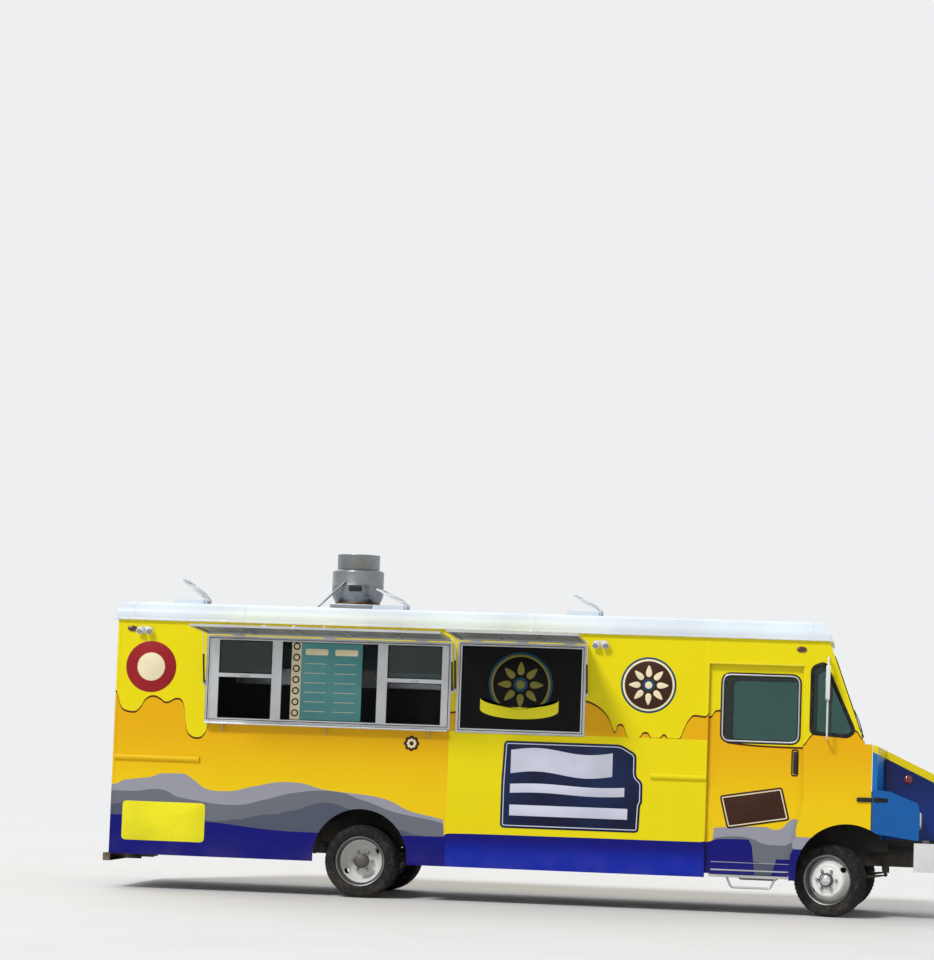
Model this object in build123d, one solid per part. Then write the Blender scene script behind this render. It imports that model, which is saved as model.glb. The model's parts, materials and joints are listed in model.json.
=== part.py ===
from build123d import *
import os
from math import atan2, cos, degrees, radians, sin, sqrt

# Step-van food truck, in millimetres.
# Working frame: X forward with 0 at the front axle, Y to the truck's left with 0 on its centreline,
# Z up from the ground. main() moves the finished truck so that its bounding box is centred on the origin.

RIGHT = -1
LEFT = 1
SIDES = ((RIGHT, "right"), (LEFT, "left"))

# General sizes
WHEELBASE = 5283.0
HALF_WIDTH = 1200.0
BODY_REAR = -8150.0
SKIRT_Z = 390.0
DRIP_Z = 3030.0
WALL = 30.0
FLOOR_TOP = 880.0
FLOOR_THICK = 50.0
SEAT_GAP = 0.3
RUN_GAP = 6.0
GLASS_THICK = 6.0
GLASS_SETBACK = 14.0
INNER = HALF_WIDTH - WALL
FLOOR_BOTTOM = FLOOR_TOP - FLOOR_THICK
REAR_AXLE_X = -WHEELBASE

# Roof
ROOF_RISE = 210.0
ROOF_RADIUS = 165.0
ROOF_THICK = 25.0
ROOF_TOP = DRIP_Z + ROOF_RISE
ROOF_OVERHANG = 12.0
DRIP_LIP = 22.0
DRIP_HEIGHT = 20.0
ROOF_SEAT = 12.0

# Wheels
TYRE_DIAMETER = 811.0
TYRE_WIDTH = 226.0
RIM_DIAMETER = 510.0
RIM_LIP = 522.0
RIM_WALL = 10.0
FRONT_TRACK = 1860.0
DUAL_SPACING = 262.0
REAR_OUTER_TRACK = 2060.0
KINGPIN_Y = FRONT_TRACK / 2 - 140
KINGPIN_RADIUS = 20.0
STEER_REST = -20.0
HUB_RADIUS = 78.0
SPINDLE_RADIUS = 34.0
SPINDLE_REACH = 182.0
FRONT_DISH = 52.0
REAR_DISH = 70.0
LUG_CIRCLE = 222.0
LUG_COUNT = 6
LUG_RADIUS = 15.0
HAND_HOLES = 6
HAND_HOLE_RADIUS = 24.0
TYRE_RADIUS = TYRE_DIAMETER / 2
HUB_Z = TYRE_RADIUS

# Chassis rails, springs and axles
RAIL_Y = 430.0
RAIL_WIDTH = 70.0
RAIL_HEIGHT = 200.0
RAIL_WALL = 8.0
RAIL_TOP = 760.0
RAIL_FRONT = 1205.0
RAIL_REAR = -8050.0
RAIL_BOTTOM = RAIL_TOP - RAIL_HEIGHT
SPRING_WIDTH = 75.0
SPRING_THICK = 48.0
SPRING_EYE = 22.0
HANGER_DROP = 70.0
FRONT_SPRING_HALF = 560.0
REAR_SPRING_HALF = 640.0
AXLE_TUBE_RADIUS = 62.0
FRONT_PAD_Z = 400.0
REAR_PAD_Z = HUB_Z + AXLE_TUBE_RADIUS + 12
BEAM_LOW = 300.0
BEAM_TOP = 372.0
BEAM_HALF = 38.0
BEAM_WEB = 14.0
DIFF_RADIUS = 175.0
DIFF_LENGTH = 190.0
PINION_LENGTH = 170.0
PINION_X = REAR_AXLE_X + DIFF_LENGTH / 2 + PINION_LENGTH
SHAFT_RADIUS = 42.0
# Cross members between the rails: X, bottom and top; the middle ones pass over the propeller shaft
CROSS_MEMBERS = ((RAIL_REAR + 60, 600.0, 720.0), (-6600.0, 600.0, 720.0), (-4400.0, 700.0, 752.0),
                 (-3000.0, 700.0, 752.0), (-1600.0, 700.0, 752.0), (RAIL_FRONT - 120, 600.0, 720.0))
CROSS_SILLS = (-7900.0, -7000.0, -6200.0, -4300.0, -3400.0, -2500.0, -1500.0)

# Engine, tank and exhaust
ENGINE_FRONT = 960.0
ENGINE_HALF = 270.0
ENGINE_LOW = 640.0
ENGINE_TOP = 1380.0
GEARBOX_REAR = -760.0
GEARBOX_HALF = 170.0
ENGINE_BAY_HALF = 340.0
ENGINE_BAY_TOP = 1420.0
ENGINE_COVER_REAR = -60.0
COVER_SHEET = 12.0
RADIATOR_X = 1046.0
RADIATOR_THICK = 66.0
TANK_REAR = -3300.0
TANK_FRONT = -2300.0
TANK_LOW = 440.0
TANK_TOP = 750.0
TANK_SIDE_GAP = 170.0
MUFFLER_REAR = -3000.0
MUFFLER_FRONT = -2100.0
MUFFLER_SIDE_GAP = 500.0
MUFFLER_Z = 560.0
MUFFLER_RADIUS = 120.0
TAIL_PIPE_RADIUS = 38.0

# Wheel arches and houses
FRONT_ARCH_X = 130.0
FRONT_ARCH_Z = 470.0
FRONT_ARCH_RADIUS = 560.0
REAR_ARCH_RADIUS = 535.0
REAR_ARCH_Z = 455.0
HOUSE_THICK = 10.0
FRONT_HOUSE_Y = 560.0
REAR_HOUSE_Y = 590.0
# Wheel houses: X and Z of the centre, inner radius, distance of the inner cheek from the centreline
WHEEL_HOUSES = (
    (REAR_AXLE_X, REAR_ARCH_Z, REAR_ARCH_RADIUS, REAR_HOUSE_Y),
    (FRONT_ARCH_X, FRONT_ARCH_Z, FRONT_ARCH_RADIUS, FRONT_HOUSE_Y),
)

# Cab
WALL_FRONT = -1429.0
DOOR_HEAD_Z = 2739.0
DOOR_EDGE_X = -396.0
DOOR_EDGE_Z = 1267.0
DOOR_EDGE_LOW_X = -365.0
DOOR_KNEE_X = -484.0
DOOR_KNEE_Z = 726.0
DOOR_FOOT_X = -506.0
SCREEN_TOP_X = -117.0
SCREEN_FOOT_X = 279.0
SCREEN_FOOT_Z = 1947.0
SCREEN_SLOPE = (SCREEN_FOOT_X - SCREEN_TOP_X) / (DRIP_Z - SCREEN_FOOT_Z)
SCREEN_THICK = 40.0
SCREEN_OUT = HALF_WIDTH - 100
SCREEN_POST = 35.0
SCREEN_LOW = 2060.0
SCREEN_HIGH = 2860.0
COWL_Z = 1912.0
CAB_FRONT = 380.0
FIREWALL_THICK = 12.0
QUARTER_WINDOW = ((-294.0, 2733.0), (-164.0, 2790.0), (176.0, 2050.0), (112.0, 1990.0), (-294.0, 2016.0))
QUARTER_RADIUS = 35.0

# Sliding doors and entry steps
DOOR_THICK = 30.0
DOOR_INSET = 50.0
DOOR_BOTTOM = 434.0
DOOR_REAR = -1446.0
DOOR_TRAVEL = 900.0
DOOR_LAP = 40.0
DOOR_OUTER = HALF_WIDTH - DOOR_INSET
DOOR_INNER = DOOR_OUTER - DOOR_THICK
DOOR_SLOT = DOOR_INNER - 8
DOOR_TOP = DOOR_HEAD_Z + DOOR_LAP
DOOR_WINDOW = (-1285.0, -425.0, 1889.0, 2640.0)
DOOR_WINDOW_RADIUS = 80.0
TRACK_Z = DOOR_TOP + 12
HANGER_RISE = 18.0
STEP_DEPTH = 350.0
STEP_REAR = -1380.0
STEP_FRONT = -520.0
STEP_Z = 428.0
STEP_SHEET = 6.0
HOOP_Y = HALF_WIDTH - 50
HOOP_DROP = 100.0
HOOP_RADIUS = 12.0

# Side wall rails and rear doors
RUB_Z = 1478.0
RUB_RADIUS = 34.0
RUB_BREAK = (-7150.0, -2050.0)
REAR_OPENING_HALF = 600.0
REAR_OPENING_LOW = FLOOR_TOP + 20
REAR_OPENING_TOP = 2640.0
REAR_GAP = 6.0
REAR_HINGE_X = BODY_REAR - 13
REAR_HINGE_Y = REAR_OPENING_HALF + 14
REAR_HINGE_HEIGHTS = (1150.0, 1800.0, 2420.0)
HINGE_BARREL = 11.0
HINGE_ROD = 5.0
REAR_WINDOW_Z = 2180.0

# Openings in the right wall: name, rear edge X, front edge X, sill Z, head Z
WINDOWS = (
    ("serving", -7086.0, -4340.0, 1934.0, 2858.0),
    ("display", -4222.0, -2828.0, 1912.0, 2878.0),
)
# Upright bars of the serving opening: rear edge X and front edge X
SERVING_BARS = ((-7070.0, -6968.0), (-6360.0, -6246.0), (-5155.0, -5041.0), (-4424.0, -4356.0))
MENU_BOARD = (-6143.0, -5327.0)
SASH_Z = 2440.0
SLEEVE = 22.0
FRAME_FLANGE = 6.0
FRAME_LAP = 26.0
BOARD_SETBACK = 16.0
BOARD_THICK = 8.0
LEDGE_DEPTH = 90.0
LEDGE_THICK = 18.0

# Hatches and their gas struts
HATCH_OPEN = 93.0
HATCH_THICK = 24.0
HATCH_LAP = 24.0
HATCH_EDGE = 40.0
HATCH_SKIN = 5.0
HINGE_OUT = HALF_WIDTH + 26
KNUCKLE_RADIUS = 9.0
STRUT_ARM = 150.0
STRUT_DROP = 560.0
STRUT_RADIUS = 10.0
STRUT_SIDE = 42.0
STRUT_PIN = 4.0
STRUT_TUBE = 330.0
ROD_RADIUS = 5.0
ROD_LENGTH = 330.0
STUD_REACH = 7.0

# Roof vents: name, hinge X; both stand right of the centreline
VENTS = (("rear", -4945.0), ("front", -2720.0))
VENT_Y = -600.0
VENT_SIZE = 360.0
VENT_OPEN = 26.0
VENT_WALL = 20.0
VENT_CURB = 58.0
VENT_LID = 24.0
VENT_PIN_X = 14.0
VENT_HINGE_Z = ROOF_TOP + VENT_CURB + 14
VENT_HINGES = (-120.0, 120.0)

# Roof fan
FAN_X = -5610.0
FAN_CURB_HALF = 275.0
FAN_HOLE_HALF = 230.0
FAN_CURB = 80.0

# Hood, grille, fenders and headlamps
HOOD_GAP = 8.0
HOOD_REAR = CAB_FRONT + HOOD_GAP
HOOD_SHELL = 12.0
HOOD_NOSE_X = 1195.0
HOOD_BOTTOM = 872.0
HOOD_BACK_Z = 1905.0
HOOD_REACH = HALF_WIDTH - 14
HINGE_X = 1222.0
HINGE_Z = 905.0
HINGE_PIN = 10.0
GRILLE_HALF = 420.0
GRILLE_LOW = 960.0
GRILLE_TOP = 1340.0
GRILLE_RIM = 16.0
GRILLE_GAPS = 7
FENDER_FRONT = 905.0
FENDER_INNER = 640.0
FENDER_OUTER = HALF_WIDTH - 4
HEADLAMP_Y = HALF_WIDTH - 180
HEADLAMP_Z = 1090.0

# Bumpers, tow receiver and number plate
BUMPER_FRONT = 1296.0
BUMPER_LOW = 536.0
BUMPER_TOP = 850.0
BUMPER_REAR = 855.0
BUMPER_WALL = 8.0
BUMPER_SIDE = HALF_WIDTH - 10
BUMPER_CORNER = (1160.0, 190.0)
REAR_BUMPER_HALF = HALF_WIDTH - 100
REAR_BUMPER_LOW = 300.0
REAR_BUMPER_TOP = 386.0
RECEIVER_OUT = 64.0
RECEIVER_IN = 51.0
RECEIVER_Z = 344.0
RECEIVER_PIN = 8.0
RECEIVER_LIP = 30.0
PIN_SETBACK = 15.0
PLATE_HOLES = 178.0
PLATE_HOLE_RADIUS = 3.5
PLATE_Z = 352.0
PLATE_Y = 420.0
PLATE_HALF = 155.0

# Kitchen: rear X, front X and top of each cooking unit
COOK_UNITS = ((-7250.0, -6300.0, 1790.0), (-6290.0, -5000.0, 1740.0), (-4990.0, -4250.0, 1790.0))
COOK_DEPTH = 690.0
UNIT_SHEET = 12.0
COUNTER_TOP = 1800.0
COUNTER_REAR = -7000.0
COUNTER_FRONT = -4420.0
COUNTER_DEPTH = 470.0
FRIDGE = (-4100.0, -3300.0, 2750.0)
FRIDGE_DEPTH = 730.0

# Driver's seat and steering
SEAT_Y = 550.0
SEAT_TOP = 1225.0
COLUMN_Y = 500.0
COLUMN_TOP = (-170.0, 1760.0)
COLUMN_DIR = (0.6, -0.8)
COLUMN_LENGTH = 870.0
WHEEL_RADIUS = 215.0

# Mirrors and lamps
MIRROR_OUT = 160.0
MIRROR_X = -120.0
FLOOD_PLACES = (-7831.0, -2645.0)
FLOOD_RADIUS = 43.0
MARKER_X = -7983.0
MARKER_Z = 2930.0
TAIL_LAMP_Y = HALF_WIDTH - 150
TAIL_LAMP_HEIGHTS = (1180.0, 1330.0)


def block(x0, x1, y0, y1, z0, z1):
    """Box between two opposite corners."""
    centre = Pos((x0 + x1) / 2, (y0 + y1) / 2, (z0 + z1) / 2)
    return centre * Box(abs(x1 - x0), abs(y1 - y0), abs(z1 - z0))


def mirrored_block(side, x0, x1, y0, y1, z0, z1):
    """Box whose Y distances are counted outwards from the centreline on one side."""
    low = min(side * y0, side * y1)
    high = max(side * y0, side * y1)
    return block(x0, x1, low, high, z0, z1)


def outline(points):
    """Closed straight-sided face from a list of points."""
    return make_face(Polyline(*points, close=True))


def plate_xz(face, y_low, y_high):
    """Push a face drawn in X and Z through the space between two Y planes."""
    plane = Plane(origin=(0, y_high, 0), x_dir=(1, 0, 0), z_dir=(0, -1, 0))
    return extrude(plane * face, amount=y_high - y_low)


def plate_yz(face, x_low, x_high):
    """Push a face drawn in Y and Z through the space between two X planes."""
    plane = Plane(origin=(x_low, 0, 0), x_dir=(0, 1, 0), z_dir=(1, 0, 0))
    return extrude(plane * face, amount=x_high - x_low)


def plate_xy(face, z_low, z_high):
    """Push a face drawn in X and Y through the space between two heights."""
    return extrude(Plane.XY.offset(z_low) * face, amount=z_high - z_low)


def side_plate(side, face, near, far):
    """Push an XZ face between two distances from the centreline on one side."""
    return plate_xz(face, min(side * near, side * far), max(side * near, side * far))


def rod_x(x0, x1, y, z, radius):
    """Round bar along X."""
    return Pos((x0 + x1) / 2, y, z) * Rot(0, 90, 0) * Cylinder(radius, abs(x1 - x0))


def rod_y(x, y0, y1, z, radius):
    """Round bar along Y."""
    return Pos(x, (y0 + y1) / 2, z) * Rot(90, 0, 0) * Cylinder(radius, abs(y1 - y0))


def rod_z(x, y, z0, z1, radius):
    """Round bar along Z."""
    return Pos(x, y, (z0 + z1) / 2) * Cylinder(radius, abs(z1 - z0))


def tube_path(points, radius, bend):
    """Round tube along straight runs joined by equal bends."""
    path = FilletPolyline(*points, radius=bend)
    start = path.edges()[0]
    section = Plane(origin=start @ 0, z_dir=start % 0) * Circle(radius)
    return sweep(section, path=path)


def window_face(x0, x1, z0, z1, radius):
    """Rectangle with round corners, drawn in X and Z."""
    face = Pos((x0 + x1) / 2, (z0 + z1) / 2) * RectangleRounded(x1 - x0, z1 - z0, radius)
    return face


def ring_xz(x0, x1, z0, z1, width, y_low, y_high):
    """Rectangular frame of even width between two Y planes."""
    outer = block(x0, x1, y_low, y_high, z0, z1)
    return outer - block(x0 + width, x1 - width, y_low - 1, y_high + 1, z0 + width, z1 - width)


def about(solid, pivot, axis, angle):
    """Turn a solid about an axis through a point."""
    return solid.rotate(Axis(pivot, axis), angle)


def chassis_frame():
    """Two channel rails with cross members, outriggers, spring hangers and the hood's hinge ears."""
    frame = None
    for side in (RIGHT, LEFT):
        near = RAIL_Y - RAIL_WIDTH / 2
        far = RAIL_Y + RAIL_WIDTH / 2
        rail = mirrored_block(side, RAIL_REAR, RAIL_FRONT, near, far, RAIL_BOTTOM, RAIL_TOP)
        hollow_z = (RAIL_BOTTOM + RAIL_WALL, RAIL_TOP - RAIL_WALL)
        rail -= mirrored_block(side, RAIL_REAR, RAIL_FRONT, near, far - RAIL_WALL, *hollow_z)
        frame = rail if frame is None else frame + rail
        for x in spring_hanger_places():
            frame += mirrored_block(side, x - 40, x + 40, near + 8, far, RAIL_BOTTOM - HANGER_DROP,
                                    RAIL_BOTTOM)
        ear = mirrored_block(side, RAIL_FRONT - 60, BUMPER_FRONT - BUMPER_WALL, near, near + 16,
                             RAIL_BOTTOM + 40, RAIL_TOP)
        ear += mirrored_block(side, HINGE_X - 16, HINGE_X + 22, near, near + 16, RAIL_TOP, HINGE_Z + 14)
        frame += ear
        frame += rod_y(HINGE_X, side * near, side * (near + 60), HINGE_Z, HINGE_PIN)
    reach = RAIL_Y + RAIL_WIDTH / 2 - RAIL_WALL
    for x, low, high in CROSS_MEMBERS:
        frame += block(x - 35, x + 35, -reach, reach, low, high)
    for x in CROSS_SILLS:
        frame += block(x - 30, x + 30, -INNER + 65, INNER - 65, RAIL_TOP, FLOOR_BOTTOM)
    frame += block(-490, -430, -FRONT_HOUSE_Y, FRONT_HOUSE_Y, RAIL_TOP, FLOOR_BOTTOM)
    return frame


def spring_hanger_places():
    """X of each spring eye on the rails."""
    return (FRONT_SPRING_HALF, -FRONT_SPRING_HALF,
            REAR_AXLE_X + REAR_SPRING_HALF, REAR_AXLE_X - REAR_SPRING_HALF)


def leaf_springs(axle_x, half, seat_z):
    """Pair of leaf packs that hang from the rail brackets and sit on the axle's pads."""
    eye_z = RAIL_BOTTOM - HANGER_DROP - SPRING_EYE - SEAT_GAP
    packs = Part()
    for side in (RIGHT, LEFT):
        sag = eye_z - (seat_z + SPRING_THICK)
        top = ThreePointArc((axle_x - half, eye_z), (axle_x, eye_z - sag), (axle_x + half, eye_z))
        low = ThreePointArc((axle_x + half, eye_z - 14), (axle_x, seat_z), (axle_x - half, eye_z - 14))
        ends = [Line((axle_x + half, eye_z), (axle_x + half, eye_z - 14)),
                Line((axle_x - half, eye_z - 14), (axle_x - half, eye_z))]
        face = make_face([top, ends[0], low, ends[1]])
        y0 = RAIL_Y - SPRING_WIDTH / 2
        pack = side_plate(side, face, y0, y0 + SPRING_WIDTH)
        for x in (axle_x - half, axle_x + half):
            pack += rod_y(x, side * y0, side * (y0 + SPRING_WIDTH), eye_z, SPRING_EYE)
        packs += pack
    return packs


def front_axle_beam():
    """Dropped I-beam with spring pads and an upright king pin at each end."""
    end = KINGPIN_Y - 60
    web_end = KINGPIN_Y - 130
    beam = block(-BEAM_HALF, BEAM_HALF, -end, end, BEAM_LOW, BEAM_TOP)
    for near, far in ((-BEAM_HALF - 1, -BEAM_WEB), (BEAM_WEB, BEAM_HALF + 1)):
        beam -= block(near, far, -web_end, web_end, BEAM_LOW + 16, BEAM_TOP - 16)
    for side in (RIGHT, LEFT):
        beam += mirrored_block(side, -55, 55, RAIL_Y - 45, RAIL_Y + 45, BEAM_TOP, FRONT_PAD_Z)
        beam += mirrored_block(side, -BEAM_HALF, BEAM_HALF, KINGPIN_Y - 100, KINGPIN_Y - 50, BEAM_LOW,
                               HUB_Z + 40)
        beam += mirrored_block(side, -BEAM_HALF, BEAM_HALF, KINGPIN_Y - 100, KINGPIN_Y, HUB_Z - 40,
                               HUB_Z + 40)
        beam += rod_z(0, side * KINGPIN_Y, HUB_Z - 40, HUB_Z + 40, 40)
        beam += rod_z(0, side * KINGPIN_Y, HUB_Z - 90, HUB_Z + 90, KINGPIN_RADIUS)
    return beam


def rear_axle():
    """Tube axle with a round differential housing, spring pads and hub spindles."""
    reach = REAR_OUTER_TRACK / 2 - DUAL_SPACING - TYRE_WIDTH / 2 - 10
    axle = rod_y(REAR_AXLE_X, -reach, reach, HUB_Z, AXLE_TUBE_RADIUS)
    axle += Pos(REAR_AXLE_X, 0, HUB_Z) * Rot(0, 90, 0) * Cylinder(DIFF_RADIUS, DIFF_LENGTH)
    nose = Cone(130, 60, PINION_LENGTH, align=(Align.CENTER, Align.CENTER, Align.MIN))
    axle += Pos(REAR_AXLE_X + DIFF_LENGTH / 2, 0, HUB_Z) * Rot(0, 90, 0) * nose
    for side in (RIGHT, LEFT):
        axle += mirrored_block(side, REAR_AXLE_X - 60, REAR_AXLE_X + 60, RAIL_Y - 45, RAIL_Y + 45,
                               HUB_Z + 20, REAR_PAD_Z)
        axle += rod_y(REAR_AXLE_X, side * reach, side * (REAR_OUTER_TRACK / 2 - 60), HUB_Z,
                      SPINDLE_RADIUS)
    return axle


def knuckle(side):
    """Steering knuckle: a fork round the king pin, a backing drum and the wheel's spindle."""
    y = side * KINGPIN_Y
    body = Part()
    for z0, z1 in ((HUB_Z - 86, HUB_Z - 46), (HUB_Z + 46, HUB_Z + 86)):
        arm = rod_z(0, y, z0, z1, 42)
        arm += mirrored_block(side, -40, 40, KINGPIN_Y, KINGPIN_Y + 62, z0, z1)
        body += arm - rod_z(0, y, z0 - 1, z1 + 1, KINGPIN_RADIUS + SEAT_GAP)
    body += mirrored_block(side, -60, 60, KINGPIN_Y + 52, KINGPIN_Y + 72, HUB_Z - 95, HUB_Z + 95)
    body += rod_y(0, side * (KINGPIN_Y + 60), side * (KINGPIN_Y + SPINDLE_REACH), HUB_Z,
                  SPINDLE_RADIUS)
    body += mirrored_block(side, -210, -50, KINGPIN_Y + 52, KINGPIN_Y + 68, HUB_Z - 92, HUB_Z - 62)
    return about(body, (0, y, 0), (0, 0, 1), STEER_REST)


def tyre(centre_y, x):
    """Tyre with flat tread, round shoulders and bulged walls."""
    half = TYRE_WIDTH / 2
    bead = RIM_DIAMETER / 2 + SEAT_GAP
    wall = (bead + TYRE_RADIUS) / 2
    right = [(bead, half - 36), (bead + 18, half - 16), (wall, half), (TYRE_RADIUS - 30, half - 9),
             (TYRE_RADIUS - 6, half - 26), (TYRE_RADIUS, half - 46)]
    left = [(r, -y) for r, y in reversed(right)]
    profile = make_face(Polyline(*right, *left, close=True))
    return Pos(x, centre_y, HUB_Z) * Rot(90, 0, 0) * revolve(Plane.XZ * Pos(0, 0) * profile, Axis.Z)


def rim(centre_y, x, side, dish):
    """Disc wheel: barrel with lips, a disc pierced by hand holes, a hub and its lug nuts.

    dish is how far the disc stands outwards of the wheel's middle.
    """
    half = TYRE_WIDTH / 2 - 16
    barrel_r = RIM_DIAMETER / 2
    barrel = Cylinder(barrel_r, 2 * half) - Cylinder(barrel_r - RIM_WALL, 2 * half + 2)
    for z in (6 - half, half - 6):
        barrel += Pos(0, 0, z) * (Cylinder(RIM_LIP / 2, 12) - Cylinder(barrel_r - RIM_WALL, 14))
    disc = Pos(0, 0, dish) * Cylinder(barrel_r - RIM_WALL / 2, 14)
    holes = PolarLocations(barrel_r - 70, HAND_HOLES, start_angle=30)
    for place in holes:
        disc -= Pos(0, 0, dish) * place * Cylinder(HAND_HOLE_RADIUS, 20)
    disc += Pos(0, 0, dish + 10) * Cylinder(LUG_CIRCLE / 2 + 26, 12)
    for place in PolarLocations(LUG_CIRCLE / 2, LUG_COUNT):
        disc += Pos(0, 0, dish + 16) * place * extrude(RegularPolygon(LUG_RADIUS, 6), amount=24)
    wheel = barrel + disc
    turn = Rot(90, 0, 0) if side == RIGHT else Rot(-90, 0, 0)
    return Pos(x, centre_y, HUB_Z) * turn * wheel


def front_wheel(side):
    """Tyre and rim of one steered wheel, turned with its knuckle."""
    y = side * FRONT_TRACK / 2
    pivot = (0, side * KINGPIN_Y, 0)
    rubber = about(tyre(y, 0), pivot, (0, 0, 1), STEER_REST)
    spindle_end = KINGPIN_Y + SPINDLE_REACH
    disc = rim(y, 0, side, FRONT_DISH)
    hub = rod_y(0, side * (KINGPIN_Y + 75), side * (FRONT_TRACK / 2 + 118), HUB_Z, HUB_RADIUS)
    hub -= rod_y(0, side * (KINGPIN_Y + 70), side * (spindle_end + SEAT_GAP), HUB_Z, SPINDLE_RADIUS + SEAT_GAP)
    disc = about(disc + hub, pivot, (0, 0, 1), STEER_REST)
    return rubber, disc


def rear_wheel(side):
    """Twin tyres and rims on one hub."""
    outer = side * REAR_OUTER_TRACK / 2
    inner = side * (REAR_OUTER_TRACK / 2 - DUAL_SPACING)
    rubber = tyre(outer, REAR_AXLE_X) + tyre(inner, REAR_AXLE_X)
    discs = rim(outer, REAR_AXLE_X, side, -REAR_DISH)
    discs += rim(inner, REAR_AXLE_X, side, REAR_DISH)
    start = REAR_OUTER_TRACK / 2 - DUAL_SPACING - 60
    discs += rod_y(REAR_AXLE_X, side * start, side * (REAR_OUTER_TRACK / 2 + 50), HUB_Z, HUB_RADIUS)
    spindle = REAR_OUTER_TRACK / 2 - 60
    discs -= rod_y(REAR_AXLE_X, side * (start - 5), side * (spindle + SEAT_GAP), HUB_Z,
                   SPINDLE_RADIUS + SEAT_GAP)
    return rubber, discs


def arch_cut(x, z, radius, side, near, far):
    """Round wheel arch as a solid to cut away, open down to the ground."""
    y0 = side * near
    y1 = side * far
    low = block(x - radius, x + radius, min(y0, y1), max(y0, y1), 0, z)
    return rod_y(x, y0, y1, z, radius) + low


def body_floor():
    """Flat load and cab floor, cut for the wheel houses, steps, doors and engine."""
    floor = block(BODY_REAR + WALL, CAB_FRONT - FIREWALL_THICK, -INNER, INNER, FLOOR_BOTTOM, FLOOR_TOP)
    for side in (RIGHT, LEFT):
        for x, z, radius, near in WHEEL_HOUSES:
            floor -= rod_y(x, side * near, side * HALF_WIDTH, z, radius + HOUSE_THICK)
        floor -= step_room(side)
    bay = block(ENGINE_COVER_REAR + 20, CAB_FRONT, -ENGINE_BAY_HALF + 20, ENGINE_BAY_HALF - 20, 0, ROOF_TOP)
    return floor - bay


def step_room(side):
    """Space kept free for one entry step and for its door's slide."""
    door = mirrored_block(side, DOOR_REAR - DOOR_TRAVEL - 20, DOOR_EDGE_X, DOOR_SLOT, HALF_WIDTH, 0, ROOF_TOP)
    step = mirrored_block(side, STEP_REAR, STEP_FRONT, DOOR_SLOT - STEP_DEPTH, HALF_WIDTH, 0, ROOF_TOP)
    return door + step


def wheel_houses():
    """Four round-topped sheet houses over the wheels, standing in the floor's cut-outs."""
    houses = Part()
    for side in (RIGHT, LEFT):
        for x, z, radius, near in WHEEL_HOUSES:
            reach = radius + HOUSE_THICK
            house = rod_y(x, side * near, side * INNER, z, reach)
            house -= rod_y(x, side * (near + HOUSE_THICK), side * INNER, z, radius)
            house -= block(x - reach, x + reach, -INNER, INNER, z - reach, FLOOR_BOTTOM)
            house -= block(CAB_FRONT - FIREWALL_THICK, CAB_FRONT + reach, -INNER, INNER, 0, ROOF_TOP)
            houses += house - step_room(side)
    return houses


def entry_step(side):
    """Folded step well below one sliding door, with its bright sill and a hoop step."""
    near = DOOR_SLOT - STEP_DEPTH
    well = mirrored_block(side, STEP_REAR, STEP_FRONT, near, DOOR_SLOT, SKIRT_Z + 10, FLOOR_TOP - SEAT_GAP)
    well -= mirrored_block(side, STEP_REAR + STEP_SHEET, STEP_FRONT - STEP_SHEET, near + STEP_SHEET,
                           HALF_WIDTH, STEP_Z - 18, FLOOR_TOP + 10)
    sill = mirrored_block(side, STEP_REAR, STEP_FRONT, DOOR_SLOT - 5, HALF_WIDTH - 5, SKIRT_Z + 10, STEP_Z)
    y = side * HOOP_Y
    foot = SKIRT_Z + 12
    low = SKIRT_Z - HOOP_DROP
    hoop = tube_path([(-1180, y, foot), (-1130, y, low), (-700, y, low), (-650, y, foot)], HOOP_RADIUS, 40)
    return well + sill + hoop


def side_wall(side):
    """Load-space side panel with its wheel arch, and on the right its serving openings."""
    panel = mirrored_block(side, BODY_REAR, WALL_FRONT, INNER, HALF_WIDTH, SKIRT_Z, DRIP_Z - SEAT_GAP)
    panel -= arch_cut(REAR_AXLE_X, REAR_ARCH_Z, REAR_ARCH_RADIUS, side, INNER - 5, HALF_WIDTH + 5)
    if side == RIGHT:
        for _, x0, x1, z0, z1 in WINDOWS:
            panel -= mirrored_block(side, x0, x1, INNER - 5, HALF_WIDTH + 5, z0, z1)
    return panel + rub_rail(side)


def rub_rail(side):
    """Half-round protective rail, broken on the right below the big sign."""
    whole = (BODY_REAR + 20, WALL_FRONT - 6)
    spans = ((whole[0], RUB_BREAK[0]), (RUB_BREAK[1], whole[1])) if side == RIGHT else (whole,)
    rails = Part()
    for x0, x1 in spans:
        bar = rod_x(x0, x1, side * HALF_WIDTH, RUB_Z, RUB_RADIUS)
        rails += bar - mirrored_block(side, x0 - 1, x1 + 1, 0, HALF_WIDTH, RUB_Z - 99, RUB_Z + 99)
    return rails


def rear_wall():
    """Rear panel round the double doors, with the hinge lugs and pins that carry them."""
    panel = block(BODY_REAR, BODY_REAR + WALL, -INNER, INNER, SKIRT_Z, DRIP_Z - SEAT_GAP)
    panel -= block(BODY_REAR - 5, BODY_REAR + WALL + 5, -REAR_OPENING_HALF, REAR_OPENING_HALF,
                   REAR_OPENING_LOW, REAR_OPENING_TOP)
    for side in (RIGHT, LEFT):
        for z in REAR_HINGE_HEIGHTS:
            y = REAR_HINGE_Y
            for low, high in ((z - 60, z - 30), (z + 30, z + 60)):
                lug = rod_z(REAR_HINGE_X, side * y, low, high, HINGE_BARREL)
                lug += mirrored_block(side, REAR_HINGE_X, BODY_REAR, y - 5, y + 50, low, high)
                panel += lug
            panel += rod_z(REAR_HINGE_X, side * y, z - 60, z + 60, HINGE_ROD)
    return panel


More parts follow.
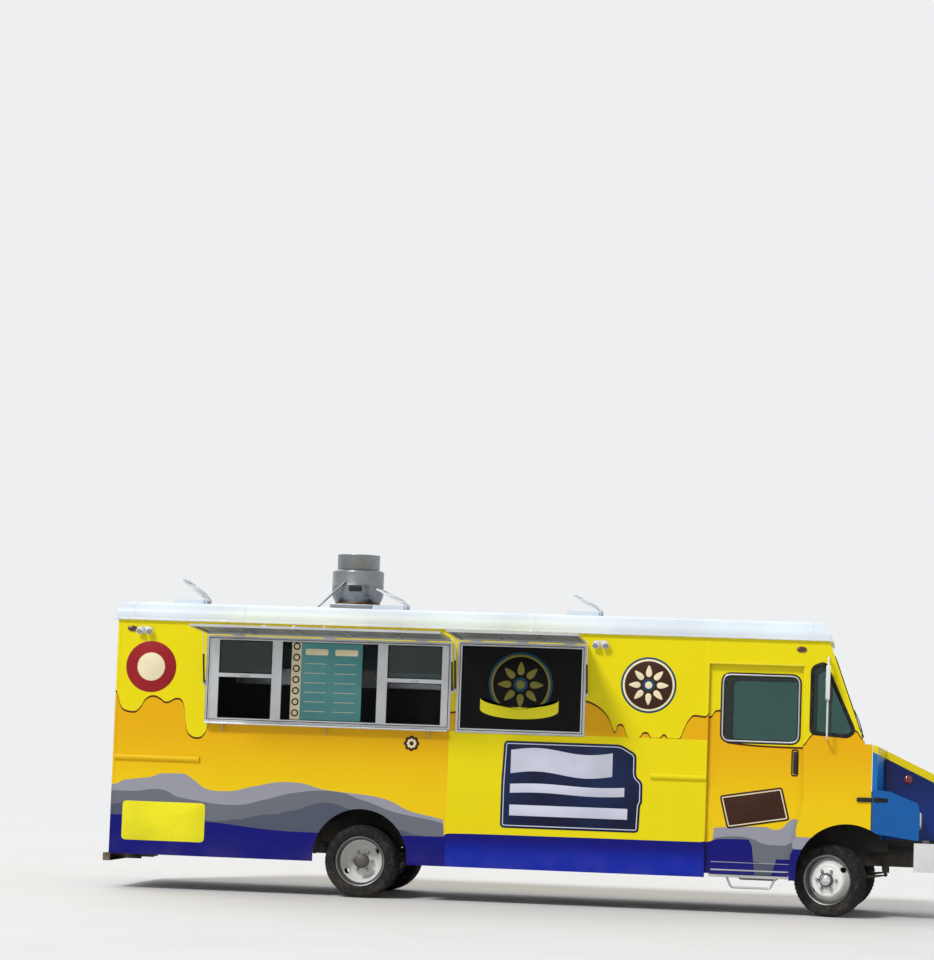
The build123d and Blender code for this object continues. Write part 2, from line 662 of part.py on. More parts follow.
def rear_door(side):
    """Swing door with a window hole, hinge knuckles and a lever handle."""
    z0 = REAR_OPENING_LOW + REAR_GAP
    z1 = REAR_OPENING_TOP - REAR_GAP
    far = REAR_OPENING_HALF - REAR_GAP
    door = mirrored_block(side, BODY_REAR, BODY_REAR + WALL, REAR_GAP / 2, far, z0, z1)
    pane = Pos(side * (far + 3) / 2, REAR_WINDOW_Z) * RectangleRounded(330, 480, 40)
    door -= plate_yz(pane, BODY_REAR - 5, BODY_REAR + WALL + 5)
    for z in REAR_HINGE_HEIGHTS:
        y = REAR_HINGE_Y
        leaf = rod_z(REAR_HINGE_X, side * y, z - 29, z + 29, HINGE_BARREL)
        leaf += mirrored_block(side, REAR_HINGE_X - 5, REAR_HINGE_X + 5, far - 60, y, z - 29, z + 29)
        leaf += mirrored_block(side, REAR_HINGE_X - 5, BODY_REAR, far - 60, far - 8, z - 29, z + 29)
        door += leaf - rod_z(REAR_HINGE_X, side * y, z - 40, z + 40,
                             HINGE_ROD + SEAT_GAP)
    door += plate_yz(pane, BODY_REAR + 12, BODY_REAR + 12 + GLASS_THICK)
    door += mirrored_block(side, BODY_REAR - 40, BODY_REAR, 40, 70, 1500, 1640)
    return door


def roof():
    """White roof cap: round-edged shell with a drip lip, cut for the fan and the two vents."""
    x0 = BODY_REAR - WALL
    x1 = SCREEN_TOP_X + ROOF_OVERHANG
    side = HALF_WIDTH + ROOF_OVERHANG
    cap = block(x0, x1, -side, side, DRIP_Z, ROOF_TOP)
    cap = fillet(cap.edges().group_by(Axis.Z)[-1], ROOF_RADIUS)
    hollow = block(x0 + ROOF_THICK, x1 - ROOF_THICK, -side + ROOF_THICK, side - ROOF_THICK,
                   DRIP_Z - 50, ROOF_TOP - ROOF_THICK)
    hollow = fillet(hollow.edges().group_by(Axis.Z)[-1], ROOF_RADIUS - ROOF_THICK)
    cap -= hollow
    lip = block(x0 - DRIP_LIP, x1 + DRIP_LIP, -side - DRIP_LIP, side + DRIP_LIP, DRIP_Z, DRIP_Z + DRIP_HEIGHT)
    lip -= block(x0 + 1, x1 - 1, -side + 1, side - 1, DRIP_Z - 1, DRIP_Z + DRIP_HEIGHT + 1)
    cap += lip
    seat = block(x0 + 6, x1 - 6, -side + 6, side - 6, DRIP_Z, DRIP_Z + ROOF_SEAT)
    seat -= block(x0 + 90, x1 - 90, -INNER + 30, INNER - 30, DRIP_Z - 1,
                  DRIP_Z + ROOF_SEAT + 1)
    cap += seat
    hole = VENT_SIZE / 2 - VENT_WALL
    for _, hinge in VENTS:
        middle = hinge - VENT_SIZE / 2
        cap -= block(middle - hole, middle + hole, VENT_Y - hole, VENT_Y + hole, DRIP_Z + 50, ROOF_TOP + 1)
    cap -= block(FAN_X - FAN_HOLE_HALF, FAN_X + FAN_HOLE_HALF, -FAN_HOLE_HALF, FAN_HOLE_HALF, DRIP_Z + 50,
                 ROOF_TOP + 1)
    return cap + vent_curbs()


def vent_curbs():
    """Square upstands that carry the two vent lids and their hinge pins."""
    curbs = Part()
    for _, hinge in VENTS:
        x0 = hinge - VENT_SIZE
        half = VENT_SIZE / 2
        curb = block(x0, hinge, -half, half, ROOF_TOP, ROOF_TOP + VENT_CURB)
        curb -= block(x0 + VENT_WALL, hinge - VENT_WALL, -half + VENT_WALL, half - VENT_WALL,
                      ROOF_TOP - 1, ROOF_TOP + VENT_CURB + 1)
        for y in VENT_HINGES:
            curb += block(hinge, hinge + 24, y - 24, y - 12, ROOF_TOP, VENT_HINGE_Z + 6)
            curb += block(hinge, hinge + 24, y + 12, y + 24, ROOF_TOP, VENT_HINGE_Z + 6)
        curb += rod_y(hinge + VENT_PIN_X, VENT_HINGES[0] - 24, VENT_HINGES[1] + 24, VENT_HINGE_Z, STRUT_PIN)
        curbs += Pos(0, VENT_Y, 0) * curb
    return curbs


def vent_lid(hinge):
    """Domed lid propped open on its front hinge."""
    half = VENT_SIZE / 2 + 6
    z0 = ROOF_TOP + VENT_CURB + RUN_GAP
    lid = block(hinge - VENT_SIZE - 8, hinge - 4, -half, half, z0, z0 + VENT_LID)
    lid = fillet(lid.edges().group_by(Axis.Z)[-1], 14)
    for y in VENT_HINGES:
        lid += block(hinge - 10, hinge + VENT_PIN_X, y - 11, y + 11, VENT_HINGE_Z - 5, VENT_HINGE_Z + 5)
        lid += rod_y(hinge + VENT_PIN_X, y - 11, y + 11, VENT_HINGE_Z, 8)
        lid -= rod_y(hinge + VENT_PIN_X, y - 13, y + 13, VENT_HINGE_Z, STRUT_PIN + SEAT_GAP)
    return Pos(0, VENT_Y, 0) * about(lid, (hinge + VENT_PIN_X, 0, VENT_HINGE_Z), (0, 1, 0), VENT_OPEN)


def exhaust_fan():
    """Upblast roof fan: square curb, flared bowl and open upper ring."""
    half = FAN_CURB_HALF
    hole = FAN_HOLE_HALF
    z0 = ROOF_TOP + FAN_CURB
    curb = block(FAN_X - half, FAN_X + half, -half, half, ROOF_TOP, z0)
    curb -= block(FAN_X - hole, FAN_X + hole, -hole, hole, ROOF_TOP - 1, z0 + 1)
    skin = [(235, z0), (250, z0), (300, z0 + 120), (300, z0 + 380), (245, z0 + 400), (245, z0 + 580),
            (235, z0 + 580), (235, z0 + 390), (288, z0 + 372), (288, z0 + 126)]
    bowl = revolve(Plane.XZ * outline(skin), Axis.Z)
    motor = Cylinder(120, 200, align=(Align.CENTER, Align.CENTER, Align.MIN))
    motor = Pos(0, 0, z0 + 300) * motor
    legs = block(-292, 292, -12, 12, z0 + 290, z0 + 302) + block(-12, 12, -292, 292, z0 + 290, z0 + 302)
    return curb + Pos(FAN_X, 0, 0) * (bowl + motor + legs)


def cab_side_face():
    """Side outline of the cab ahead of the sliding door, with the header above the door."""
    top = DRIP_Z - SEAT_GAP
    points = [(WALL_FRONT, DOOR_HEAD_Z), (WALL_FRONT, top), (SCREEN_TOP_X, top),
              (SCREEN_FOOT_X, SCREEN_FOOT_Z), (SCREEN_FOOT_X + 12, COWL_Z), (CAB_FRONT, COWL_Z),
              (CAB_FRONT, SKIRT_Z), (DOOR_FOOT_X, SKIRT_Z), (DOOR_KNEE_X, DOOR_KNEE_Z),
              (DOOR_EDGE_LOW_X, DOOR_EDGE_Z), (DOOR_EDGE_X, DOOR_HEAD_Z)]
    return outline(points)


def quarter_face():
    """Slanted five-sided quarter window."""
    face = outline(QUARTER_WINDOW)
    return fillet(face.vertices(), QUARTER_RADIUS)


def screen_x(z):
    """X of the windscreen's outer plane at a height."""
    return SCREEN_FOOT_X - (z - SCREEN_FOOT_Z) * SCREEN_SLOPE


def screen_slab(back0, back1, z0, z1, y0, y1):
    """Piece of a slab parallel to the windscreen, between two setbacks from its outer plane."""
    points = [(screen_x(z0) - back0, z0), (screen_x(z0) - back1, z0),
              (screen_x(z1) - back1, z1), (screen_x(z1) - back0, z1)]
    return plate_xz(outline(points), y0, y1)


def cab_side(side):
    """Side panel of the cab with its door header, wheel arch and quarter window hole."""
    panel = side_plate(side, cab_side_face(), INNER, HALF_WIDTH)
    panel -= arch_cut(FRONT_ARCH_X, FRONT_ARCH_Z, FRONT_ARCH_RADIUS, side, INNER - 5, HALF_WIDTH + 5)
    return panel - side_plate(side, quarter_face(), INNER - 5, HALF_WIDTH + 5)


def cab_front():
    """Front of the hollow cab: windscreen frame, cowl, firewall and both door tracks."""
    shell = screen_slab(0, SCREEN_THICK, SCREEN_FOOT_Z, DRIP_Z - SEAT_GAP, -INNER, INNER)
    for y0, y1 in ((-SCREEN_OUT, -SCREEN_POST), (SCREEN_POST, SCREEN_OUT)):
        shell -= screen_slab(-5, SCREEN_THICK + 5, SCREEN_LOW, SCREEN_HIGH, y0, y1)
    shell += block(SCREEN_FOOT_X - SCREEN_THICK, SCREEN_FOOT_X + 12, -INNER, INNER, COWL_Z - 40, SCREEN_FOOT_Z)
    shell += block(SCREEN_FOOT_X, CAB_FRONT, -INNER, INNER, COWL_Z - 30, COWL_Z)
    wall = block(CAB_FRONT - FIREWALL_THICK, CAB_FRONT, -INNER, INNER, FLOOR_BOTTOM, COWL_Z)
    wall -= block(0, CAB_FRONT + 5, -ENGINE_BAY_HALF + 20, ENGINE_BAY_HALF - 20, 0, ENGINE_BAY_TOP - 10)
    for side in (RIGHT, LEFT):
        wall -= arch_cut(FRONT_ARCH_X, FRONT_ARCH_Z, FRONT_ARCH_RADIUS, side, FRONT_HOUSE_Y + HOUSE_THICK,
                         HALF_WIDTH)
    return shell + wall + door_tracks()


def cab_glass():
    """Two windscreen panes and the two quarter windows."""
    panes = Part()
    for y0, y1 in ((-SCREEN_OUT, -SCREEN_POST), (SCREEN_POST, SCREEN_OUT)):
        panes += screen_slab(GLASS_SETBACK, GLASS_SETBACK + GLASS_THICK, SCREEN_LOW, SCREEN_HIGH, y0, y1)
    for side in (RIGHT, LEFT):
        panes += side_plate(side, quarter_face(), HALF_WIDTH - 10 - GLASS_THICK, HALF_WIDTH - 10)
    return panes


def dashboard():
    """Dash shelf under the windscreen, resting against the firewall."""
    face = outline([(120, 1560), (CAB_FRONT - FIREWALL_THICK, 1480), (CAB_FRONT - FIREWALL_THICK, 1860),
                    (235, 1860), (150, 1800)])
    return plate_xz(face, -INNER + 40, INNER - 40)


def engine_cover():
    """Removable engine cover between the seats."""
    half = ENGINE_BAY_HALF
    cover = block(ENGINE_COVER_REAR, CAB_FRONT - FIREWALL_THICK, -half, half, FLOOR_TOP, ENGINE_BAY_TOP)
    cover = fillet(cover.edges().group_by(Axis.Z)[-1].sort_by(Axis.X)[:3], 60)
    bay = block(ENGINE_COVER_REAR + COVER_SHEET, CAB_FRONT, -half + COVER_SHEET, half - COVER_SHEET,
                FLOOR_TOP - 1, ENGINE_BAY_TOP - COVER_SHEET)
    return cover - fillet(bay.edges().group_by(Axis.Z)[-1].sort_by(Axis.X)[:3], 60 - COVER_SHEET)


def engine_block():
    """Engine as one plain block with its gearbox, held by the frame's cross members."""
    engine = block(ENGINE_COVER_REAR + 60, ENGINE_FRONT, -ENGINE_HALF, ENGINE_HALF, ENGINE_LOW,
                   ENGINE_TOP)
    engine += block(GEARBOX_REAR, ENGINE_COVER_REAR + 60, -GEARBOX_HALF, GEARBOX_HALF, RAIL_BOTTOM,
                    RAIL_TOP - 5)
    for side in (RIGHT, LEFT):
        near = RAIL_Y - RAIL_WIDTH / 2
        engine += mirrored_block(side, 260, 360, ENGINE_HALF, near + RAIL_WIDTH - RAIL_WALL, 660, 740)
    return engine


def drive_shaft():
    """Propeller shaft from the gearbox to the rear axle."""
    start = Vector(GEARBOX_REAR + 20, 0, 660)
    axis = Vector(PINION_X - 20, 0, HUB_Z) - start
    shaft = extrude(Plane(origin=start, z_dir=axis) * Circle(SHAFT_RADIUS), amount=axis.length)
    return shaft & block(PINION_X, GEARBOX_REAR, -100, 100, 0, 900)


def fuel_tank():
    """Side fuel tank hung outside the left rail."""
    tank = block(TANK_REAR, TANK_FRONT, RAIL_Y + 40, HALF_WIDTH - TANK_SIDE_GAP, TANK_LOW, TANK_TOP)
    tank = fillet(tank.edges().filter_by(Axis.X), 60)
    for x in (TANK_REAR + 200, TANK_FRONT - 200):
        tank += block(x - 25, x + 25, RAIL_Y + RAIL_WIDTH / 2, RAIL_Y + 300, 600, RAIL_TOP - 5)
    return tank


def exhaust():
    """Muffler and tail pipe on the right side of the frame."""
    y = -(HALF_WIDTH - MUFFLER_SIDE_GAP)
    outlet = -(HALF_WIDTH - 80)
    muffler = rod_x(MUFFLER_REAR, MUFFLER_FRONT, y, MUFFLER_Z, MUFFLER_RADIUS)
    pipe = tube_path([(MUFFLER_REAR, y, MUFFLER_Z), (MUFFLER_REAR - 700, y, MUFFLER_Z),
                      (MUFFLER_REAR - 1200, outlet + 140, MUFFLER_Z - 40),
                      (MUFFLER_REAR - 1380, outlet, MUFFLER_Z - 60)], TAIL_PIPE_RADIUS, MUFFLER_RADIUS)
    hanger = block(-2600, -2560, y - 20, -RAIL_Y - RAIL_WIDTH / 2, MUFFLER_Z + 80, RAIL_TOP - 20)
    return muffler + pipe + hanger


def bumper_plan(inset):
    """Plan outline of the front bumper with its swept corners, drawn in by an inset."""
    front = BUMPER_FRONT - inset
    side = BUMPER_SIDE - inset
    corner_x = BUMPER_CORNER[0] - inset / 2
    corner_y = HALF_WIDTH - BUMPER_CORNER[1] - inset / 2
    rear = BUMPER_REAR - (1 if inset else 0)
    return outline([(rear, -side), (corner_x, -side), (front, -corner_y), (front, corner_y),
                    (corner_x, side), (rear, side)])


def front_bumper():
    """Wrap-round front bumper with swept corners."""
    skin = plate_xy(bumper_plan(0), BUMPER_LOW, BUMPER_TOP)
    return skin - plate_xy(bumper_plan(BUMPER_WALL), BUMPER_LOW - 1, BUMPER_TOP + 1)


def hood_profile(shell):
    """Side outline of the hood's middle, inset by a shell thickness."""
    x0 = HOOD_REAR
    nose = HOOD_NOSE_X - shell
    back = HOOD_BACK_Z - shell
    points = [(x0 - shell, HOOD_BOTTOM - 2 * shell), (x0 - shell, back), (x0 + 30, back - 2), (1040, 1618 - shell),
              (1130, 1560 - shell), (nose - 12, 1460 - shell), (nose, 1380 - shell),
              (nose, HOOD_BOTTOM - 2 * shell)]
    return outline(points)


def hood_plan(shell):
    """Plan outline of the hood's middle, narrower at the nose, inset by a shell thickness."""
    x0 = HOOD_REAR - shell
    x1 = HOOD_NOSE_X + 50
    back = HOOD_REACH - shell
    waist = HALF_WIDTH - 340 - shell
    front = HALF_WIDTH - 560 - shell
    points = [(x0 - shell, -back), (x0 - shell, back), (440, back), (540, waist), (x1, front),
              (x1, -front), (540, -waist), (440, -back)]
    return outline(points)


def hood_form(shell):
    """Solid form of the hood's middle, drawn in by a shell thickness."""
    low = 0 if shell else HOOD_BOTTOM
    return plate_xz(hood_profile(shell), -HALF_WIDTH, HALF_WIDTH) & plate_xy(hood_plan(shell), low, COWL_Z + 99)


def hood_shell():
    """Tilting hood middle: a hollow tapered shell with a grille opening and hinge arms."""
    shell = hood_form(0) - hood_form(HOOD_SHELL)
    shell -= block(HOOD_REAR - 200, HOOD_REAR, -HALF_WIDTH, HALF_WIDTH, 0, COWL_Z + 99)
    for side in (RIGHT, LEFT):
        shell -= arch_cut(FRONT_ARCH_X, FRONT_ARCH_Z, FRONT_ARCH_RADIUS, side, HALF_WIDTH - 200, HALF_WIDTH)
    shell -= block(HOOD_NOSE_X - 60, HOOD_NOSE_X + 60, -GRILLE_HALF, GRILLE_HALF, GRILLE_LOW, GRILLE_TOP)
    for side in (RIGHT, LEFT):
        y = RAIL_Y - RAIL_WIDTH / 2 + 16
        arm = mirrored_block(side, HOOD_NOSE_X - 2, HINGE_X, y + 6, y + 30, HINGE_Z - 12, HINGE_Z + 12)
        arm += rod_y(HINGE_X, side * (y + 6), side * (y + 30), HINGE_Z, 2 * HINGE_PIN)
        shell += arm - rod_y(HINGE_X, side * y, side * (y + 60), HINGE_Z, HINGE_PIN + SEAT_GAP)
    return shell


def grille():
    """Slatted grille filling the hood's nose opening."""
    x0 = HOOD_NOSE_X - HOOD_SHELL
    x1 = HOOD_NOSE_X
    frame = block(x0, x1, -GRILLE_HALF, GRILLE_HALF, GRILLE_LOW, GRILLE_TOP)
    rim_half = GRILLE_HALF - GRILLE_RIM
    frame -= block(x0 - 1, x1 + 1, -rim_half, rim_half, GRILLE_LOW + GRILLE_RIM, GRILLE_TOP - GRILLE_RIM)
    pitch = (GRILLE_TOP - GRILLE_LOW - 2 * GRILLE_RIM) / GRILLE_GAPS
    for i in range(1, GRILLE_GAPS):
        z = GRILLE_LOW + GRILLE_RIM + i * pitch
        frame += block(x0 + 2, x1 - 2, -GRILLE_HALF + 10, GRILLE_HALF - 10, z - 7, z + 7)
    for y in (-140, 140):
        frame += block(x0, x0 + 6, y - 8, y + 8, GRILLE_LOW + 8, GRILLE_TOP - 8)
    return frame


def fender_face(shell):
    """Side outline of the front fender bulge, inset by a shell thickness."""
    x0 = HOOD_REAR
    back = 3 * shell
    return outline([(x0 - back, 600), (x0 - back, 1425 - shell), (591, 1400 - shell), (880, 1285 - shell),
                    (FENDER_FRONT - shell, 1240 - shell), (FENDER_FRONT - shell, 600)])


def fenders():
    """Two hollow fender bulges outboard of the hood, open below over the wheels."""
    pair = Part()
    for side in (RIGHT, LEFT):
        solid = side_plate(side, fender_face(0), FENDER_INNER, FENDER_OUTER)
        solid -= side_plate(side, fender_face(HOOD_SHELL), FENDER_INNER - 1, FENDER_OUTER - HOOD_SHELL)
        solid -= block(HOOD_REAR - 300, HOOD_REAR, -HALF_WIDTH, HALF_WIDTH, 0, COWL_Z)
        solid -= arch_cut(FRONT_ARCH_X, FRONT_ARCH_Z, FRONT_ARCH_RADIUS, side, FENDER_INNER - 5, HALF_WIDTH)
        lower = outline([(0, 0), (0, 938), (433, 938), (855, 880), (1087, HOOD_BOTTOM), (1087, 0)])
        solid -= side_plate(side, lower, FENDER_INNER - 5, HALF_WIDTH)
        solid -= hood_form(0)
        pair += solid
    return pair


def headlamps():
    """Round lamps in the fronts of both fenders."""
    lamps = Part()
    for side in (RIGHT, LEFT):
        lamp = Cone(92, 80, 34, align=(Align.CENTER, Align.CENTER, Align.MIN))
        lamps += Pos(FENDER_FRONT, side * HEADLAMP_Y, HEADLAMP_Z) * Rot(0, 90, 0) * lamp
    return lamps


def door_face():
    """Outline of a sliding door, its front edge following the jamb and the wheel arch."""
    return outline([(DOOR_REAR, DOOR_BOTTOM), (DOOR_REAR, DOOR_TOP), (DOOR_EDGE_X + DOOR_LAP, DOOR_TOP),
                    (DOOR_EDGE_LOW_X + DOOR_LAP, DOOR_EDGE_Z + 20), (DOOR_KNEE_X + 24, DOOR_KNEE_Z),
                    (DOOR_FOOT_X + 24, DOOR_BOTTOM)])


def sliding_door(side):
    """Sliding door leaf with its window hole, recessed handle and two hangers in the top track."""
    door = side_plate(side, door_face(), DOOR_INNER, DOOR_OUTER)
    x0, x1, z0, z1 = DOOR_WINDOW
    door -= side_plate(side, window_face(x0, x1, z0, z1, DOOR_WINDOW_RADIUS), DOOR_INNER - 5, DOOR_OUTER + 5)
    for x in (DOOR_REAR + 90, DOOR_EDGE_X - 90):
        door += mirrored_block(side, x - 30, x + 30, DOOR_INNER + 8, DOOR_OUTER - 8, DOOR_TOP,
                               TRACK_Z + HANGER_RISE)
    door += mirrored_block(side, -480, -440, DOOR_OUTER, DOOR_OUTER + 14, 1560, 1800)
    return door


def sliding_door_glass(side):
    """Window pane of a sliding door."""
    x0, x1, z0, z1 = DOOR_WINDOW
    return side_plate(side, window_face(x0, x1, z0, z1, DOOR_WINDOW_RADIUS), DOOR_INNER + 12,
                      DOOR_INNER + 12 + GLASS_THICK)


def door_tracks():
    """Channel rails over both sliding doors, fixed to the body's inner face."""
    tracks = Part()
    x0 = DOOR_REAR - DOOR_TRAVEL
    x1 = DOOR_EDGE_X - 40
    for side in (RIGHT, LEFT):
        rail = mirrored_block(side, x0, x1, DOOR_INNER - 4, INNER, TRACK_Z, TRACK_Z + 26)
        rail -= mirrored_block(side, x0 - 5, x1 + 5, DOOR_INNER + 8 - SEAT_GAP, DOOR_OUTER - 8 + SEAT_GAP,
                               TRACK_Z - 5, TRACK_Z + HANGER_RISE + SEAT_GAP)
        tracks += rail
    return tracks


def hinge_z(head_z):
    """Height of a hatch's hinge line above its opening."""
    return head_z + FRAME_LAP + 22


def strut_planes(x0, x1):
    """X of the two gas struts beside an opening."""
    return (x0 - STRUT_SIDE, x1 + STRUT_SIDE)


def hatch_hinge_places(x0, x1):
    """X of the hinges along one hatch."""
    span = x1 - x0
    return (x0 + 0.12 * span, x0 + 0.5 * span, x0 + 0.88 * span)


def window_frame(x0, x1, z0, z1, bars):
    """Aluminium frame of one opening with its hatch hinge lugs and strut feet."""
    y_in = -(INNER - 6)
    y_face = -(HALF_WIDTH + FRAME_FLANGE)
    frame = ring_xz(x0, x1, z0, z1, SLEEVE, y_face, y_in)
    frame += ring_xz(x0 - FRAME_LAP, x1 + FRAME_LAP, z0 - FRAME_LAP, z1 + FRAME_LAP, FRAME_LAP + 4,
                     y_face, -HALF_WIDTH)
    for a, b in bars:
        frame += block(a, b, -HALF_WIDTH + 2, y_in, z0 + 10, z1 - 10)
    if bars:
        for a, b in ((bars[0][1], bars[1][0]), (bars[2][1], bars[3][0])):
            frame += block(a - 4, b + 4, -HALF_WIDTH + 6, y_in, SASH_Z - 22, SASH_Z + 22)
    axis_z = hinge_z(z1)
    for x in hatch_hinge_places(x0, x1):
        for low, high in ((x - 60, x - 30), (x + 30, x + 60)):
            frame += block(low, high, -HINGE_OUT, -HALF_WIDTH, axis_z - 7, axis_z + 7)
            frame += rod_x(low, high, -HINGE_OUT, axis_z, KNUCKLE_RADIUS)
        frame += rod_x(x - 60, x + 60, -HINGE_OUT, axis_z, STRUT_PIN)
        frame += block(x - 60, x + 60, -(HALF_WIDTH + 4), -HALF_WIDTH, z1 + 10, axis_z + 7)
    foot_z = axis_z - STRUT_DROP
    for x in strut_planes(x0, x1):
        frame += block(x - 12, x + 12, -(HALF_WIDTH + 10), -HALF_WIDTH, foot_z - 28, foot_z + 28)
        for low, high in ((x - 12, x - 7), (x + 7, x + 12)):
            frame += block(low, high, -(HINGE_OUT + 7), -HALF_WIDTH, foot_z - 7, foot_z + 7)
        frame += rod_x(x - 12, x + 12, -HINGE_OUT, foot_z, STRUT_PIN)
    return frame


def serving_glass():
    """Raised sash panes of the serving opening's end bays."""
    _, _, _, _, z1 = WINDOWS[0]
    panes = Part()
    for a, b in ((SERVING_BARS[0][1], SERVING_BARS[1][0]), (SERVING_BARS[2][1], SERVING_BARS[3][0])):
        panes += block(a, b, -(HALF_WIDTH - GLASS_SETBACK), -(HALF_WIDTH - GLASS_SETBACK - GLASS_THICK),
                       SASH_Z + SLEEVE, z1 - SLEEVE)
    return panes


def menu_board():
    """Upright board between the serving bays."""
    _, _, _, z0, z1 = WINDOWS[0]
    return block(MENU_BOARD[0], MENU_BOARD[1], -(HALF_WIDTH - BOARD_SETBACK),
                 -(HALF_WIDTH - BOARD_SETBACK - BOARD_THICK), z0 + SLEEVE, z1 - SLEEVE)


def display_panel():
    """Dark panel that fills the second opening."""
    _, x0, x1, z0, z1 = WINDOWS[1]
    return block(x0 + SLEEVE, x1 - SLEEVE, -(HALF_WIDTH - BOARD_SETBACK + 4),
                 -(HALF_WIDTH - BOARD_SETBACK + 4 - BOARD_THICK), z0 + SLEEVE, z1 - SLEEVE)


def serving_ledge():
    """Outside shelf below the serving opening on three brackets."""
    _, x0, x1, z0, _ = WINDOWS[0]
    top = z0 - FRAME_LAP - 4
    under = top - LEDGE_THICK
    ledge = block(x0 - 10, x1 + 10, -(HALF_WIDTH + LEDGE_DEPTH), -HALF_WIDTH, under, top)
    for x in (x0 + 200, (x0 + x1) / 2, x1 - 200):
        tip = -(HALF_WIDTH + LEDGE_DEPTH - 10)
        face = outline([(-HALF_WIDTH, under), (-HALF_WIDTH, top - 110), (tip, under)])
        ledge += plate_yz(face, x - 3, x + 3)
    return ledge


def strut_line(open_angle):
    """Length and outward tilt of a gas strut when its hatch stands at an angle from closed."""
    out = STRUT_ARM * sin(radians(open_angle))
    up = STRUT_DROP - STRUT_ARM * cos(radians(open_angle))
    return sqrt(out * out + up * up), degrees(atan2(out, up))


def hatch(x0, x1, z0, z1):
    """Top-hung hatch, built closed and then swung up to its open rest position."""
    axis_z = hinge_z(z1)
    mid = HATCH_THICK / 2
    low = z0 - 20
    high = axis_z - 14
    xa = x0 - HATCH_LAP
    xb = x1 + HATCH_LAP
    panel = block(xa, xb, -(HINGE_OUT + mid), -(HINGE_OUT - mid), low, high)
    rim_w = HATCH_EDGE
    panel -= block(xa + rim_w, xb - rim_w, -(HINGE_OUT + mid - HATCH_SKIN), -(HINGE_OUT - mid) + 1,
                   low + rim_w, high - rim_w)
    for x in hatch_hinge_places(x0, x1):
        leaf = rod_x(x - 29, x + 29, -HINGE_OUT, axis_z, KNUCKLE_RADIUS)
        leaf += block(x - 29, x + 29, -(HINGE_OUT + 5), -(HINGE_OUT - 5), high - 1, axis_z)
        panel += leaf - rod_x(x - 40, x + 40, -HINGE_OUT, axis_z, STRUT_PIN + SEAT_GAP)
    for x, way in ((xa, -1), (xb, 1)):
        panel += rod_x(x, x + way * STUD_REACH, -HINGE_OUT, axis_z - STRUT_ARM, 6)
    return about(panel, (0, -HINGE_OUT, axis_z), (-1, 0, 0), HATCH_OPEN)


def strut_cylinders(x0, x1, z1):
    """Two gas cylinders of one hatch, tilted to their open rest position."""
    foot_z = hinge_z(z1) - STRUT_DROP
    _, tilt = strut_line(HATCH_OPEN)
    pair = Part()
    for x in strut_planes(x0, x1):
        tube = rod_z(x, -HINGE_OUT, foot_z + 12, foot_z + STRUT_TUBE, STRUT_RADIUS)
        tube += rod_z(x, -HINGE_OUT, foot_z, foot_z + 14, 5)
        tube += rod_x(x - 6, x + 6, -HINGE_OUT, foot_z, KNUCKLE_RADIUS)
        tube -= rod_z(x, -HINGE_OUT, foot_z + 60, foot_z + STRUT_TUBE + 1, ROD_RADIUS + SEAT_GAP)
        tube -= rod_x(x - 7, x + 7, -HINGE_OUT, foot_z, STRUT_PIN + SEAT_GAP)
        pair += tube
    return about(pair, (0, -HINGE_OUT, foot_z), (1, 0, 0), tilt)


def strut_rods(x0, x1, z1):
    """Two piston rods of one hatch, pulled out to their open rest position."""
    foot_z = hinge_z(z1) - STRUT_DROP
    length, tilt = strut_line(HATCH_OPEN)
    pair = Part()
    for x, way in zip(strut_planes(x0, x1), (1, -1)):
        top = foot_z + length
        bar = rod_z(x, -HINGE_OUT, top - ROD_LENGTH, top, ROD_RADIUS)
        near = x + way * (STRUT_SIDE - HATCH_LAP - STUD_REACH - SEAT_GAP)
        bar += rod_x(min(x - way * 6, near), max(x - way * 6, near), -HINGE_OUT, top, 8)
        pair += bar
    return about(pair, (0, -HINGE_OUT, foot_z), (1, 0, 0), tilt)


def cook_line():
    """Row of cooking equipment along the left wall: three closed housings, each with a door and a handle."""
    near = INNER - COOK_DEPTH
    row = Part()
    for x0, x1, top in COOK_UNITS:
        unit = closed_cabinet(x0, x1, near, top, wheel_house_room())
        unit += block(x0 + 60, x1 - 60, near - 14, near, REAR_ARCH_Z + 570, top - 180)
        unit += rod_x(x0 + 140, x1 - 140, near - 22, top - 230, 9)
        row += unit
    return row


def closed_cabinet(x0, x1, near, top, room):
    """Closed sheet housing against the left wall, cut clear of a room below it."""
    far = INNER
    shell = block(x0, x1, near, far, FLOOR_TOP, top) - room
    s = UNIT_SHEET
    low = FLOOR_TOP + s
    if x0 < REAR_AXLE_X + REAR_ARCH_RADIUS and x1 > REAR_AXLE_X - REAR_ARCH_RADIUS:
        low = house_top() + s
    return shell - block(x0 + s, x1 - s, near + s, far - s, low, top - s)


def house_top():
    """Height that stays clear over the rear wheel houses."""
    return REAR_ARCH_Z + REAR_ARCH_RADIUS + HOUSE_THICK + 4


def range_hood():
    """Sloped extraction canopy over the cooking row."""
    face = outline([(440, 2380), (INNER, 2380), (INNER, 2900), (760, 2900), (440, 2560)])
    inner = outline([(450, 2370), (INNER - 10, 2370), (INNER - 10, 2890), (764, 2890), (450, 2556)])
    return plate_yz(face, -7100, -4400) - plate_yz(inner, -7090, -4410)


def prep_counter():
    """Stainless worktop with an open shelf below the serving opening."""
    near = -(INNER - COUNTER_DEPTH)
    middle = (COUNTER_REAR + COUNTER_FRONT) / 2
    counter = block(COUNTER_REAR, COUNTER_FRONT, -INNER, near, COUNTER_TOP - 40, COUNTER_TOP)
    counter += block(COUNTER_REAR, COUNTER_FRONT, -INNER, near - 20, COUNTER_TOP - 500, COUNTER_TOP - 480)
    for x in (COUNTER_REAR, middle - 10, COUNTER_FRONT - 20):
        counter += block(x, x + 20, -INNER, near - 10, FLOOR_TOP, COUNTER_TOP - 40)
    return counter - wheel_house_room()


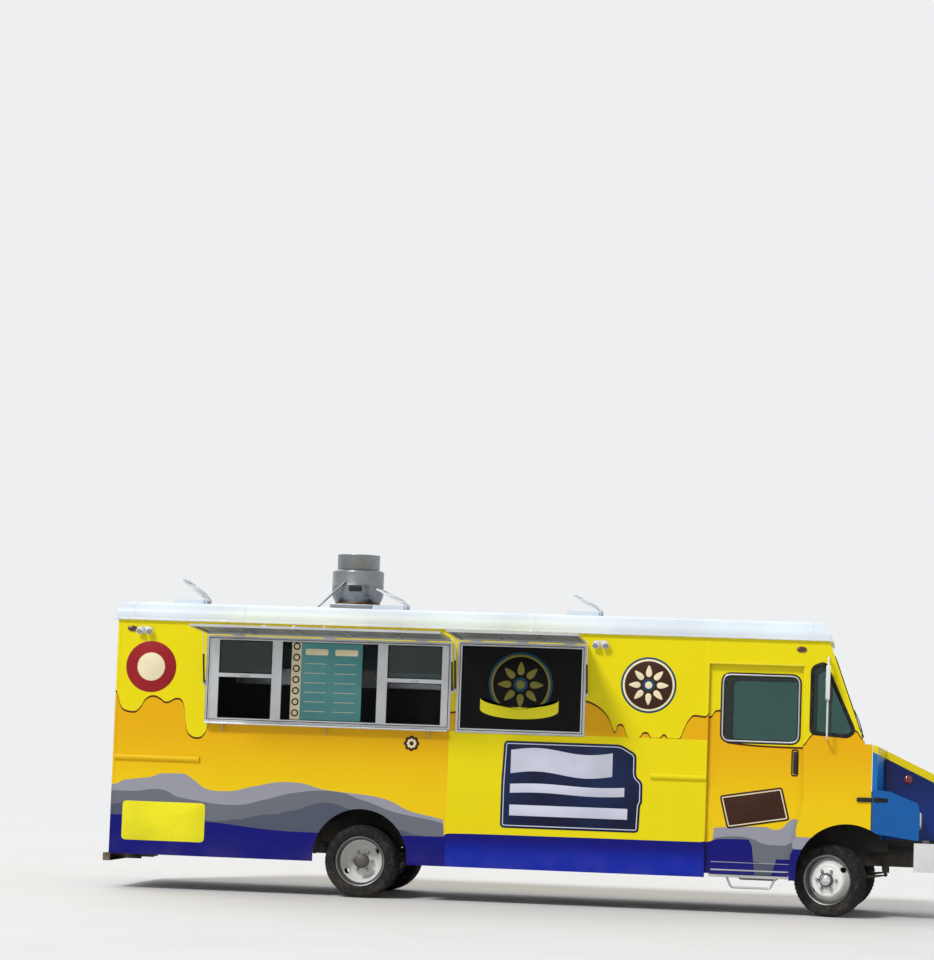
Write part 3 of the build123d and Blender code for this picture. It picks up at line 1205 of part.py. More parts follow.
def wheel_house_room():
    """Space kept clear over the rear wheel houses."""
    reach = REAR_ARCH_RADIUS + HOUSE_THICK + 4
    return block(REAR_AXLE_X - reach, REAR_AXLE_X + reach, -INNER, INNER, 0, house_top())


def fridge():
    """Upright cold cabinet behind the cab on the left, with a door and a handle."""
    x0, x1, top = FRIDGE
    near = INNER - FRIDGE_DEPTH
    s = UNIT_SHEET
    cabinet = block(x0, x1, near, INNER, FLOOR_TOP, top)
    cabinet -= block(x0 + s, x1 - s, near + s, INNER - s, FLOOR_TOP + s, top - s)
    cabinet += block(x0 + 20, x1 - 20, near - 30, near, FLOOR_TOP + 80, top - 20)
    return cabinet + rod_z(x0 + 70, near - 38, 1500, 1900, 10)


def seat_base():
    """Pedestal of the driver's seat."""
    y = SEAT_Y
    base = block(-640, -300, y - 150, y + 150, FLOOR_TOP, 900)
    base += block(-560, -380, y - 80, y + 80, 900, SEAT_TOP - 25)
    return base + block(-680, -240, y - 190, y + 190, SEAT_TOP - 25, SEAT_TOP)


def seat_pad():
    """Cushion and backrest of the driver's seat."""
    y = SEAT_Y
    cushion = fillet(block(-700, -220, y - 220, y + 220, SEAT_TOP, SEAT_TOP + 105).edges(), 30)
    back = fillet(block(-800, -700, y - 205, y + 205, SEAT_TOP + 35, SEAT_TOP + 655).edges(), 30)
    return cushion + back


def column_point(t):
    """Point on the steering column, t below the middle of its wheel."""
    return (COLUMN_TOP[0] + COLUMN_DIR[0] * t, COLUMN_Y, COLUMN_TOP[1] + COLUMN_DIR[1] * t)


def steering_column():
    """Sloping column from the firewall up to the steering wheel's hub."""
    way = (COLUMN_DIR[0], 0, COLUMN_DIR[1])
    tube = extrude(Plane(origin=column_point(25), z_dir=way) * Circle(28), amount=COLUMN_LENGTH)
    tube += extrude(Plane(origin=column_point(2), z_dir=way) * Circle(10), amount=30)
    return tube - block(CAB_FRONT - FIREWALL_THICK, ENGINE_FRONT, -HALF_WIDTH, HALF_WIDTH, 0, ROOF_TOP)


def steering_wheel():
    """Rim, three spokes and hub round the column's shaft."""
    way = (COLUMN_DIR[0], 0, COLUMN_DIR[1])
    plane = Plane(origin=column_point(0), x_dir=(0, 1, 0), z_dir=way)
    wheel = Torus(WHEEL_RADIUS, 15)
    wheel += Pos(0, 0, 2) * Cylinder(38, 45)
    for place in PolarLocations(WHEEL_RADIUS / 2, 3, start_angle=90):
        wheel += place * Box(WHEEL_RADIUS, 26, 10)
    wheel -= Pos(0, 0, 12.35) * Cylinder(10 + SEAT_GAP, 25)
    return plane * wheel


def mirrors():
    """Tube arms and mirror heads on both sides of the cab."""
    pair = Part()
    for side in (RIGHT, LEFT):
        y = side * (HALF_WIDTH + MIRROR_OUT)
        wall = side * HALF_WIDTH
        x = MIRROR_X
        arm = tube_path([(x, wall, 2850), (x, y, 2850), (x, y, 1950), (x, wall, 1950)], 11, 50)
        head = block(x - 22, x + 22, y - 95, y + 95, 2380, 2760)
        head = fillet(head.edges().filter_by(Axis.X), 25)
        pair += arm + head
    return pair


def floodlights():
    """Twin floodlights on two brackets along the right eaves."""
    lamps = Part()
    for x in FLOOD_PLACES:
        bar = block(x - 90, x + 90, -(HALF_WIDTH + 34), -HALF_WIDTH, 2960, 2972)
        for dx in (-46, 46):
            head = Cone(30, FLOOD_RADIUS, 80, align=(Align.CENTER, Align.CENTER, Align.MIN))
            bar += Pos(x + dx, -(HALF_WIDTH + 22), 2925) * Rot(115, 0, 0) * head
            bar += block(x + dx - 8, x + dx + 8, -(HALF_WIDTH + 34), -(HALF_WIDTH + 14), 2920, 2965)
        lamps += bar
    return lamps


def marker_lamps():
    """Red oval lamps at the rear corners and round tail lamps on the rear wall."""
    lamps = Part()
    oval = extrude(SlotOverall(112, 62), amount=9, both=True)
    for side in (RIGHT, LEFT):
        lamps += Pos(MARKER_X, side * (HALF_WIDTH + 9), MARKER_Z) * Rot(90, 0, 0) * oval
        for z in TAIL_LAMP_HEIGHTS:
            lamps += rod_x(BODY_REAR - 16, BODY_REAR, side * TAIL_LAMP_Y, z, 55)
    return lamps


def rear_bumper():
    """Step bumper with its arms, a tow receiver with a cross-pin bore and a bare plate bracket."""
    x0 = BODY_REAR - 90
    x1 = BODY_REAR - 8
    half_y = REAR_BUMPER_HALF
    low = REAR_BUMPER_LOW
    top = REAR_BUMPER_TOP
    bumper = block(x0, x1, -half_y, half_y, low, top)
    bumper -= block(x0 + 6, x1 + 5, -half_y + 6, half_y - 6, low + 6, top - 6)
    for side in (RIGHT, LEFT):
        arm = outline([(x0 + 6, low + 6), (RAIL_REAR + 100, low + 6), (RAIL_REAR + 100, RAIL_BOTTOM),
                       (RAIL_REAR, RAIL_BOTTOM), (RAIL_REAR, top - 6), (x0 + 6, top - 6)])
        bumper += side_plate(side, arm, RAIL_Y - 20, RAIL_Y - 8)
    half = RECEIVER_OUT / 2
    bumper += block(x0 - RECEIVER_LIP, -7900, -half, half, RECEIVER_Z - half, RECEIVER_Z + half)
    bumper += block(-8000, -7984, -120, 120, RECEIVER_Z, RAIL_BOTTOM + 40)
    bore = RECEIVER_IN / 2
    bumper -= block(x0 - RECEIVER_LIP - 10, -7890, -bore, bore, RECEIVER_Z - bore, RECEIVER_Z + bore)
    bumper -= rod_y(x0 - PIN_SETBACK, -half - 5, half + 5, RECEIVER_Z, RECEIVER_PIN)
    plate = block(x0 - 4, x0, PLATE_Y - PLATE_HALF, PLATE_Y + PLATE_HALF, low + 2, top - 2)
    for dy in (-PLATE_HOLES / 2, PLATE_HOLES / 2):
        hole = rod_x(x0 - 10, x0 + 10, PLATE_Y + dy, PLATE_Z, PLATE_HOLE_RADIUS)
        plate -= hole
        bumper -= hole
    return bumper + plate


def radiator():
    """Radiator core standing on the front cross member."""
    return block(RADIATOR_X, RADIATOR_X + RADIATOR_THICK, -380, 380, RAIL_TOP - 40, ENGINE_TOP + 20)


def build():
    """All sub-parts by node name, in the working frame."""
    parts = {}
    parts["chassis_frame"] = chassis_frame()
    parts["front_axle"] = front_axle_beam() + leaf_springs(0, FRONT_SPRING_HALF, FRONT_PAD_Z + SEAT_GAP)
    rear_springs = leaf_springs(REAR_AXLE_X, REAR_SPRING_HALF, REAR_PAD_Z + SEAT_GAP)
    parts["rear_axle"] = rear_axle() + rear_springs + drive_shaft()
    for side, name in SIDES:
        parts[f"knuckle_{name}"] = knuckle(side)
        parts[f"front_tyre_{name}"], parts[f"front_rim_{name}"] = front_wheel(side)
        parts[f"rear_tyres_{name}"], parts[f"rear_rims_{name}"] = rear_wheel(side)
        parts[f"side_wall_{name}"] = side_wall(side)
        parts[f"cab_side_{name}"] = cab_side(side)
        parts[f"sliding_door_{name}"] = sliding_door(side)
        parts[f"sliding_glass_{name}"] = sliding_door_glass(side)
        parts[f"rear_door_{name}"] = rear_door(side)
    parts["entry_steps"] = entry_step(RIGHT) + entry_step(LEFT)
    parts["body_floor"] = body_floor()
    parts["wheel_houses"] = wheel_houses()
    parts["rear_wall"] = rear_wall()
    parts["roof"] = roof()
    for name, hinge in VENTS:
        parts[f"vent_lid_{name}"] = vent_lid(hinge)
    parts["exhaust_fan"] = exhaust_fan()
    parts["cab_front"] = cab_front()
    parts["body_glass"] = cab_glass() + serving_glass()
    parts["cab_fittings"] = dashboard() + steering_column() + seat_base()
    parts["engine_cover"] = engine_cover()
    parts["engine_block"] = engine_block() + radiator()
    parts["tank_and_exhaust"] = fuel_tank() + exhaust()
    parts["front_bumper"] = front_bumper()
    parts["rear_bumper"] = rear_bumper()
    parts["hood_shell"] = hood_shell()
    parts["grille"] = grille()
    parts["fenders"] = fenders()
    parts["headlamps"] = headlamps()
    for name, x0, x1, z0, z1 in WINDOWS:
        bars = SERVING_BARS if name == "serving" else ()
        parts[f"{name}_frame"] = window_frame(x0, x1, z0, z1, bars)
        parts[f"{name}_hatch"] = hatch(x0, x1, z0, z1)
        parts[f"{name}_cylinders"] = strut_cylinders(x0, x1, z1)
        parts[f"{name}_rods"] = strut_rods(x0, x1, z1)
    parts["window_boards"] = menu_board() + display_panel()
    parts["serving_ledge"] = serving_ledge()
    parts["kitchen_units"] = cook_line() + fridge()
    parts["prep_counter"] = prep_counter()
    parts["range_hood"] = range_hood()
    parts["seat_pad"] = seat_pad()
    parts["steering_wheel"] = steering_wheel()
    parts["mirrors"] = mirrors()
    parts["body_lamps"] = floodlights() + marker_lamps()
    return parts


def frame_shift(parts):
    """Move that puts the origin at the bottom centre of the whole truck's bounding box."""
    boxes = [solid.bounding_box() for solid in parts.values()]
    low_x = min(box.min.X for box in boxes)
    high_x = max(box.max.X for box in boxes)
    low_y = min(box.min.Y for box in boxes)
    high_y = max(box.max.Y for box in boxes)
    return Vector(-(low_x + high_x) / 2, -(low_y + high_y) / 2, 0)


def main():
    """Build every sub-part, centre the truck and write one STEP file for each node."""
    parts = build()
    shift = frame_shift(parts)
    os.makedirs("parts", exist_ok=True)
    for name, solid in parts.items():
        export_step(Pos(*shift) * solid, os.path.join("parts", name + ".step"))
    print("origin shift", shift, "nodes", len(parts))


if __name__ == "__main__":
    main()
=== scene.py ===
"""Looks of a step-van food truck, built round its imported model.

Sizes are metres in the truck's own frame: X forward with 0 at the front axle, Y to its left with 0 on its
centreline, Z up from the ground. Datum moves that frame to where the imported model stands.
"""
import json
import logging
import math
from dataclasses import dataclass, field
from enum import Enum
from typing import Sequence

import bmesh
import bpy
import numpy as np
from mathutils import Matrix, Vector


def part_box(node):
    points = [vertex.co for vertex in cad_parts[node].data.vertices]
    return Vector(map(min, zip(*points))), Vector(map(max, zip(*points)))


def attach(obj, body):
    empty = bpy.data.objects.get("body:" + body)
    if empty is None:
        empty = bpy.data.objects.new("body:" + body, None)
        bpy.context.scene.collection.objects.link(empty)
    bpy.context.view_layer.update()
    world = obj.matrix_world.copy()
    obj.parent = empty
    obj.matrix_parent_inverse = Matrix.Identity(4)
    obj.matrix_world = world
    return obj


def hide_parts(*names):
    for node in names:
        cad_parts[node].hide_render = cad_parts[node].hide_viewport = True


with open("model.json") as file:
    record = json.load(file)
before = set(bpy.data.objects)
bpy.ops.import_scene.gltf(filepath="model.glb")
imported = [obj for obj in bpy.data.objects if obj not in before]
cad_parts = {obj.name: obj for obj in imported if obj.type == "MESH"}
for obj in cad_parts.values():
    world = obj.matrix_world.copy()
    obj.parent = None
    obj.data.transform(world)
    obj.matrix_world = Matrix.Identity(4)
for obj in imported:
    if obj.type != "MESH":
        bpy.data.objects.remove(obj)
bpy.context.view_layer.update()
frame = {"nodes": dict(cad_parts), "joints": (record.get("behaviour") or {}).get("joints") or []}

Points = np.ndarray
Colour = tuple[int, int, int]
Triple = tuple[float, float, float]
Bounds = tuple[float, float, float, float]
Table = tuple[tuple[float, float], ...]
Socket = bpy.types.NodeSocket
LOG = logging.getLogger("food_truck")
SHARP_ANGLE = math.radians(38)
MERGE_DISTANCE = 1e-5
DUST = (150, 134, 108)
# Outer faces of the side walls and of the rear wall, the foot of the roof, and the rear axle.
HALF_WIDTH = 1.2
BODY_REAR = -8.15
EAVES = 3.03
REAR_AXLE = -5.283


class Side(Enum):
    """The truck's two sides, with the sign of their Y."""

    RIGHT = -1
    LEFT = 1

    @property
    def label(self) -> str:
        """The side as it stands in the names of pieces and bodies."""
        return self.name.lower()


@dataclass(frozen=True)
class Datum:
    """Where the truck's own zero point stands in the row frame."""

    x: float
    y: float

    @classmethod
    def from_king_pins(cls) -> "Datum":
        """Read the zero point from the two steering joints, which share the front axle's X.

        Returns:
            The datum half way between the king pins.
        """
        pins = {j["name"]: j["pos_m"] for j in frame["joints"] if "pos_m" in j}
        right, left = pins["steer_right"], pins["steer_left"]
        return cls((right[0] + left[0]) / 2, (right[1] + left[1]) / 2)

    @property
    def shift(self) -> Points:
        """Way from the row frame's zero point to the truck's own."""
        return np.array([self.x, self.y, 0.0])

    def to_row(self, points: Points) -> Points:
        """Move points from the truck's frame to the row frame."""
        return points + self.shift

    def box(self, node: str) -> tuple[Points, Points]:
        """Lowest and highest corner of a node, in the truck's frame.

        Args:
            node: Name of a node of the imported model.

        Returns:
            The two corners as arrays of three.
        """
        low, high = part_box(node)
        return np.array(low) - self.shift, np.array(high) - self.shift


@dataclass(frozen=True)
class Face:
    """A flat working plane: its origin and its two in-plane axes, with the third axis pointing outwards."""

    origin: Triple
    across: Triple
    up: Triple
    out: Triple

    def lift(self, points: Points) -> Points:
        """Turn (across, up, out) coordinates into the truck's frame: origin + a * across + b * up + c * out."""
        axes = np.array([self.across, self.up, self.out], float)
        return np.array(self.origin) + points @ axes

    def flat(self, outline: Points, height: float = 0.0) -> Points:
        """Put a two-dimensional outline on the plane, at a height above it."""
        return self.lift(np.column_stack([outline, np.full(len(outline), height)]))


def side_face(side: Side, distance: float, x: float = 0.0, z: float = 0.0) -> Face:
    """Plane parallel to a side wall, X across and Z up, its outside away from the centreline."""
    return Face((x, side.value * distance, z), (1, 0, 0), (0, 0, 1), (0, side.value, 0))


def right_wall(out: float = 0.0, x: float = 0.0, z: float = 0.0) -> Face:
    """Plane on the right wall's outer face, or out from it, with its origin at x and z."""
    return side_face(Side.RIGHT, HALF_WIDTH + out, x, z)


def end_face(x: float, forward: bool) -> Face:
    """Plane across the truck, Y across and Z up, its outside towards the front or the rear."""
    return Face((x, 0.0, 0.0), (0, 1, 0), (0, 0, 1), (1 if forward else -1, 0, 0))


def top_face(z: float) -> Face:
    """Level plane, X across and Y up the page, its outside upwards."""
    return Face((0.0, 0.0, z), (1, 0, 0), (0, 1, 0), (0, 0, 1))


def around(count: int) -> Points:
    """Angles once round a circle, in equal steps."""
    return np.linspace(0, 2 * math.pi, count, endpoint=False)


def bend(count: int) -> Points:
    """Angles from 0 to a right angle, both included."""
    return np.linspace(0, math.pi / 2, count)


def rectangle(u0: float, u1: float, v0: float, v1: float) -> Points:
    """Four corners, counter-clockwise."""
    return np.array([[u0, v0], [u1, v0], [u1, v1], [u0, v1]], float)


def soft_outline(corners: Points, radius: float, steps: int = 7) -> Points:
    """Closed outline with rounded corners.

    Each corner P becomes the curve (1 - t)^2 A + 2 t (1 - t) P + t^2 B, where A and B lie on the two sides
    that meet there, one radius away from P or at most just under half a side.

    Args:
        corners: Corner points, one row each.
        radius: Distance from a corner to where its curve starts.
        steps: Points on each curve.

    Returns:
        Points of the rounded outline, one row each.
    """
    p = np.asarray(corners, float)
    back = np.roll(p, 1, axis=0) - p
    ahead = np.roll(p, -1, axis=0) - p
    back_length = np.linalg.norm(back, axis=1, keepdims=True)
    ahead_length = np.linalg.norm(ahead, axis=1, keepdims=True)
    reach = np.minimum(radius, 0.49 * np.minimum(back_length, ahead_length))
    a = (p + back / back_length * reach)[:, None]
    b = (p + ahead / ahead_length * reach)[:, None]
    t = np.linspace(0, 1, steps)[None, :, None]
    return ((1 - t) ** 2 * a + 2 * t * (1 - t) * p[:, None] + t * t * b).reshape(-1, 2)


def rounded(u0: float, u1: float, v0: float, v1: float, radius: float, steps: int = 7) -> Points:
    """Rectangle with rounded corners."""
    return soft_outline(rectangle(u0, u1, v0, v1), radius, steps)


def ellipse(centre: Sequence[float], half_u: float, half_v: float, count: int = 40) -> Points:
    """Closed ellipse: centre + (half_u cos a, half_v sin a)."""
    a = around(count)
    return np.asarray(centre, float) + np.column_stack([half_u * np.cos(a), half_v * np.sin(a)])


def scalloped(centre: Sequence[float], radius: float, depth: float, lobes: int, per_lobe: int = 12) -> Points:
    """Closed wavy circle: its radius is radius - depth + depth |cos(lobes a / 2)|.

    Args:
        centre: Middle of the circle.
        radius: Radius at the lobes' tips.
        depth: Depth of the dips between the lobes.
        lobes: Number of lobes.
        per_lobe: Points on each lobe.

    Returns:
        Points of the outline, one row each.
    """
    a = around(lobes * per_lobe)
    r = radius - depth + depth * np.abs(np.cos(lobes * a / 2))
    return np.asarray(centre, float) + np.column_stack([r * np.cos(a), r * np.sin(a)])


def inward(outline: Points) -> Points:
    """Mitred normals of a closed outline towards its inside, so that a unit step moves each side by one unit.

    Args:
        outline: Closed outline, one row for each point.

    Returns:
        One normal for each point.
    """
    ahead = np.roll(outline, -1, axis=0) - outline
    ahead = ahead / np.maximum(np.linalg.norm(ahead, axis=1, keepdims=True), 1e-12)
    left_ahead = np.column_stack([-ahead[:, 1], ahead[:, 0]])
    left_back = np.roll(left_ahead, 1, axis=0)
    mid = left_ahead + left_back
    mid = mid / np.maximum(np.linalg.norm(mid, axis=1, keepdims=True), 1e-12)
    stretch = 1 / np.maximum((mid * left_ahead).sum(axis=1, keepdims=True), 0.35)
    u, v = outline[:, 0], outline[:, 1]
    area = (u * np.roll(v, -1) - np.roll(u, -1) * v).sum()
    return mid * stretch * (1 if area > 0 else -1)


def half_round(inset: float, width: float, height: float, steps: int = 7, depth: float = 0.001) -> Points:
    """Profile of a bead: (inset, out) points of half an ellipse, closed by a flat foot sunk by depth.

    Args:
        inset: Distance from the outline inwards to the bead's near edge.
        width: Its width.
        height: Its height.
        steps: Points on the arc.
        depth: How far its foot is sunk.

    Returns:
        (inset, out) points, one row each.
    """
    a = np.linspace(0, math.pi, steps)
    arc = np.column_stack([inset + width / 2 - width / 2 * np.cos(a), height * np.sin(a)])
    foot = np.array([[inset + width, -depth], [inset, -depth]])
    return np.vstack([arc, foot])


def flat_bar(inset: float, width: float, height: float, depth: float = 0.001) -> Points:
    """Profile of a flat strip with small chamfers: (inset, out) points, its foot sunk by depth.

    Args:
        inset: Distance from the outline inwards to the strip's near edge.
        width: Its width.
        height: Its height.
        depth: How far its foot is sunk.

    Returns:
        (inset, out) points, one row each.
    """
    c = min(width, height) * 0.22
    return np.array([[inset, -depth], [inset, height - c], [inset + c, height],
                     [inset + width - c, height], [inset + width, height - c], [inset + width, -depth]])


def raised_line(near: float, far: float) -> Points:
    """Profile of a border line printed between two insets, on a plate 4 mm thick."""
    return np.array([[near, 0.003], [near, 0.0052], [far, 0.0052], [far, 0.003]])


class Shape:
    """Gathers grids of points and turns them into one mesh."""

    def __init__(self) -> None:
        """Start with no points and no faces."""
        self.points: list[Points] = []
        self.quads: list[Points] = []
        self.count = 0

    def grid(self, points: Points, loop_rows: bool = False, loop_columns: bool = False) -> "Shape":
        """Add a surface given as rows and columns of points.

        Args:
            points: Array of rows, columns and three coordinates.
            loop_rows: Join the last row to the first.
            loop_columns: Join the last column to the first.

        Returns:
            The shape itself.
        """
        rows, columns = points.shape[:2]
        index = np.arange(rows * columns).reshape(rows, columns) + self.count
        if loop_rows:
            index = np.vstack([index, index[:1]])
        if loop_columns:
            index = np.hstack([index, index[:, :1]])
        corners = (index[:-1, :-1], index[1:, :-1], index[1:, 1:], index[:-1, 1:])
        self.quads.append(np.stack(corners, axis=-1).reshape(-1, 4))
        self.points.append(points.reshape(-1, 3))
        self.count += rows * columns
        return self

    def pillow(self, face: Face, outline: Points, levels: Sequence[Sequence[float]]) -> "Shape":
        """Add a closed solid whose cross-sections are one outline drawn in by different amounts.

        Row k is outline + inset_k * inward normal at height_k, and both ends close on the outline's centre.

        Args:
            face: Plane that carries the solid.
            outline: Closed outline on that plane.
            levels: (inset, height) of each row, from the foot to the top.

        Returns:
            The shape itself.
        """
        normals = inward(outline)
        middle = np.tile(outline.mean(axis=0), (len(outline), 1))
        rows = [face.flat(middle, levels[0][1])]
        rows += [face.flat(outline + inset * normals, height) for inset, height in levels]
        rows.append(face.flat(middle, levels[-1][1]))
        return self.grid(np.array(rows), loop_columns=True)

    def plate(self, face: Face, outline: Points, foot: float, top: float, edge: float = 0.002) -> "Shape":
        """Add a flat plate with a small rounded edge, between two heights above a plane."""
        e = min(edge, abs(top - foot) * 0.45)
        return self.pillow(face, outline, ((0, foot), (0, top - e), (0.3 * e, top - 0.3 * e), (e, top)))

    def moulding(self, face: Face, outline: Points, profile: Points) -> "Shape":
        """Add a closed strip: a profile of (inset, out) points carried round a closed outline.

        Args:
            face: Plane that carries the strip.
            outline: Closed outline on that plane.
            profile: (inset, out) points of its cross-section.

        Returns:
            The shape itself.
        """
        normals = inward(outline)
        flat = outline[:, None, :] + normals[:, None, :] * profile[None, :, :1]
        out = np.broadcast_to(profile[None, :, 1:], (len(outline), len(profile), 1))
        grid = np.concatenate([flat, out], axis=2)
        return self.grid(face.lift(grid.reshape(-1, 3)).reshape(grid.shape), True, True)

    def spin(self, profile: Points, centre: Sequence[float], axis: Sequence[float], count: int = 40,
             closed: bool = True) -> "Shape":
        """Add a surface of revolution.

        A profile point (r, h) goes to centre + h * axis + r (cos a * p + sin a * q), with p and q square to
        the axis and a running once round.

        Args:
            profile: (radius, height along the axis) points.
            centre: Point on the axis at height 0.
            axis: Direction of the axis.
            count: Steps round the axis.
            closed: Join the profile's last point to its first.

        Returns:
            The shape itself.
        """
        w = np.asarray(axis, float) / np.linalg.norm(axis)
        helper = np.array([0, 0, 1.0]) if abs(w[2]) < 0.9 else np.array([1.0, 0, 0])
        p = np.cross(helper, w)
        p = p / np.linalg.norm(p)
        q = np.cross(w, p)
        a = around(count)[:, None, None]
        r = profile[None, :, :1]
        h = profile[None, :, 1:]
        grid = np.asarray(centre, float) + h * w + r * (np.cos(a) * p + np.sin(a) * q)
        return self.grid(grid, True, closed)

    def tube(self, path: Points, radius: float, sides: int = 10, flat: float = 1.0) -> "Shape":
        """Add a round tube along an open path, closed at both ends.

        Each ring is path + radius (cos a * n + flat sin a * b), where n and b are square to the path's
        direction and b lies as near to a fixed helper axis as it can.

        Args:
            path: Points of the centre line.
            radius: Radius of the tube.
            sides: Points on each ring.
            flat: Share of the radius along b.

        Returns:
            The shape itself.
        """
        path = np.asarray(path, float)
        tangent = np.gradient(path, axis=0)
        tangent /= np.linalg.norm(tangent, axis=1, keepdims=True)
        helper = np.eye(3)[int(np.argmin(np.abs(tangent).max(axis=0)))]
        n = np.cross(helper, tangent)
        n /= np.linalg.norm(n, axis=1, keepdims=True)
        b = np.cross(tangent, n)
        a = around(sides)[None, :, None]
        rings = path[:, None] + radius * (np.cos(a) * n[:, None] + flat * np.sin(a) * b[:, None])
        ends = [np.tile(path[i], (1, sides, 1)) for i in (0, -1)]
        return self.grid(np.concatenate([ends[0], rings, ends[1]]), loop_columns=True)

    def turned(self, pivot: Sequence[float], axis: Sequence[float], degrees: float) -> "Shape":
        """Turn everything added so far about an axis through a point.

        Args:
            pivot: Point on the axis.
            axis: Direction of the axis.
            degrees: Angle, right-handed about the axis.

        Returns:
            The shape itself.
        """
        turn = np.array(Matrix.Rotation(math.radians(degrees), 3, Vector(axis)))
        centre = np.asarray(pivot, float)
        self.points = [(p - centre) @ turn.T + centre for p in self.points]
        return self

    def mesh(self, name: str, facing: Sequence[float] | None = None) -> bpy.types.Mesh:
        """Make the mesh, with doubled points merged and faces pointing outwards.

        Args:
            name: Name of the mesh.
            facing: For an open sheet, the direction that its faces look to.

        Returns:
            The finished mesh.
        """
        points = np.concatenate(self.points)
        quads = np.concatenate(self.quads)
        if facing is not None:
            a, b, c = (points[quads[:, i]] for i in (0, 1, 2))
            wrong = np.cross(b - a, c - a) @ np.asarray(facing, float) < 0
            quads[wrong] = quads[wrong][:, ::-1]
        mesh = bpy.data.meshes.new(name)
        mesh.vertices.add(len(points))
        mesh.vertices.foreach_set("co", points.astype(np.float32).ravel())
        mesh.loops.add(quads.size)
        mesh.loops.foreach_set("vertex_index", quads.ravel().astype(np.int32))
        mesh.polygons.add(len(quads))
        mesh.polygons.foreach_set("loop_start", np.arange(0, quads.size, 4, dtype=np.int32))
        mesh.update(calc_edges=True)
        work = bmesh.new()
        work.from_mesh(mesh)
        bmesh.ops.remove_doubles(work, verts=work.verts, dist=MERGE_DISTANCE)
        bmesh.ops.dissolve_degenerate(work, edges=work.edges, dist=MERGE_DISTANCE)
        if facing is None:
            bmesh.ops.recalc_face_normals(work, faces=work.faces)
        work.to_mesh(mesh)
        work.free()
        mesh.shade_smooth()
        mesh.set_sharp_from_angle(angle=SHARP_ANGLE)
        return mesh


def linear(colour: Colour) -> tuple[float, float, float, float]:
    """Turn an 8-bit screen colour into linear light, ((c + 0.055) / 1.055) ^ 2.4 above the dark end.

    Args:
        colour: Red, green and blue from 0 to 255.

    Returns:
        Linear red, green and blue, and a full alpha.
    """
    c = np.array(colour, float) / 255
    light = np.where(c > 0.04045, ((c + 0.055) / 1.055) ** 2.4, c / 12.92)
    return (float(light[0]), float(light[1]), float(light[2]), 1.0)


def shade(colour: Colour, share: float, lift: int = 0) -> Colour:
    """Scale an 8-bit colour and lift it by a few steps."""
    red, green, blue = (min(255, int(c * share) + lift) for c in colour)
    return red, green, blue


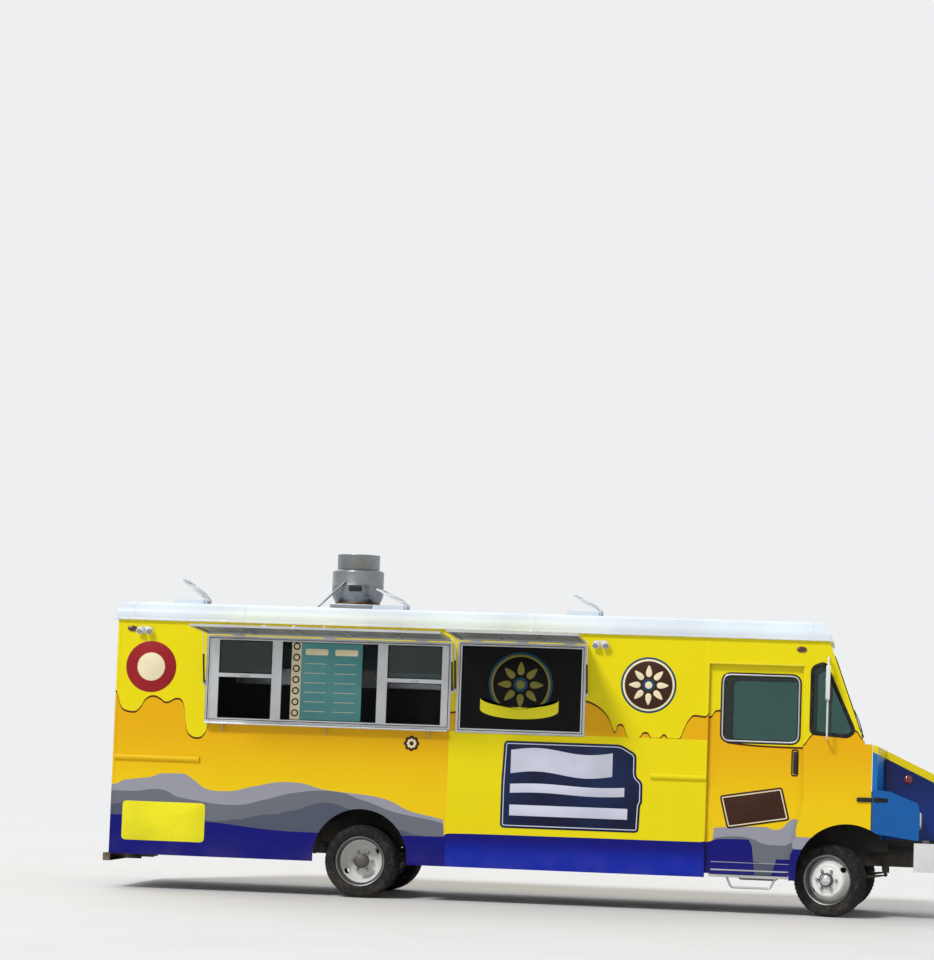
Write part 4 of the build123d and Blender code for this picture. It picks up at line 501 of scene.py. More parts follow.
class Wiring:
    """Builds one node material, with short calls for the nodes that this truck's finishes use."""

    def __init__(self, name: str, datum: Datum) -> None:
        """Make an empty material with its shader, its output and its coordinates in the truck's frame.

        Args:
            name: Name of the material.
            datum: Where the truck's own zero point stands.
        """
        self.material = bpy.data.materials.new(name)
        self.material.use_nodes = True
        self.nodes = self.material.node_tree.nodes
        self.nodes.clear()
        self.shader = self.nodes.new("ShaderNodeBsdfPrincipled")
        self.output = self.nodes.new("ShaderNodeOutputMaterial")
        self.join(self.shader.outputs[0], self.output.inputs["Surface"])
        mapping = self.nodes.new("ShaderNodeMapping")
        mapping.inputs["Location"].default_value = (-datum.x, -datum.y, 0)
        self.join(self.nodes.new("ShaderNodeTexCoord").outputs["Object"], mapping.inputs["Vector"])
        self.place = mapping.outputs["Vector"]
        split = self.nodes.new("ShaderNodeSeparateXYZ")
        self.join(self.place, split.inputs[0])
        self.x, self.y, self.z = split.outputs

    def join(self, start: Socket, end: Socket) -> None:
        """Link two sockets."""
        self.material.node_tree.links.new(start, end)

    def feed(self, socket: Socket, value: object) -> None:
        """Link a socket to another one, or set it to a number or an 8-bit colour.

        Args:
            socket: Input to feed.
            value: Output, number or 8-bit colour that it gets.
        """
        if isinstance(value, Socket):
            self.join(value, socket)
        elif isinstance(value, tuple) and socket.type == "RGBA":
            socket.default_value = linear(value)
        else:
            socket.default_value = value

    def math(self, operation: str, a: object, b: object = 0.0, clamp: bool = False) -> Socket:
        """Combine two numbers by a named operation.

        Args:
            operation: Blender's name of the operation.
            a: First number or socket.
            b: Second number or socket.
            clamp: Keep the result between 0 and 1.

        Returns:
            The result's socket.
        """
        node = self.nodes.new("ShaderNodeMath")
        node.operation = operation
        node.use_clamp = clamp
        self.feed(node.inputs[0], a)
        self.feed(node.inputs[1], b)
        return node.outputs[0]

    def ramp(self, value: object, start: float, end: float, low: float = 0.0, high: float = 1.0) -> Socket:
        """Smooth step: low up to start, high from end on.

        Args:
            value: Number or socket to grade.
            start: Value where the step begins.
            end: Value where it is complete.
            low: Result up to start.
            high: Result from end on.

        Returns:
            The result's socket.
        """
        node = self.nodes.new("ShaderNodeMapRange")
        node.interpolation_type = "SMOOTHSTEP"
        self.feed(node.inputs["Value"], value)
        for name, number in (("From Min", start), ("From Max", end), ("To Min", low), ("To Max", high)):
            node.inputs[name].default_value = number
        return node.outputs[0]

    def noise(self, scale: float, detail: float = 3.0, stretch: Triple = (1, 1, 1)) -> Socket:
        """Cloudy noise from 0 to 1, drawn out along axes by stretch.

        Args:
            scale: Blender's scale of the noise.
            detail: Layers of finer noise.
            stretch: Factors on the coordinates along X, Y and Z.

        Returns:
            The noise's socket.
        """
        vector = self.place
        if stretch != (1, 1, 1):
            mapping = self.nodes.new("ShaderNodeMapping")
            mapping.inputs["Scale"].default_value = stretch
            self.join(self.place, mapping.inputs["Vector"])
            vector = mapping.outputs["Vector"]
        node = self.nodes.new("ShaderNodeTexNoise")
        node.inputs["Scale"].default_value = scale
        node.inputs["Detail"].default_value = detail
        self.join(vector, node.inputs["Vector"])
        return node.outputs["Fac"]

    def blend(self, amount: object, a: object, b: object) -> Socket:
        """Mix two colours, a where the amount is 0 and b where it is 1.

        Args:
            amount: Share of b, from 0 to 1.
            a: First colour or socket.
            b: Second colour or socket.

        Returns:
            The mixed colour's socket.
        """
        node = self.nodes.new("ShaderNodeMix")
        node.data_type = "RGBA"
        self.feed(node.inputs[0], amount)
        self.feed(node.inputs[6], a)
        self.feed(node.inputs[7], b)
        return node.outputs[2]

    def curve(self, place: object, table: Table) -> Socket:
        """Height read off a smooth curve through a table of (place, height), level beyond its ends.

        Args:
            place: Where to read it.
            table: Places and heights in metres, in rising order of place.

        Returns:
            The height in metres.
        """
        node = self.nodes.new("ShaderNodeFloatCurve")
        first, last = table[0][0], table[-1][0]
        top = max(height for _, height in table)
        curve = node.mapping.curves[0]
        spots = [((place_at - first) / (last - first), height / top) for place_at, height in table]
        curve.points[0].location, curve.points[-1].location = spots[0], spots[-1]
        for spot in spots[1:-1]:
            curve.points.new(*spot)
        for point in curve.points:
            point.handle_type = "AUTO_CLAMPED"
        node.mapping.update()
        share = self.math("DIVIDE", self.math("SUBTRACT", place, first), last - first, True)
        self.feed(node.inputs["Value"], share)
        return self.math("MULTIPLY", node.outputs["Value"], top)

    def blend_value(self, amount: object, a: Socket, b: Socket) -> Socket:
        """Number that goes from a to b with amount."""
        return self.math("ADD", a, self.math("MULTIPLY", amount, self.math("SUBTRACT", b, a)))

    def bump(self, height: Socket, distance: float) -> None:
        """Dent the surface by a height field, in metres.

        Args:
            height: Socket of the height field.
            distance: Depth of a full step of the field, in metres.
        """
        node = self.nodes.new("ShaderNodeBump")
        node.inputs["Distance"].default_value = distance
        self.join(height, node.inputs["Height"])
        self.join(node.outputs[0], self.shader.inputs["Normal"])

    def set(self, **values: object) -> None:
        """Feed the shader's sockets, named with _ for a space."""
        for name, value in values.items():
            self.feed(self.shader.inputs[name.replace("_", " ")], value)


@dataclass(frozen=True)
class Finish:
    """A named surface finish. Each kind of finish wires its own nodes."""

    name: str

    def wire(self, w: Wiring) -> None:
        """Wire the nodes of this finish."""
        raise NotImplementedError

    def dust(self, w: Wiring, colour: object, strength: float, top: float = 0.9) -> Socket:
        """Tint a colour with road dust that thins out upwards.

        Args:
            w: Wiring of the material.
            colour: Colour or socket below the dust.
            strength: Cover at the ground, from 0 to 1.
            top: Height where the dust ends, in metres.

        Returns:
            The tinted colour.
        """
        low = w.ramp(w.z, 0.15, top, strength, strength * 0.06)
        patch = w.ramp(w.noise(4.0, 5.0), 0.3, 0.75)
        return w.blend(w.math("MULTIPLY", low, patch), colour, DUST)


@dataclass(frozen=True)
class Paint(Finish):
    """Sprayed paint with a clear coat, faint orange peel and some dust."""

    colour: Colour = (200, 200, 200)
    roughness: float = 0.32
    coat: float = 0.5
    dirt: float = 0.25
    gloss: float = 0.3

    def wire(self, w: Wiring) -> None:
        """Vary the colour a little, add dust low down and a fine peel.

        Args:
            w: Wiring of the material.
        """
        base = w.blend(w.ramp(w.noise(0.9, 4.0), 0.35, 0.7), self.colour, shade(self.colour, 0.93))
        w.set(Base_Color=self.dust(w, base, self.dirt), Coat_Weight=self.coat, Coat_Roughness=0.08,
              Specular_IOR_Level=self.gloss)
        w.set(Roughness=w.ramp(w.noise(7.0, 4.0), 0.2, 0.8, self.roughness - 0.05, self.roughness + 0.1))
        w.bump(w.noise(160.0, 1.0), 0.00012)


@dataclass(frozen=True)
class Metal(Finish):
    """Bare metal with a drawn grain and patchy tarnish."""

    colour: Colour = (190, 192, 194)
    roughness: float = 0.32
    grain: Triple = (2, 60, 60)
    tarnish: float = 0.3

    def wire(self, w: Wiring) -> None:
        """Streak the roughness along the grain and dull the colour in patches.

        Args:
            w: Wiring of the material.
        """
        streak = w.noise(14.0, 3.0, self.grain)
        patch = w.math("MULTIPLY", w.ramp(w.noise(3.0, 5.0), 0.35, 0.8), self.tarnish)
        base = w.blend(patch, self.colour, shade(self.colour, 0.72))
        w.set(Base_Color=self.dust(w, base, 0.2), Metallic=0.92)
        w.set(Roughness=w.ramp(streak, 0.3, 0.7, self.roughness - 0.06, self.roughness + 0.12))
        w.bump(streak, 0.0002)


@dataclass(frozen=True)
class Rubber(Finish):
    """Black rubber, greyed by dust."""

    colour: Colour = (26, 26, 27)
    dirt: float = 0.55
    top: float = 0.85

    def wire(self, w: Wiring) -> None:
        """Matte black with dusty patches and a fine pitted bump.

        Args:
            w: Wiring of the material.
        """
        base = w.blend(w.ramp(w.noise(18.0, 4.0), 0.4, 0.75), self.colour, (48, 47, 46))
        w.set(Base_Color=self.dust(w, base, self.dirt, self.top), Roughness=0.82, Specular_IOR_Level=0.3)
        w.bump(w.noise(240.0, 2.0), 0.0004)


@dataclass(frozen=True)
class Plastic(Finish):
    """Moulded plastic with a leathery grain."""

    colour: Colour = (30, 30, 32)
    roughness: float = 0.5
    grain: float = 0.0003
    gloss: float = 0.35

    def wire(self, w: Wiring) -> None:
        """Grain the surface with cells and vary its gloss.

        Args:
            w: Wiring of the material.
        """
        w.set(Base_Color=w.blend(w.ramp(w.noise(6.0, 4.0), 0.35, 0.8), self.colour, shade(self.colour, 1.2, 3)))
        w.set(Roughness=w.ramp(w.noise(20.0, 3.0), 0.2, 0.8, self.roughness - 0.08, self.roughness + 0.1))
        w.set(Specular_IOR_Level=self.gloss)
        w.bump(w.noise(300.0, 2.0), self.grain)


@dataclass(frozen=True)
class Glass(Finish):
    """Tinted pane with a faint film of dust."""

    colour: Colour = (150, 175, 172)
    film: float = 0.03

    def wire(self, w: Wiring) -> None:
        """Clear glass, a little rougher where the film lies.

        Args:
            w: Wiring of the material.
        """
        w.set(Base_Color=w.blend(w.ramp(w.noise(2.0), 0.3, 0.8), self.colour, shade(self.colour, 0.94)))
        w.set(Transmission_Weight=1.0, IOR=1.45)
        w.set(Roughness=w.ramp(w.noise(5.0, 5.0), 0.45, 0.8, 0.0, self.film))


@dataclass(frozen=True)
class Lens(Finish):
    """Moulded lamp lens with fine ribs."""

    colour: Colour = (160, 12, 10)
    clear: float = 0.35
    ribs: float = 420.0

    def wire(self, w: Wiring) -> None:
        """Ribbed coloured plastic that passes some light, with painted shade in the ribs' troughs.

        Args:
            w: Wiring of the material.
        """
        rib = w.math("SINE", w.math("MULTIPLY", w.z, self.ribs))
        # Painted shade: each rib's trough is a darker copy of the lens colour, its crest the full colour.
        w.set(Base_Color=w.blend(w.ramp(rib, -1.0, 1.0), shade(self.colour, 0.6), self.colour))
        w.set(Transmission_Weight=self.clear, Roughness=0.12, Coat_Weight=0.6, IOR=1.49)
        w.bump(rib, 0.0006)


@dataclass(frozen=True)
class Vinyl(Finish):
    """Printed adhesive film, with a slight change of tone and a satin sheen."""

    colour: Colour = (240, 240, 240)
    second: Colour | None = None

    def wire(self, w: Wiring) -> None:
        """Fade softly between two tones and leave faint squeegee marks in the gloss.

        Args:
            w: Wiring of the material.
        """
        other = self.second or shade(self.colour, 0.92)
        w.set(Base_Color=w.blend(w.ramp(w.noise(1.7, 3.0), 0.3, 0.75), self.colour, other))
        w.set(Roughness=w.ramp(w.noise(3.0, 3.0, (1, 1, 6)), 0.3, 0.7, 0.28, 0.42))
        w.set(Coat_Weight=0.06, Specular_IOR_Level=0.2)
        w.bump(w.noise(120.0, 1.0), 0.00008)


@dataclass(frozen=True)
class Upholstery(Finish):
    """Grained vinyl seat cover."""

    colour: Colour = (38, 38, 42)

    def wire(self, w: Wiring) -> None:
        """Soft sheen with a creased leather grain.

        Args:
            w: Wiring of the material.
        """
        cells = w.nodes.new("ShaderNodeTexVoronoi")
        cells.feature = "DISTANCE_TO_EDGE"
        cells.inputs["Scale"].default_value = 260.0
        w.join(w.place, cells.inputs["Vector"])
        w.set(Base_Color=w.blend(w.ramp(w.noise(9.0, 4.0), 0.3, 0.8), self.colour, (62, 60, 60)))
        w.set(Roughness=0.55, Sheen_Weight=0.15)
        w.bump(cells.outputs["Distance"], 0.0012)


@dataclass(frozen=True)
class Livery(Finish):
    """Body wrap: lemon above a brown drip line and amber below it, with grey hills and navy at the foot.

    Every line is a smooth curve through a table of places (x, z) on the side wall, in metres. The rear
    wall carries on from the side's end, so its x in a table is BODY_REAR - (HALF_WIDTH - |y|). Faces nearer
    the centreline than lining, from lined_rear to lined_front, are the bare inner liner.
    """

    lemon: Colour = (228, 209, 2)
    bright: Colour = (230, 214, 4)
    amber: Colour = (227, 171, 0)
    gold: Colour = (234, 197, 4)
    outline: Colour = (86, 34, 10)
    light_grey: Colour = (148, 149, 160)
    dark_grey: Colour = (104, 108, 118)
    slate: Colour = (78, 84, 100)
    navy: Colour = (2, 3, 112)
    royal: Colour = (2, 34, 160)
    liner: Colour = (96, 98, 100)
    lining: float = 1.185
    lined_rear: float = -8.12
    lined_front: float = -1.6
    drip_edge: float = 0.011
    bay_rear: float = -4.32
    bay_front: float = -1.435
    bay_foot: float = 1.896
    drips: Table = ((-9.35, 2.1), (-9.0, 2.24), (-8.7, 2.02), (-8.4, 1.98), (-8.25, 2.2), (-8.15, 2.22),
                    (-8.11, 2.12), (-8.05, 2.01), (-7.94, 1.985), (-7.855, 2.04), (-7.79, 2.14), (-7.71, 2.172),
                    (-7.63, 2.145), (-7.56, 2.105), (-7.43, 2.152), (-7.37, 2.12), (-7.34, 2.0), (-7.32, 1.85),
                    (-7.28, 1.75), (-7.19, 1.715), (-7.1, 1.77), (-7.07, 1.85), (-7.0, 1.96), (-4.32, 1.96))
    bay_drips: Table = ((-4.32, 2.1), (-2.9, 2.29), (-2.83, 2.286), (-2.69, 2.24), (-2.54, 2.108), (-2.48, 1.97),
                        (-2.46, 1.94), (-2.44, 2.01), (-2.4, 2.033), (-2.35, 1.976), (-2.32, 1.89), (-2.2, 1.885),
                        (-2.142, 1.95), (-2.102, 1.951), (-2.05, 1.89), (-1.97, 1.89), (-1.913, 1.936),
                        (-1.863, 1.89), (-1.764, 1.89), (-1.697, 2.0), (-1.641, 2.11), (-1.574, 2.16),
                        (-1.46, 2.15), (-1.4, 2.22), (-1.3, 2.228), (-1.27, 1.88), (-0.42, 1.845), (-0.365, 1.884),
                        (-0.296, 1.978), (-0.2, 2.05), (0.18, 2.055), (0.28, 1.96), (0.5, 1.95))
    hills: Table = ((-9.35, 1.18), (-8.7, 1.29), (-8.16, 1.164), (-8.0, 1.218), (-7.69, 1.263), (-7.59, 1.301),
                    (-7.354, 1.31), (-7.21, 1.248), (-6.9, 1.13), (-6.5, 1.2), (-6.1, 1.26), (-5.7, 1.19),
                    (-5.1, 1.13), (-4.7, 0.98), (-4.34, 0.9), (-4.3, 0.4), (-1.44, 0.4), (-1.4, 0.93),
                    (-1.22, 0.947), (-0.82, 0.963), (-0.715, 0.936), (-0.61, 0.981), (-0.47, 1.07), (-0.44, 0.87),
                    (0.5, 0.87))
    slopes: Table = ((-9.35, 1.05), (-8.6, 1.12), (-8.18, 1.095), (-7.88, 1.097), (-7.624, 1.126), (-7.383, 1.048),
                     (-7.18, 1.017), (-6.8, 0.98), (-6.4, 1.05), (-6.0, 1.15), (-5.71, 1.178), (-5.3, 1.1),
                     (-4.9, 0.97), (-4.34, 0.86), (-4.3, 0.4), (-1.44, 0.4), (-1.4, 0.815), (-1.119, 0.849),
                     (-0.956, 0.825), (-0.79, 0.771), (-0.63, 0.767), (-0.5, 0.8), (-0.44, 0.72), (0.5, 0.72))
    foot: Table = ((-9.35, 0.8), (-8.19, 0.823), (-7.9, 0.83), (-7.0, 0.78), (-5.93, 0.708), (-4.34, 0.72),
                   (-4.3, 0.757), (-2.98, 0.768), (-1.48, 0.774), (-1.33, 0.812), (-0.97, 0.82), (-0.945, 0.4),
                   (-0.74, 0.4), (-0.72, 0.612), (-0.51, 0.62), (-0.48, 0.735), (0.5, 0.735))

    def below(self, w: Wiring, line: Socket, soft: float = 0.0015) -> Socket:
        """1 below a line and 0 above it."""
        return w.ramp(w.math("SUBTRACT", line, w.z), -soft, soft)

    def wire(self, w: Wiring) -> None:
        """Stack the colour bands and finish them as printed film with road dust.

        Args:
            w: Wiring of the material.
        """
        along = w.math("ADD", w.math("SUBTRACT", w.x, HALF_WIDTH), w.math("ABSOLUTE", w.y))
        bay = w.ramp(w.x, self.bay_rear, self.bay_rear + 0.004)
        cab = w.ramp(w.x, self.bay_front, self.bay_front + 0.002)
        split = w.math("SUBTRACT", bay, cab)
        line = w.blend_value(bay, w.curve(along, self.drips), w.curve(along, self.bay_drips))
        shown = w.math("MAXIMUM", w.ramp(w.z, self.bay_foot, self.bay_foot + 0.002), w.math("SUBTRACT", 1.0, split))
        fade = w.blend(w.ramp(w.z, 1.05, 1.95), self.gold, self.amber)
        bright = w.blend(w.ramp(w.noise(0.5), 0.35, 0.7), self.bright, self.lemon)
        colour = w.blend(w.math("MULTIPLY", self.below(w, line), shown), bright, fade)
        gap = w.math("ABSOLUTE", w.math("SUBTRACT", w.z, line))
        stroke = w.ramp(gap, self.drip_edge - 0.001, self.drip_edge + 0.001, 1.0, 0.0)
        colour = w.blend(w.math("MULTIPLY", stroke, shown), colour, self.outline)
        colour = w.blend(self.below(w, w.curve(along, self.hills)), colour, self.light_grey)
        slopes = w.curve(along, self.slopes)
        colour = w.blend(self.below(w, slopes), colour, self.dark_grey)
        ragged = w.math("SUBTRACT", slopes, w.math("MULTIPLY", w.noise(1.4), 0.32))
        colour = w.blend(self.below(w, ragged), colour, self.slate)
        deep = w.blend(w.math("MULTIPLY", split, w.ramp(w.z, 0.74, 0.5)), self.navy, self.royal)
        colour = w.blend(self.below(w, w.curve(along, self.foot)), colour, deep)
        inside = w.math("MULTIPLY", w.ramp(w.math("ABSOLUTE", w.y), self.lining, self.lining + 0.001, 1.0, 0.0),
                        w.math("MULTIPLY", w.ramp(w.x, self.lined_rear, self.lined_rear + 0.001),
                               w.ramp(w.x, self.lined_front, self.lined_front + 0.001, 1.0, 0.0)))
        colour = w.blend(inside, colour, self.liner)
        w.set(Base_Color=self.dust(w, colour, 0.12, 0.7), Coat_Weight=0.06, Coat_Roughness=0.1,
              Specular_IOR_Level=0.16)
        w.set(Roughness=w.ramp(w.noise(4.0, 4.0), 0.25, 0.8, 0.3, 0.42))
        w.bump(w.noise(1.3, 2.0, (1, 1, 0.5)), 0.003)


@dataclass(frozen=True)
class HoodPaint(Finish):
    """Hood paint: lemon along the top; on the recessed sides navy, partly their own blue and partly painted shade
    that deepens towards the top; on the rear flange a lighter blue, a painted highlight where it faces the light.
    """

    rear_x: float = 0.388
    top_z: float = 1.905
    slope: float = -0.466
    strip: float = 0.13
    flange: float = 0.12
    lemon: Colour = (226, 206, 4)
    # Navy and shaded navy: the sides' blue with painted shade, deepest towards the top.
    navy: Colour = (0, 44, 122)
    shaded_navy: Colour = (0, 20, 76)
    # Blue: a painted highlight on the rear flange, lighter than the sides.
    blue: Colour = (2, 108, 184)

    def wire(self, w: Wiring) -> None:
        """Split the colours by height under the sloping top edge and by distance from the rear edge.

        Args:
            w: Wiring of the material.
        """
        start = self.rear_x + self.flange
        edge = w.math("ADD", w.math("MULTIPLY", w.math("SUBTRACT", w.x, start), self.slope), self.top_z - self.strip)
        top = w.ramp(w.math("SUBTRACT", w.z, edge), -0.002, 0.002)
        rear = w.ramp(w.x, start - 0.001, start + 0.001, 1.0, 0.0)
        # Painted shade on the recessed sides, darker towards the top.
        side = w.blend(w.ramp(w.z, 1.0, 1.8), self.navy, self.shaded_navy)
        # Painted highlight: the rear flange gets the lighter blue.
        side = w.blend(rear, side, self.blue)
        colour = w.blend(top, side, self.lemon)
        w.set(Base_Color=self.dust(w, colour, 0.08, 1.1), Coat_Weight=0.12, Coat_Roughness=0.06,
              Specular_IOR_Level=0.2)
        w.set(Roughness=w.ramp(w.noise(5.0, 4.0), 0.2, 0.8, 0.26, 0.36))
        w.bump(w.noise(150.0, 1.0), 0.0001)


class Palette(Enum):
    """The truck's finishes."""

    LIVERY = Livery("body_wrap")
    # Hood paint holds painted shade on the recessed sides and a painted highlight on the rear flange.
    HOOD = HoodPaint("hood_paint")
    ROOF = Paint("roof_paint", (222, 232, 240), 0.38, 0.3, 0.1)
    BUMPER = Paint("bumper_paint", (226, 226, 226), 0.36, 0.4, 0.35)
    WHITE = Paint("white_paint", (228, 228, 226), 0.34, 0.4, 0.15)
    FENDER = Paint("fender_paint", (0, 92, 168), 0.26, 0.16, 0.06, 0.2)
    LEMON = Paint("lemon_paint", (238, 222, 24), 0.3, 0.5, 0.1)
    CHASSIS = Paint("chassis_paint", (26, 26, 28), 0.62, 0.0, 0.75)
    DISC = Paint("wheel_paint", (236, 236, 233), 0.34, 0.2, 0.1)
    INTERIOR = Paint("liner_paint", (176, 178, 178), 0.5, 0.0, 0.1)
    ALUMINIUM = Metal("satin_aluminium", (196, 198, 200), 0.34)
    STEEL = Metal("brushed_steel", (176, 178, 182), 0.28, (60, 60, 2), 0.2)
    SPUN = Metal("spun_aluminium", (138, 142, 146), 0.3, (3, 3, 90), 0.6)
    CAST = Metal("cast_iron", (92, 92, 94), 0.55, (8, 8, 8), 0.6)
    # Barrel: bare grey metal, darkened partly as painted shade for the deep well between the lip and the disc.
    BARREL = Metal("wheel_barrel", (128, 130, 132), 0.42, (6, 6, 6), 0.5)
    CHROME = Metal("chrome", (225, 226, 228), 0.08, (4, 4, 4), 0.05)
    RUST_RING = Metal("greasy_ring", (120, 92, 66), 0.45, (3, 3, 40), 0.7)
    TYRE = Rubber("tyre_rubber", (17, 17, 18), 0.08, 0.4)
    SEAL = Rubber("seal_rubber", (14, 14, 15), 0.1, 0.6)
    BLACK = Plastic("black_plastic", (22, 22, 24), 0.5)
    GREY = Plastic("grey_plastic", (120, 122, 124), 0.45)
    BOARD = Plastic("dark_board", (5, 5, 7), 0.42, 0.0001, 0.12)
    TINTED = Plastic("tinted_pane", (22, 31, 33), 0.42, 0.0001, 0.12)
    VENT = Plastic("vent_acrylic", (206, 213, 220), 0.3, 0.0001)
    GLASS = Glass("window_glass", (104, 146, 140))
    RED_LENS = Lens("red_lens")
    DARK_LENS = Lens("dark_red_lens", (96, 8, 8), 0.15)
    CLEAR_LENS = Lens("clear_lens", (225, 230, 234), 0.6, 260.0)
    TEAL = Vinyl("teal_print", (84, 150, 152), (98, 164, 164))
    CREAM = Vinyl("cream_print", (238, 226, 188))
    LAVENDER = Vinyl("pale_print", (206, 208, 226))
    NAVY = Vinyl("navy_print", (6, 14, 46), (10, 32, 74))
    BROWN = Vinyl("brown_print", (58, 28, 12))
    CRIMSON = Vinyl("crimson_print", (156, 24, 32), (126, 16, 30))
    LEMON_PRINT = Vinyl("lemon_print", (238, 228, 30))
    OLIVE = Vinyl("olive_print", (128, 122, 44))
    DEEP_TEAL = Vinyl("deep_teal_print", (20, 74, 96), (16, 44, 84))
    SEAT = Upholstery("seat_cover")

    @property
    def finish(self) -> Finish:
        """The finish behind the name."""
        return self.value


@dataclass
class Workshop:
    """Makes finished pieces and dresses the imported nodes; it keeps one material for each finish."""

    datum: Datum
    materials: dict[str, bpy.types.Material] = field(default_factory=dict)

    def material(self, paint: Palette) -> bpy.types.Material:
        """The material of a finish, wired on first use.

        Args:
            paint: Finish to look up.

        Returns:
            Its material.
        """
        finish = paint.finish
        if finish.name not in self.materials:
            wiring = Wiring(finish.name, self.datum)
            finish.wire(wiring)
            self.materials[finish.name] = wiring.material
        return self.materials[finish.name]

    def piece(self, name: str, shape: Shape, paint: Palette, slot: str, body: str = "truck",
              replaces: Sequence[str] = ()) -> bpy.types.Object:
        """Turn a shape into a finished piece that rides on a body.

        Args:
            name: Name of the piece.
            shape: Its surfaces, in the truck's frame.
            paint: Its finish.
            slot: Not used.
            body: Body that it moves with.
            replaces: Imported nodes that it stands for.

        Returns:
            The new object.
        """
        shape.points = [self.datum.to_row(p) for p in shape.points]
        mesh = shape.mesh(name)
        mesh.materials.append(self.material(paint))
        thing = bpy.data.objects.new(name, mesh)
        bpy.context.scene.collection.objects.link(thing)
        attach(thing, body)
        if replaces:
            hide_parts(*replaces)
        LOG.info("piece %s: %d faces, rides on %s", name, len(mesh.polygons), body)
        return thing

    def dress(self, paint: Palette, *nodes: str) -> None:
        """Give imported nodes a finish.

        Args:
            paint: The finish.
            nodes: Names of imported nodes.
        """
        for node in nodes:
            mesh = frame["nodes"][node].data
            mesh.materials.clear()
            mesh.materials.append(self.material(paint))
            LOG.info("node %s: %s", node, paint.finish.name)


@dataclass
class Assembly:
    """One sub-assembly of the truck, made in a workshop."""

    shop: Workshop

    def build(self) -> None:
        """Make every piece of the sub-assembly."""
        raise NotImplementedError

    def add(self, slot: str, body: str, *pieces: tuple[str, Shape, Palette]) -> None:
        """Make several pieces that ride on one body.

        Args:
            slot: Handed on to each piece.
            body: Body that they move with.
            pieces: Name, shape and finish of each.
        """
        for name, shape, paint in pieces:
            self.shop.piece(name, shape, paint, slot, body)


